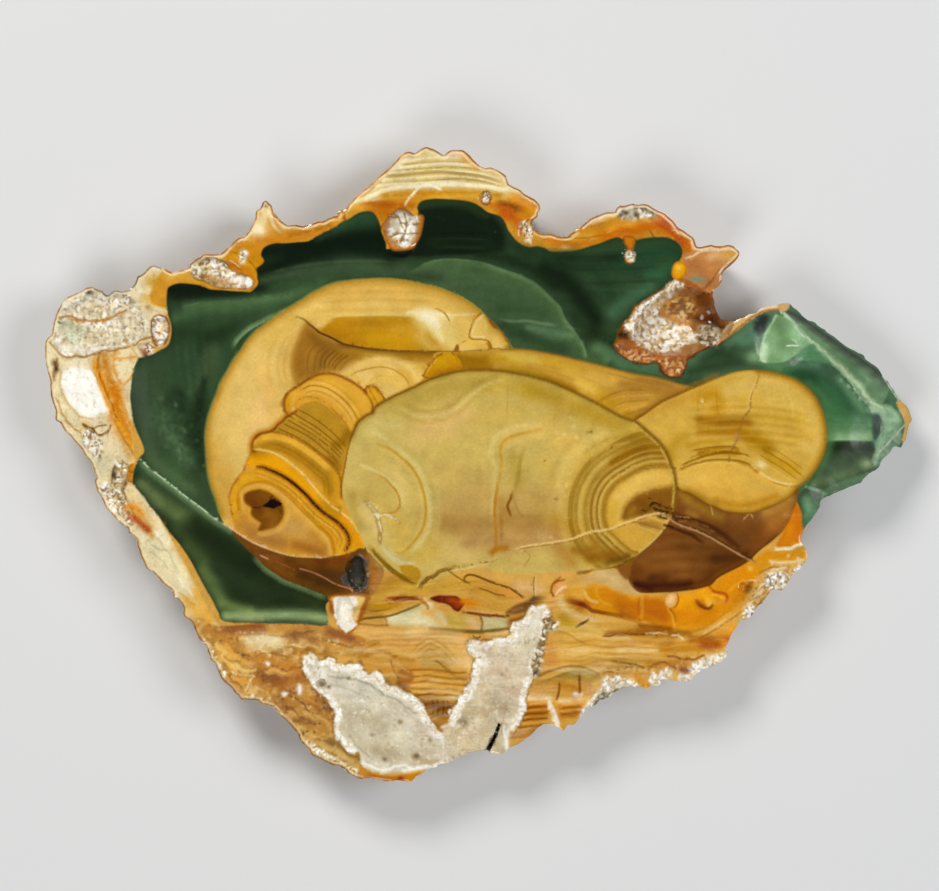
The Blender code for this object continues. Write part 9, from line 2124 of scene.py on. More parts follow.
def fringe(p, points, seed):
    """The ragged white border of an ash patch, with a brown line outside it."""
    line = spline(points)
    p.stroke(moved(line, 4.6), "#7c5826", 2.0, 1.1, 0.75, curve=False, wob=(1.8, 5, seed))
    band = np.vstack([moved(line, 4.0), moved(line, -2.4)[::-1]])
    p.crystals(band, ("#fffdf6", "#f6efe0", "#ffffff", "#e6d9bc", "#f1e9d8", "#d4c29a"), 2.8, "#dfd0ae", 0.22, seed, curve=False, soft=1.2, relief=0.10, rough=0.5)
    p.stroke(moved(line, 0.6), "#fffdf6", 2.2, 1.4, 0.45, curve=False, wob=(1.6, 4, seed + 3))


def ash(p):
    """The two grey-cream ash-filled patches at the lower edge."""
    p.fill(ASH_LEFT, "#dcd4bd", soft=1.0, wob=(1.8, 4, 171))
    p.only(ASH_LEFT, soft=2.5)
    p.wash([(324, 676), (344, 688), (356, 700)], "#ddd4c0", 13, 0.9)
    p.wash([(350, 712), (366, 720), (384, 726)], "#c6b898", 13, 0.9)
    p.wash([(388, 704), (400, 706), (412, 714)], "#d8ccb2", 9, 0.85)
    p.wash([(394, 736), (410, 742), (428, 748)], "#dcd2b4", 11, 0.9)
    p.wash([(414, 758), (424, 762), (436, 764)], "#c0ab82", 7, 0.85)
    p.wash([(372, 748), (384, 752), (396, 756)], "#b9a985", 9, 0.85)
    p.wash([(346, 728), (356, 738), (366, 748)], "#cbbd9a", 7, 0.7)
    p.wash([(328, 664), (334, 667), (340, 670)], "#b3a27e", 4, 0.7)
    p.wash([(318, 668), (322, 674)], "#f6efe2", 5, 0.85)
    p.wash([(376, 680), (382, 684), (390, 690)], "#eeddb6", 4, 0.8)
    p.wash([(408, 699), (414, 703), (420, 710)], "#fbefcc", 4, 0.8)
    p.mottle(ASH_LEFT, 0.08, (8, 6), 172, 3)
    p.sprinkle(ASH_LEFT, "#fbf7ec", 4.0, 0.5, 0.6, 173, size=0.8, soft=2)
    p.sprinkle(ASH_LEFT, "#9c8a64", 4.5, 0.5, 0.6, 174, size=0.7, soft=2)
    p.stroke(ASH_LEFT[:31], "#fbf8ee", (6.5, 8.0, 7.0, 8.0, 7.0), 1.6, 0.95, wob=(2.2, 4, 175))
    p.stroke([(328, 674), (332, 676), (345, 678.5), (359, 680.5), (369.2, 685), (377.4, 690.3), (385.6, 695.4), (393.8, 698.5), (401, 702.6), (407, 707.7), (415.4, 712.8)], "#a19a84", 1.8, 0.9, 0.75, wob=(1.2, 5, 176))
    p.stroke([(330, 684), (346, 688), (360, 694), (372, 702)], "#b4a98e", 1.6, 1.2, 0.5, wob=(1.6, 7, 177))
    p.stroke([(349, 736), (356, 745), (364, 752), (372, 758)], "#9e9078", 1.6, 1.0, 0.6, wob=(1.2, 5, 178))
    p.stroke([(362, 763), (373.3, 767.2), (381.5, 770.3), (389.7, 768.7), (397, 766.2), (405, 765.6), (412, 769.2)], "#faf4e6", 2.4, 0.9, 0.9, wob=(0.8, 5, 179))
    for x, y, r, c in ((400, 722, 2.2, "#7c6434"), (348.7, 678, 1.8, "#6d5c3c"), (328.7, 686.7, 1.8, "#6d5634"), (416.4, 756, 2.8, "#5c4628"), (384.6, 759.5, 2.0, "#6b5230"), (372, 735, 1.6, "#8d7850"), (430, 740, 1.8, "#8a744a")):
        p.glow(x, y, r * 1.2, r, c, 0.85)
    p.only()
    fringe(p, ASH_LEFT[1:30], 205)
    fringe(p, ASH_LEFT[38:52], 206)
    under = [(360, 766), (372, 773), (392, 776), (410, 774), (420, 772), (414, 782), (390, 786), (366, 782)]
    p.fill(under, "#c8821c", soft=1.2)
    p.wash([(370, 777), (386, 780), (402, 779)], "#a8661a", 3.5, 0.7)
    p.glow(400.5, 778.3, 2.6, 2.0, "#8a2408", 0.95)
    p.fill(ASH_RIGHT, "#dccfb2", soft=1.0, wob=(1.8, 4, 181))
    p.only(ASH_RIGHT, soft=2.5)
    p.wash([(486, 654), (500, 650), (514, 648)], "#e4d2b4", (6, 8, 7), 0.9)
    p.wash([(522, 636), (530, 628), (538, 618)], "#e9e2cf", (7, 8, 6), 0.92)
    p.wash([(520, 652), (526, 644), (530, 636)], "#dcd2b2", 6, 0.8)
    p.wash([(484, 668), (486, 664)], "#f3f0de", 5, 0.85)
    p.wash([(500, 672), (508, 680), (512, 690)], "#dcc8a8", 11, 0.85)
    p.wash([(480, 684), (486, 694), (490, 704)], "#d5c39e", 9, 0.85)
    p.wash([(466, 706), (474, 712), (484, 716)], "#c9b88e", 9, 0.85)
    p.wash([(496, 702), (504, 710), (508, 718)], "#c2b292", 8, 0.85)
    p.wash([(458, 718), (464, 722)], "#83724a", 5, 0.8)
    p.wash([(452, 732), (460, 740), (470, 744)], "#d6c29a", 9, 0.85)
    p.wash([(484, 736), (494, 742), (500, 750)], "#c0ad84", 8, 0.85)
    p.wash([(508, 722), (511, 726)], "#f3e6cc", 4, 0.85)
    p.wash([(524, 700), (527, 690), (530, 680)], "#e6dcc0", 3, 0.7)
    p.mottle(ASH_RIGHT, 0.08, (8, 6), 182, 3)
    p.sprinkle(ASH_RIGHT, "#fbf7ec", 4.0, 0.5, 0.65, 183, size=0.8, soft=2)
    p.sprinkle(ASH_RIGHT, "#a08c64", 4.5, 0.5, 0.55, 184, size=0.7, soft=2)
    p.stroke(ASH_RIGHT[:29], "#fbf8ee", (6.0, 7.0, 6.5, 7.5, 7.0), 1.5, 0.95, wob=(2.2, 4, 185))
    p.stroke(ASH_RIGHT[29:48], "#f6f1e4", (5.0, 4.5, 4.0, 4.5, 4.0), 1.3, 0.9, wob=(1.8, 4, 186))
    p.stroke([(506, 700), (505, 712), (503, 724), (500, 736)], "#a8957a", 1.5, 1.0, 0.5, wob=(1.4, 6, 186))
    p.stroke([(503.5, 724), (504.5, 733), (507, 742), (508, 752)], "#fdf8ec", (1.6, 3.0, 3.4, 2.4), 0.9, 0.9, wob=(1, 5, 187))
    p.stroke([(501, 724), (496, 733), (491, 742), (486, 754)], "#24180b", (1.4, 3.2, 4.0, 4.2), 0.8, 0.95, wob=(1, 5, 188))
    p.only()
    fringe(p, ASH_RIGHT[2:28], 207)
    fringe(p, ASH_RIGHT[29:46], 208)
    chain = [(544, 617), (552, 619), (558, 624), (556, 631), (549, 632), (546, 640), (545, 650), (543, 660), (541, 670), (538, 677), (533, 676), (531, 668), (534, 658), (536.5, 648), (539, 640), (542, 630)]
    p.crystals(chain, ("#c8b68a", "#a38a58", "#e6dcc0", "#8a6c3c"), 4.0, "#5c431c", 0.42, 189, relief=0.16)


def corner_rind(p):
    """A flake of orange rind and a thin line on the green corner."""
    flake = [(903, 401), (908, 406), (911.3, 412.3), (913.3, 419.5), (910.8, 424.6), (909, 432), (907, 439), (904.6, 443.6), (903, 440), (905.6, 430), (906, 423), (903, 416), (899, 408), (897, 402)]
    p.fill(flake, "#dfae5c", soft=0.9, op=0.92)
    p.stroke([(884, 376), (888, 382), (893, 390), (900, 399.5)], "#e6ecd4", 1.4, 0.7, 0.8)


def paint(p):
    """Everything on the polished face, from the rind inwards."""
    p.fill([(0, 0), (940, 0), (940, 892), (0, 892)], "#d0a04c", soft=0.1, curve=False)
    rim_left(p)
    rim_top(p)
    lower_middle(p)
    lower_right(p)
    lower_left(p)
    green(p)
    egg1(p)
    fold(p)
    curl(p)
    egg3(p)
    brown_egg(p)
    centre_egg(p)
    brown_foot(p)
    ash(p)
    stringer(p)
    cracks(p)
    fracture(p)
    drops(p)
    vug(p)
    corner_rind(p)
    rim_edge(p, 430, 24, "#f2e3bd", "#85511c", 221)
    rim_edge(p, 24, 44, "#efe6d0", "#5c4424", 223, 2.0)
    rim_edge(p, 44, 112, "#f6e6be", "#8a4f16", 225, 2.2)
    rim_edge(p, 112, 158, "#f6e2b4", "#7a4212", 227, 2.2)
    rim_edge(p, 158, 196, "#f4e6c6", "#8a4612", 229, 2.2)
    rim_edge(p, 378, 430, "#e8c890", "#6b4212", 231, 1.8)
    p.raw([(748, 318), (790, 300), (850, 345), (915, 400), (920, 450), (875, 500), (830, 520), (808, 512), (800, 496), (822, 470), (846, 440), (850, 404), (828, 380), (790, 366), (760, 350)], 0.42, 6)
    # where the material adds its fine strata, sand and rind
    p.mark(RIM_LEFT, 2, 0.55, 4)
    p.mark(RIM_TOP, 2, 0.12, 4)
    p.mark([(150, 500), (180, 540), (210, 580), (300, 620), (340, 640), (345, 760), (420, 800), (300, 800), (180, 650)], 2, 0.25, 5)
    p.mark(GREEN, 2, 0.0, 1.0)
    p.mark([(355, 585), (420, 575), (500, 580), (560, 595), (600, 620), (640, 624), (700, 626), (735, 632), (700, 665), (600, 700), (580, 720), (520, 760), (440, 780), (400, 700), (355, 680)], 0, 0.85, 5)
    p.mark([(556, 585), (600, 575), (640, 592), (700, 588), (760, 555), (790, 510), (812, 500), (812, 545), (770, 560), (745, 610), (700, 626), (640, 622), (590, 612)], 0, 0.22, 5)
    p.mark([(386, 617), (396, 614), (420, 606), (431, 603), (448, 618), (447, 625), (420, 627), (388, 624)], 0, 0.25, 3)
    p.mark([(575, 716), (600, 672), (650, 664), (700, 652), (735, 636), (742, 606), (765, 574), (806, 560), (830, 600), (720, 700), (600, 730)], 2, 0.4, 4)
    p.mark(ASH_LEFT, 1, 0.8, 2.5, 6)
    p.mark(ASH_RIGHT, 1, 0.85, 2.5, 5)


# ------------------------------------------------------------------ shape of the slab
# Pockets: plan x and y, the two radii, turn in degrees, depth in millimetres.
POCKETS = (
    (101.0, 321.0, 44.0, 27.0, 4.0, 1.4), (160.0, 331.0, 8.0, 13.0, 0.0, 1.1), (220.0, 273.0, 28.0, 13.0, -17.0, 1.3),
    (402.0, 229.0, 15.0, 18.0, 0.0, 1.9), (528.0, 229.0, 6.0, 10.0, -30.0, 1.1), (485.5, 198.0, 5.5, 6.5, 0.0, 0.7),
    (630.0, 254.5, 6.0, 5.5, 0.0, 0.8), (676.0, 324.0, 45.0, 31.0, 14.0, 4.2), (708.0, 316.0, 25.0, 23.0, 0.0, 6.0),
    (356.0, 573.0, 9.0, 16.0, 0.0, 1.8), (345.0, 611.0, 9.0, 15.0, 0.0, 1.1), (112.0, 503.0, 10.0, 15.0, 30.0, 0.9),
    (321.0, 684.0, 5.0, 4.5, 0.0, 1.6), (746.0, 586.0, 8.0, 4.0, 25.0, 1.1),
)
# Shell-shaped chips: plan centre, radius, depth in millimetres.
SHELLS = ((782.0, 343.0, 27.0, 0.75), (871.0, 436.0, 21.0, 0.55), (826.0, 492.0, 15.0, 0.50))
# Splinters: the line where each starts at the face, stone on its left, and the dip in degrees.
SPLINTERS = (((777.0, 308.0), (912.0, 437.8), 36.0), ((889.0, 387.0), (872.0, 480.0), 30.0))
CRACK = ((499.0, 725.0), (484.0, 758.0), 2.1, 4.4)


def carved(x, y):
    """Height of the pockets, chips and broken corners over the polished plane, in millimetres."""
    z = np.zeros(x.shape)
    for k, (cx, cy, rx, ry, turn, depth) in enumerate(POCKETS):
        a = math.radians(turn)
        pick = np.nonzero((np.abs(x - cx) < rx + ry + 6) & (np.abs(y - cy) < rx + ry + 6))[0]
        if not len(pick):
            continue
        dx, dy = x[pick] - cx, cy - y[pick]
        u, v = dx * math.cos(a) + dy * math.sin(a), -dx * math.sin(a) + dy * math.cos(a)
        r = np.sqrt((u / rx) ** 2 + (v / ry) ** 2) + 0.16 * fractal(x[pick], y[pick], min(rx, ry) * 0.9, 3, 60 + k)
        z[pick] = np.minimum(z[pick], -depth * np.sqrt(np.clip(1.0 - r * r, 0.0, 1.0)))
    for cx, cy, radius, depth in SHELLS:
        r = ((x - cx) ** 2 + (y - cy) ** 2) / radius ** 2
        z = np.minimum(z, -depth * np.clip(1.0 - r, 0.0, 1.0))
    for (ax, ay), (bx, by), dip in SPLINTERS:
        length = math.hypot(bx - ax, by - ay)
        ux, uy = (bx - ax) / length, (by - ay) / length
        out = (x - ax) * uy - (y - ay) * ux
        along = (x - ax) * ux + (y - ay) * uy
        drop = np.clip(out, 0, None) * STEP * 1000 * math.tan(math.radians(dip))
        drop = drop * ((along > -6) & (along < length + 6))
        z = np.minimum(z, -np.clip(drop, 0, 5.5))
    (ax, ay), (bx, by), wide, deep = CRACK
    dist, t, _ = to_line(x, y, np.array([(ax, ay), ((ax + bx) / 2 + 1.5, (ay + by) / 2), (bx, by)]), 12)
    half = wide * (0.35 + 0.65 * t)
    z = np.minimum(z, -deep * (0.4 + 0.6 * t) * np.clip(1.0 - dist / half, 0, 1) ** 0.5)
    return z


def resample(line, step, closed=False):
    if closed:
        line = np.vstack([line, line[:1]])
    run = np.concatenate([[0.0], np.cumsum(np.hypot(*np.diff(line, axis=0).T))])
    count = max(2, int(round(run[-1] / step)))
    at = np.linspace(0.0, run[-1], count + 1)
    if closed:
        at = at[:-1]
    return np.stack([np.interp(at, run, line[:, 0]), np.interp(at, run, line[:, 1])], 1)


def thinned(points, cell):
    """Leaves out points that share a small square with an earlier one."""
    for shift in (0.0, 0.5):
        key = np.floor(points / cell + shift).astype(np.int64)
        _, first = np.unique(key[:, 0] * 1000003 + key[:, 1], return_index=True)
        points = points[np.sort(first)]
    return points


def scattered(lo, hi, spacing, seed):
    """A staggered grid with each point a little off its place."""
    xs = np.arange(lo[0], hi[0], spacing)
    ys = np.arange(lo[1], hi[1], spacing * 0.866)
    gx, gy = np.meshgrid(xs, ys)
    gx = gx + (np.arange(len(ys))[:, None] % 2) * spacing / 2
    i, j = np.meshgrid(np.arange(len(xs)), np.arange(len(ys)))
    gx = gx + (hash2(i, j, seed) - 0.5) * spacing * 0.45
    gy = gy + (hash2(i, j, seed + 3) - 0.5) * spacing * 0.45
    return np.stack([gx.ravel(), gy.ravel()], 1)


def far_from(points, kept, cell):
    """The points whose square, of this size, holds none of the kept ones."""
    def code(p):
        key = np.floor(p / cell).astype(np.int64)
        return key[:, 0] * 1000003 + key[:, 1]
    return points[~np.isin(code(points), np.unique(code(kept)))]


def triangulated(points, rim):
    """Triangles over plan points whose first ones, as many as rim, are the closed edge, anticlockwise seen from above."""
    flat = [Vector((float(a), float(-b))) for a, b in points]
    edges = [(i, (i + 1) % rim) for i in range(rim)]
    verts, _, faces, origin, _, _ = delaunay_2d_cdt(flat, edges, [], 0, 1e-6)
    back = np.array([o[0] if o else -1 for o in origin])
    tri = np.array([f[:] for f in faces if len(f) == 3])
    tri = back[tri]
    tri = tri[(tri >= 0).all(1)]
    mid = points[tri].mean(1)
    return tri[inside(mid[:, 0], mid[:, 1], points[:rim])]


EDGE = resample(spline(OUTLINE, True, 1.0), 1.75, True)
area = 0.5 * np.sum(EDGE[:, 0] * np.roll(-EDGE[:, 1], -1) - np.roll(EDGE[:, 0], -1) * -EDGE[:, 1])
if area < 0:
    EDGE = EDGE[::-1]
ahead = np.roll(EDGE, -3, 0) - np.roll(EDGE, 3, 0)
ahead /= np.hypot(ahead[:, 0], ahead[:, 1])[:, None]
OUTWARD = np.stack([-ahead[:, 1], ahead[:, 0]], 1)  # in plan, y down
ragged = 0.55 * fractal(EDGE[:, 0], EDGE[:, 1], 5.0, 2, 401) - 0.25
EDGE = EDGE + OUTWARD * ragged[:, None]
RIM = len(EDGE)

# ------------------------------------------------------------------ polished face
plan = Plan()
paint(plan)
rows = [resample(line, step) for line, step in plan.rows if len(line) > 1]
rows = np.vstack(rows)
for k in (1.1, 2.6, 4.4):
    rows = np.vstack([resample(EDGE - OUTWARD * k, 1.9, True), rows])
rows = thinned(rows, 1.2)
fields = []
for line, spacing in plan.dense:
    cloud = scattered(line.min(0), line.max(0), spacing, 11)
    fields.append(cloud[inside(cloud[:, 0], cloud[:, 1], line)])
lo, hi = EDGE.min(0), EDGE.max(0)
if fields:
    fields = far_from(thinned(np.vstack(fields), 1.0), rows, 1.0)
    rows = np.vstack([rows, fields])
GAP = 3.5
back_cloud = far_from(scattered(lo, hi, GAP, 5), rows, 2.2)
cloud = np.vstack([rows, back_cloud])
cloud = cloud[inside(cloud[:, 0], cloud[:, 1], EDGE)]
near_rim, _, _ = to_line(cloud[:, 0], cloud[:, 1], np.vstack([EDGE, EDGE[:1]]), 3)
cloud = cloud[near_rim > 0.7]
front = np.vstack([EDGE, cloud])
front_tri = triangulated(front, RIM)
print("face: rows", len(rows), "all", len(front), "triangles", len(front_tri))

picture = Painting(front[:, 0], front[:, 1])
paint(picture)
front_z = carved(front[:, 0], front[:, 1]) + picture.relief
raw = np.clip(picture.rough, 0, 1)
front_z += raw * 0.10 * fractal(front[:, 0], front[:, 1], 3.0, 2, 77)
to_rim = np.full(len(front), 9.0)
to_rim[:RIM] = 0.0
dist, _, _ = to_line(front[RIM:, 0], front[RIM:, 1], np.vstack([EDGE, EDGE[:1]]), 6)
to_rim[RIM:] = dist
front_z -= 0.16 * np.exp(-(to_rim / 1.3) ** 2) * (0.6 + 0.6 * noise(front[:, 0], front[:, 1], 9, 71))
front_z = np.minimum(front_z, 0.35)

# ------------------------------------------------------------------ natural wall and sawn back
LEVELS = 8
rim_z = TOP + front_z[:RIM] / 1000.0
x0, y0 = EDGE[:, 0], EDGE[:, 1]
rings, ring_z, hollow_shade = [], [], []


def eased(line, reach):
    """A closed line rounded off over this many points."""
    turns = np.fft.fftfreq(len(line))[:, None]
    return np.real(np.fft.ifft(np.fft.fft(line, axis=0) * np.exp(-2.0 * (math.pi * reach * turns) ** 2), axis=0))


for k in range(1, LEVELS + 1):
    part = k / LEVELS
    down = 1.0 - (rim_z / TOP) * (1.0 - part)
    z = rim_z * (1.0 - part)
    zz = z / STEP
    slow = 0.5 + 0.5 * noise(x0, y0, 130, 201)
    lump = fractal(x0 + 1.5 * zz, y0 - 1.2 * zz, 24, 2, 211)
    fine = fractal(x0 - 1.7 * zz, y0 + 1.5 * zz, 11.0, 2, 231)
    inward = 4.5 * down ** 1.4 * (0.4 + 0.9 * slow)
    inward = inward + 7.0 * min(1.0, 2.5 * part) * (0.5 + 0.95 * lump + 0.36 * fine)
    # how far each wall point is carved in, used below to paint shade into the hollows
    hollow_shade.append(0.8 * lump + 0.55 * fine)
    shrink = 1.0 - 0.016 * down ** 1.2
    if k == LEVELS:
        inward = inward + 1.2
    path = eased(EDGE, 9.0 * part ** 0.8)
    facing = eased(OUTWARD, 4.0 + 10.0 * part)
    facing = facing / np.maximum(np.hypot(facing[:, 0], facing[:, 1]), 0.3)[:, None]
    ring = np.stack([MID[0] + (path[:, 0] - MID[0]) * shrink, MID[1] + (path[:, 1] - MID[1]) * shrink], 1)
    rings.append(ring - facing * np.maximum(inward, 0.0)[:, None])
    ring_z.append(z)
# The foot is kept from crossing itself where the edge is deeply notched.
foot = rings[-1]
for _ in range(3):
    foot = 0.5 * foot + 0.25 * (np.roll(foot, 1, 0) + np.roll(foot, -1, 0))
rings[-1] = foot
base_cloud = scattered(lo, hi, 8.5, 25)
base_cloud = base_cloud[inside(base_cloud[:, 0], base_cloud[:, 1], foot)]
near_rim, _, _ = to_line(base_cloud[:, 0], base_cloud[:, 1], np.vstack([foot, foot[:1]]), 6)
base_cloud = base_cloud[near_rim > 2.2]
base = np.vstack([foot, base_cloud])
base_tri = triangulated(base, RIM)

count_front = len(front)
plan_xy = np.vstack([front] + rings + [base_cloud])
height = np.concatenate([TOP + front_z / 1000.0] + ring_z + [np.zeros(len(base_cloud))])
faces = [front_tri]
upper = np.arange(RIM)
for k in range(LEVELS):
    lower = count_front + k * RIM + np.arange(RIM)
    a, b, c, d = upper, lower, np.roll(lower, -1), np.roll(upper, -1)
    faces.append(np.stack([a, b, c], 1))
    faces.append(np.stack([a, c, d], 1))
    upper = lower
shift = count_front + LEVELS * RIM - RIM
base_index = np.where(base_tri < RIM, base_tri + shift, base_tri - RIM + count_front + LEVELS * RIM)
faces.append(base_index[:, ::-1])
faces = np.vstack(faces)
places = np.stack([(plan_xy[:, 0] - MID[0]) * STEP, (MID[1] - plan_xy[:, 1]) * STEP, height], 1)
print("stone: points", len(places), "triangles", len(faces))

# ------------------------------------------------------------------ colour of the wall and back, with painted shade in the wall's hollows
colour = np.zeros((len(places), 3))
finish = np.zeros(len(places))
kind = np.zeros((len(places), 3))
kind[:count_front] = picture.kind
colour[:count_front] = np.clip(picture.colour, 0, 1)
finish[:count_front] = raw
inner = EDGE - OUTWARD * 5.0
inner_picture = Painting(inner[:, 0], inner[:, 1])
paint(inner_picture)
edge_colour = inner_picture.colour
for _ in range(6):
    edge_colour = 0.5 * edge_colour + 0.25 * (np.roll(edge_colour, 1, 0) + np.roll(edge_colour, -1, 0))
greenish = smooth(0.0, 0.12, edge_colour[:, 1] - edge_colour[:, 0])
for k in range(LEVELS):
    part = (k + 1) / LEVELS
    at = slice(count_front + k * RIM, count_front + (k + 1) * RIM)
    zz = ring_z[k] / STEP
    a = 0.5 + 0.5 * fractal(x0 + zz, y0 - zz, 30, 3, 301)
    b = 0.5 + 0.5 * fractal(x0 - 1.4 * zz, y0 + zz, 9, 3, 311)
    c = 0.5 + 0.5 * fractal(x0 * 0.3 + 2 * zz, y0 * 0.3 - 2 * zz, 7, 2, 321)
    skin = rgb("#8a6a3c") * (1 - a[:, None]) + rgb("#c4a878") * a[:, None]
    skin = skin * (1 - 0.45 * smooth(0.45, 0.8, b)[:, None]) + rgb("#4f3314") * (0.45 * smooth(0.45, 0.8, b))[:, None]
    skin = skin * (1 - 0.6 * smooth(0.58, 0.8, c)[:, None]) + rgb("#ddd0b4") * (0.6 * smooth(0.58, 0.8, c))[:, None]
    stone = edge_colour * (0.72 + 0.4 * b)[:, None]
    keep = np.clip(0.75 - 0.55 * part + 0.3 * (b - 0.5) + 0.55 * greenish, 0.1, 0.95)[:, None]
    # painted shade: the wall is darkened where it is carved in deeper and lightened where it stands out
    colour[at] = (stone * keep + skin * (1 - keep)) * np.clip(1.02 - 0.42 * hollow_shade[k], 0.6, 1.25)[:, None]
    finish[at] = 0.85 - 0.35 * greenish
    kind[at, 2] = 0.9
at = slice(count_front + LEVELS * RIM, None)
back_picture = Painting(base_cloud[:, 0], base_cloud[:, 1])
paint(back_picture)
colour[at] = back_picture.colour * 0.9
finish[at] = 0.55
kind[at] = back_picture.kind


def linear(c):
    c = np.clip(c, 0, 1)
    return np.where(c <= 0.04045, c / 12.92, ((c + 0.055) / 1.055) ** 2.4)


def deepened(c):
    """The painted colours, a little deeper, because the polish lays a faint sheen over them."""
    c = 0.985 * linear(c) ** 1.04 - 0.003
    grey = c @ np.array([0.2126, 0.7152, 0.0722])
    return np.clip(grey[:, None] + 1.02 * (c - grey[:, None]), 0.0006, 1.0)


mesh = bpy.data.meshes.new("jasper_stone")
mesh.vertices.add(len(places))
mesh.vertices.foreach_set("co", places.astype(np.float32).ravel())
mesh.loops.add(faces.size)
mesh.loops.foreach_set("vertex_index", faces.astype(np.int32).ravel())
mesh.polygons.add(len(faces))
mesh.polygons.foreach_set("loop_start", np.arange(0, faces.size, 3, dtype=np.int32))
mesh.polygons.foreach_set("loop_total", np.full(len(faces), 3, np.int32))
mesh.update(calc_edges=True)
mesh.validate()
paint_layer = mesh.color_attributes.new("Paint", "FLOAT_COLOR", "POINT")
paint_layer.data.foreach_set("color", np.column_stack([deepened(colour), np.ones(len(places))]).astype(np.float32).ravel())
finish_layer = mesh.attributes.new("Finish", "FLOAT", "POINT")
finish_layer.data.foreach_set("value", finish.astype(np.float32))
kind_layer = mesh.color_attributes.new("Kind", "FLOAT_COLOR", "POINT")
kind_layer.data.foreach_set("color", np.column_stack([kind, np.ones(len(places))]).astype(np.float32).ravel())
where = mesh.attributes.new("PlanPlace", "FLOAT_VECTOR", "POINT")
where.data.foreach_set("vector", (places * 1000.0).astype(np.float32).ravel())

# Layout for baked maps: the face largest, the back small, the wall in three strips.
uv = np.zeros((len(places), 2))
k_face = 0.98 / 872.0
uv[:, 0] = 0.01 + (plan_xy[:, 0] - lo[0] + 3) * k_face
uv[:, 1] = 0.27 + (hi[1] + 3 - plan_xy[:, 1]) * k_face
tri_uv = uv[faces]
n_front, n_base = len(front_tri), len(base_tri)
tri_uv[-n_base:, :, 0] = 0.01 + (tri_uv[-n_base:, :, 0] - 0.01) * 0.33
tri_uv[-n_base:, :, 1] = 0.012 + (tri_uv[-n_base:, :, 1] - 0.27) * 0.33
run = np.concatenate([[0.0], np.cumsum(np.hypot(*(np.roll(EDGE, -1, 0) - EDGE).T))])
third = run[-1] / 3.0
for k in range(LEVELS):
    for half in range(2):
        first = n_front + (2 * k + half) * RIM
        for i_corner in range(3):
            quad = np.arange(RIM)
            step_on = ((0, 0, 1), (0, 1, 1))[half][i_corner]
            level = ((k, k + 1, k + 1), (k, k + 1, k))[half][i_corner]
            along = run[quad + step_on]
            strip = np.minimum((run[quad] / third).astype(int), 2)
            tri_uv[first + quad, i_corner, 0] = 0.36 + 0.60 * (along - strip * third) / third
            tri_uv[first + quad, i_corner, 1] = 0.02 + 0.08 * strip + 0.07 * level / LEVELS
bake = mesh.uv_layers.new(name="OFBake")
bake.data.foreach_set("uv", tri_uv.reshape(-1, 2).astype(np.float32).ravel())

for polygon_flag in ("use_smooth",):
    mesh.polygons.foreach_set(polygon_flag, np.ones(len(faces), bool))
mesh.set_sharp_from_angle(angle=math.radians(48))
stone = bpy.data.objects.new("jasper_stone", mesh)
bpy.context.scene.collection.objects.link(stone)


# ------------------------------------------------------------------ material
def node(tree, kind, x, y, **values):
    made = tree.nodes.new(kind)
    made.location = (x, y)
    for name, value in values.items():
        setattr(made, name, value)
    return made


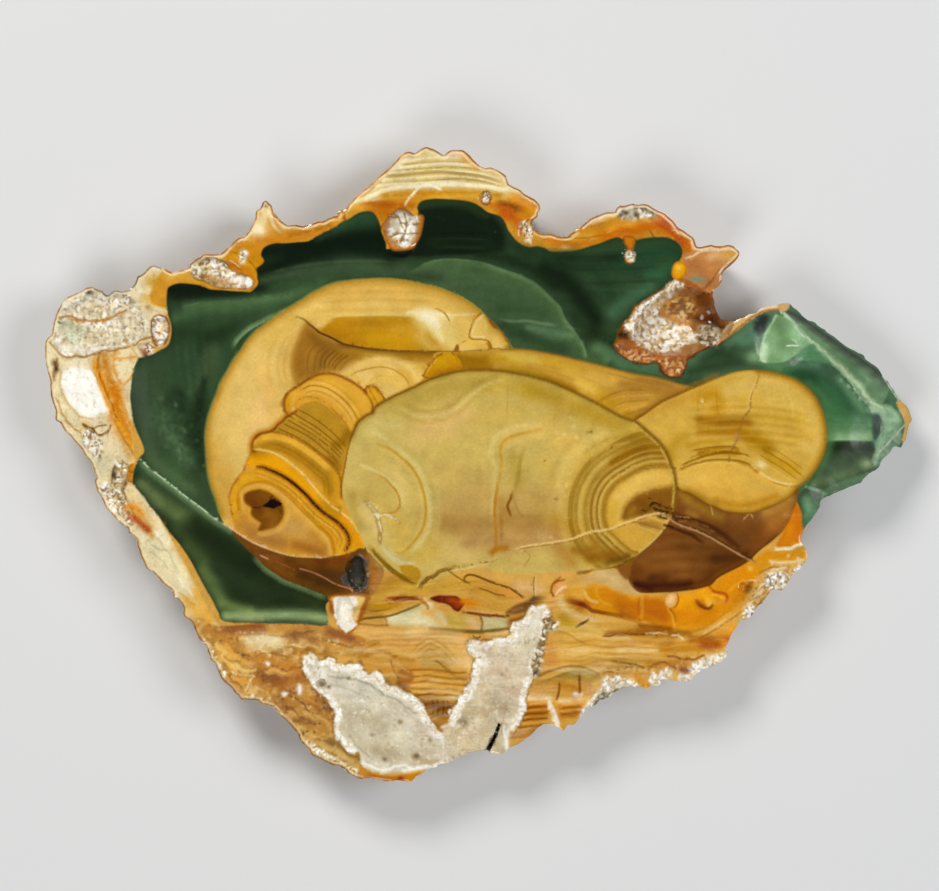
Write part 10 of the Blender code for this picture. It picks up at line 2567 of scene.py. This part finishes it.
def stone_material():
    made = bpy.data.materials.new("jasper_polished")
    made.use_nodes = True
    tree = made.node_tree
    shader = tree.nodes["Principled BSDF"]
    link = tree.links.new
    paint_in = node(tree, "ShaderNodeAttribute", -1100, 300, attribute_name="Paint")
    finish_in = node(tree, "ShaderNodeAttribute", -1100, -100, attribute_name="Finish")
    coords = node(tree, "ShaderNodeTexCoord", -1500, 0)
    kind_in = node(tree, "ShaderNodeAttribute", -1500, 600, attribute_name="Kind")
    kinds = node(tree, "ShaderNodeSeparateColor", -1300, 600)
    link(kind_in.outputs["Color"], kinds.inputs[0])

    def grain(scale, detail, stretch=None, roughness=0.55, source=None):
        made_noise = node(tree, "ShaderNodeTexNoise", -1100, 100)
        made_noise.inputs["Scale"].default_value = scale
        made_noise.inputs["Detail"].default_value = detail
        made_noise.inputs["Roughness"].default_value = roughness
        out = source or coords.outputs["Object"]
        if stretch:
            pull = node(tree, "ShaderNodeVectorMath", -1300, 100, operation="MULTIPLY")
            link(out, pull.inputs[0])
            pull.inputs[1].default_value = stretch
            out = pull.outputs["Vector"]
        link(out, made_noise.inputs["Vector"])
        return made_noise

    def ranged(value, lo, hi, to_lo, to_hi):
        step = node(tree, "ShaderNodeMapRange", -900, 100)
        for name, number in (("From Min", lo), ("From Max", hi), ("To Min", to_lo), ("To Max", to_hi)):
            step.inputs[name].default_value = number
        link(value, step.inputs["Value"])
        return step.outputs["Result"]

    def product(a_out, b_out):
        step = node(tree, "ShaderNodeMath", -800, 100, operation="MULTIPLY")
        link(a_out, step.inputs[0])
        link(b_out, step.inputs[1])
        return step.outputs["Value"]

    def tinted(base, amount, tint, blend="MULTIPLY"):
        step = node(tree, "ShaderNodeMix", -600, 300, data_type="RGBA", blend_type=blend)
        link(amount, step.inputs[0])
        link(base, step.inputs[6])
        step.inputs[7].default_value = (*tint, 1.0)
        return step.outputs[2]

    # the coordinates are bent a little, so that fine strata wander
    bend = grain(110.0, 2.0)
    bent = node(tree, "ShaderNodeVectorMath", -1300, 200, operation="MULTIPLY_ADD")
    link(bend.outputs["Color"], bent.inputs[0])
    bent.inputs[1].default_value = (0.003, 0.0035, 0.003)
    link(coords.outputs["Object"], bent.inputs[2])
    strata = grain(1.0, 4.0, (85.0, 950.0, 400.0), 0.6, bent.outputs["Vector"])
    seams = grain(1.0, 3.0, (200.0, 800.0, 500.0), 0.6, bent.outputs["Vector"])
    colour_out = paint_in.outputs["Color"]
    colour_out = tinted(colour_out, product(kinds.outputs[0], ranged(strata.outputs["Fac"], 0.46, 0.72, 0.0, 0.6)), (0.62, 0.42, 0.24))
    colour_out = tinted(colour_out, product(kinds.outputs[0], ranged(strata.outputs["Fac"], 0.46, 0.28, 0.0, 0.22)), (1.0, 0.82, 0.52), "SCREEN")
    colour_out = tinted(colour_out, product(kinds.outputs[0], ranged(seams.outputs["Fac"], 0.58, 0.74, 0.0, 0.6)), (0.42, 0.24, 0.1))
    # sand of the two pale panels: pinkish and greenish clouds, brown and white grains
    cloud = grain(330.0, 3.0)
    sand = grain(5200.0, 2.0, roughness=0.7)
    grit = grain(2300.0, 3.0, roughness=0.7)
    colour_out = tinted(colour_out, product(kinds.outputs[1], ranged(cloud.outputs["Fac"], 0.48, 0.66, 0.0, 0.8)), (0.98, 0.80, 0.66))
    colour_out = tinted(colour_out, product(kinds.outputs[1], ranged(cloud.outputs["Fac"], 0.46, 0.32, 0.0, 0.8)), (0.84, 0.90, 0.80))
    colour_out = tinted(colour_out, product(kinds.outputs[1], ranged(sand.outputs["Fac"], 0.52, 0.68, 0.0, 0.7)), (0.50, 0.40, 0.28))
    colour_out = tinted(colour_out, product(kinds.outputs[1], ranged(sand.outputs["Fac"], 0.48, 0.34, 0.0, 0.5)), (0.9, 0.84, 0.74), "SCREEN")
    colour_out = tinted(colour_out, product(kinds.outputs[1], ranged(grit.outputs["Fac"], 0.60, 0.72, 0.0, 0.9)), (0.36, 0.24, 0.13))
    # rind: broken brown and pale crumbs
    crumbs = grain(1500.0, 5.0, roughness=0.65, source=bent.outputs["Vector"])
    colour_out = tinted(colour_out, product(kinds.outputs[2], ranged(crumbs.outputs["Fac"], 0.52, 0.70, 0.0, 0.85)), (0.50, 0.31, 0.13))
    colour_out = tinted(colour_out, product(kinds.outputs[2], ranged(crumbs.outputs["Fac"], 0.46, 0.32, 0.0, 0.36)), (0.95, 0.78, 0.48), "SCREEN")
    # everywhere: a faint cloud and a faint grain
    grain_all = grain(2600.0, 3.0)
    cloud_all = grain(420.0, 4.0, source=bent.outputs["Vector"])
    tone = product(ranged(grain_all.outputs["Fac"], 0.3, 0.7, 0.93, 1.07), ranged(cloud_all.outputs["Fac"], 0.3, 0.7, 0.90, 1.09))
    mixed = node(tree, "ShaderNodeVectorMath", -400, 300, operation="SCALE")
    link(colour_out, mixed.inputs[0])
    link(tone, mixed.inputs["Scale"])
    link(mixed.outputs["Vector"], shader.inputs["Base Color"])
    rough = node(tree, "ShaderNodeMapRange", -700, -100)
    rough.inputs["To Min"].default_value = 0.15
    rough.inputs["To Max"].default_value = 0.78
    link(finish_in.outputs["Fac"], rough.inputs["Value"])
    link(rough.outputs["Result"], shader.inputs["Roughness"])
    crumb = node(tree, "ShaderNodeTexNoise", -1100, -350)
    crumb.inputs["Scale"].default_value = 1500.0
    crumb.inputs["Detail"].default_value = 4.0
    link(coords.outputs["Object"], crumb.inputs["Vector"])
    bump = node(tree, "ShaderNodeBump", -400, -300)
    bump.inputs["Distance"].default_value = 0.00012
    strength = node(tree, "ShaderNodeMapRange", -700, -350)
    strength.inputs["To Min"].default_value = 0.02
    strength.inputs["To Max"].default_value = 0.75
    link(finish_in.outputs["Fac"], strength.inputs["Value"])
    link(strength.outputs["Result"], bump.inputs["Strength"])
    link(crumb.outputs["Fac"], bump.inputs["Height"])
    link(bump.outputs["Normal"], shader.inputs["Normal"])
    shader.inputs["IOR"].default_value = 1.54
    return made


mesh.materials.append(stone_material())
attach(stone, "root")
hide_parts("jasper_slab")

# ------------------------------------------------------------------ floor, light and camera
floor_mesh = bpy.data.meshes.new("floor")
floor_mesh.from_pydata([(-1.5, -1.5, 0), (1.5, -1.5, 0), (1.5, 1.5, 0), (-1.5, 1.5, 0)], [], [(0, 1, 2, 3)])
floor = bpy.data.objects.new("floor", floor_mesh)
bpy.context.scene.collection.objects.link(floor)
floor_material = bpy.data.materials.new("floor_paper")
floor_material.use_nodes = True
floor_tree = floor_material.node_tree
floor_shader = floor_tree.nodes["Principled BSDF"]
floor_noise = node(floor_tree, "ShaderNodeTexNoise", -600, 0)
floor_noise.inputs["Scale"].default_value = 60.0
floor_tone = node(floor_tree, "ShaderNodeMapRange", -400, 0)
floor_tone.inputs["To Min"].default_value = 0.70
floor_tone.inputs["To Max"].default_value = 0.72
floor_tree.links.new(floor_noise.outputs["Fac"], floor_tone.inputs["Value"])
floor_tree.links.new(floor_tone.outputs["Result"], floor_shader.inputs["Base Color"])
floor_shader.inputs["Roughness"].default_value = 0.9
floor_mesh.materials.append(floor_material)


def area_light(name, place, size, power, tint=(1.0, 1.0, 1.0)):
    lamp = bpy.data.lights.new(name, "AREA")
    lamp.shape = "DISK"
    lamp.size = size
    lamp.energy = power
    lamp.color = tint
    made = bpy.data.objects.new(name, lamp)
    made.location = place
    made.rotation_euler = (-Vector(place)).to_track_quat("-Z", "Y").to_euler()
    bpy.context.scene.collection.objects.link(made)
    return made


area_light("key", (-0.24, 0.42, 0.50), 0.26, 2.8, (1.0, 0.985, 0.96))
area_light("fill", (0.48, 0.06, 0.56), 0.42, 2.4, (0.97, 0.985, 1.0))
area_light("low", (-0.22, -0.42, 0.54), 0.42, 1.85)
world = bpy.data.worlds.new("studio")
bpy.context.scene.world = world
world.use_nodes = True
world.node_tree.nodes["Background"].inputs["Color"].default_value = (0.92, 0.95, 1.0, 1.0)
world.node_tree.nodes["Background"].inputs["Strength"].default_value = 0.08

camera_data = bpy.data.cameras.new("camera")
camera_data.type = "PERSP"
camera_data.lens = 200.0
camera_data.sensor_width = 36.0
camera_data.clip_start = 0.01
camera = bpy.data.objects.new("camera", camera_data)
camera.location = (-0.00137, 0.002697, 0.7656)
camera.rotation_euler = (0.0, 0.0, 0.0)
bpy.context.scene.collection.objects.link(camera)
bpy.context.scene.camera = camera
bpy.context.scene.view_settings.view_transform = "Standard"
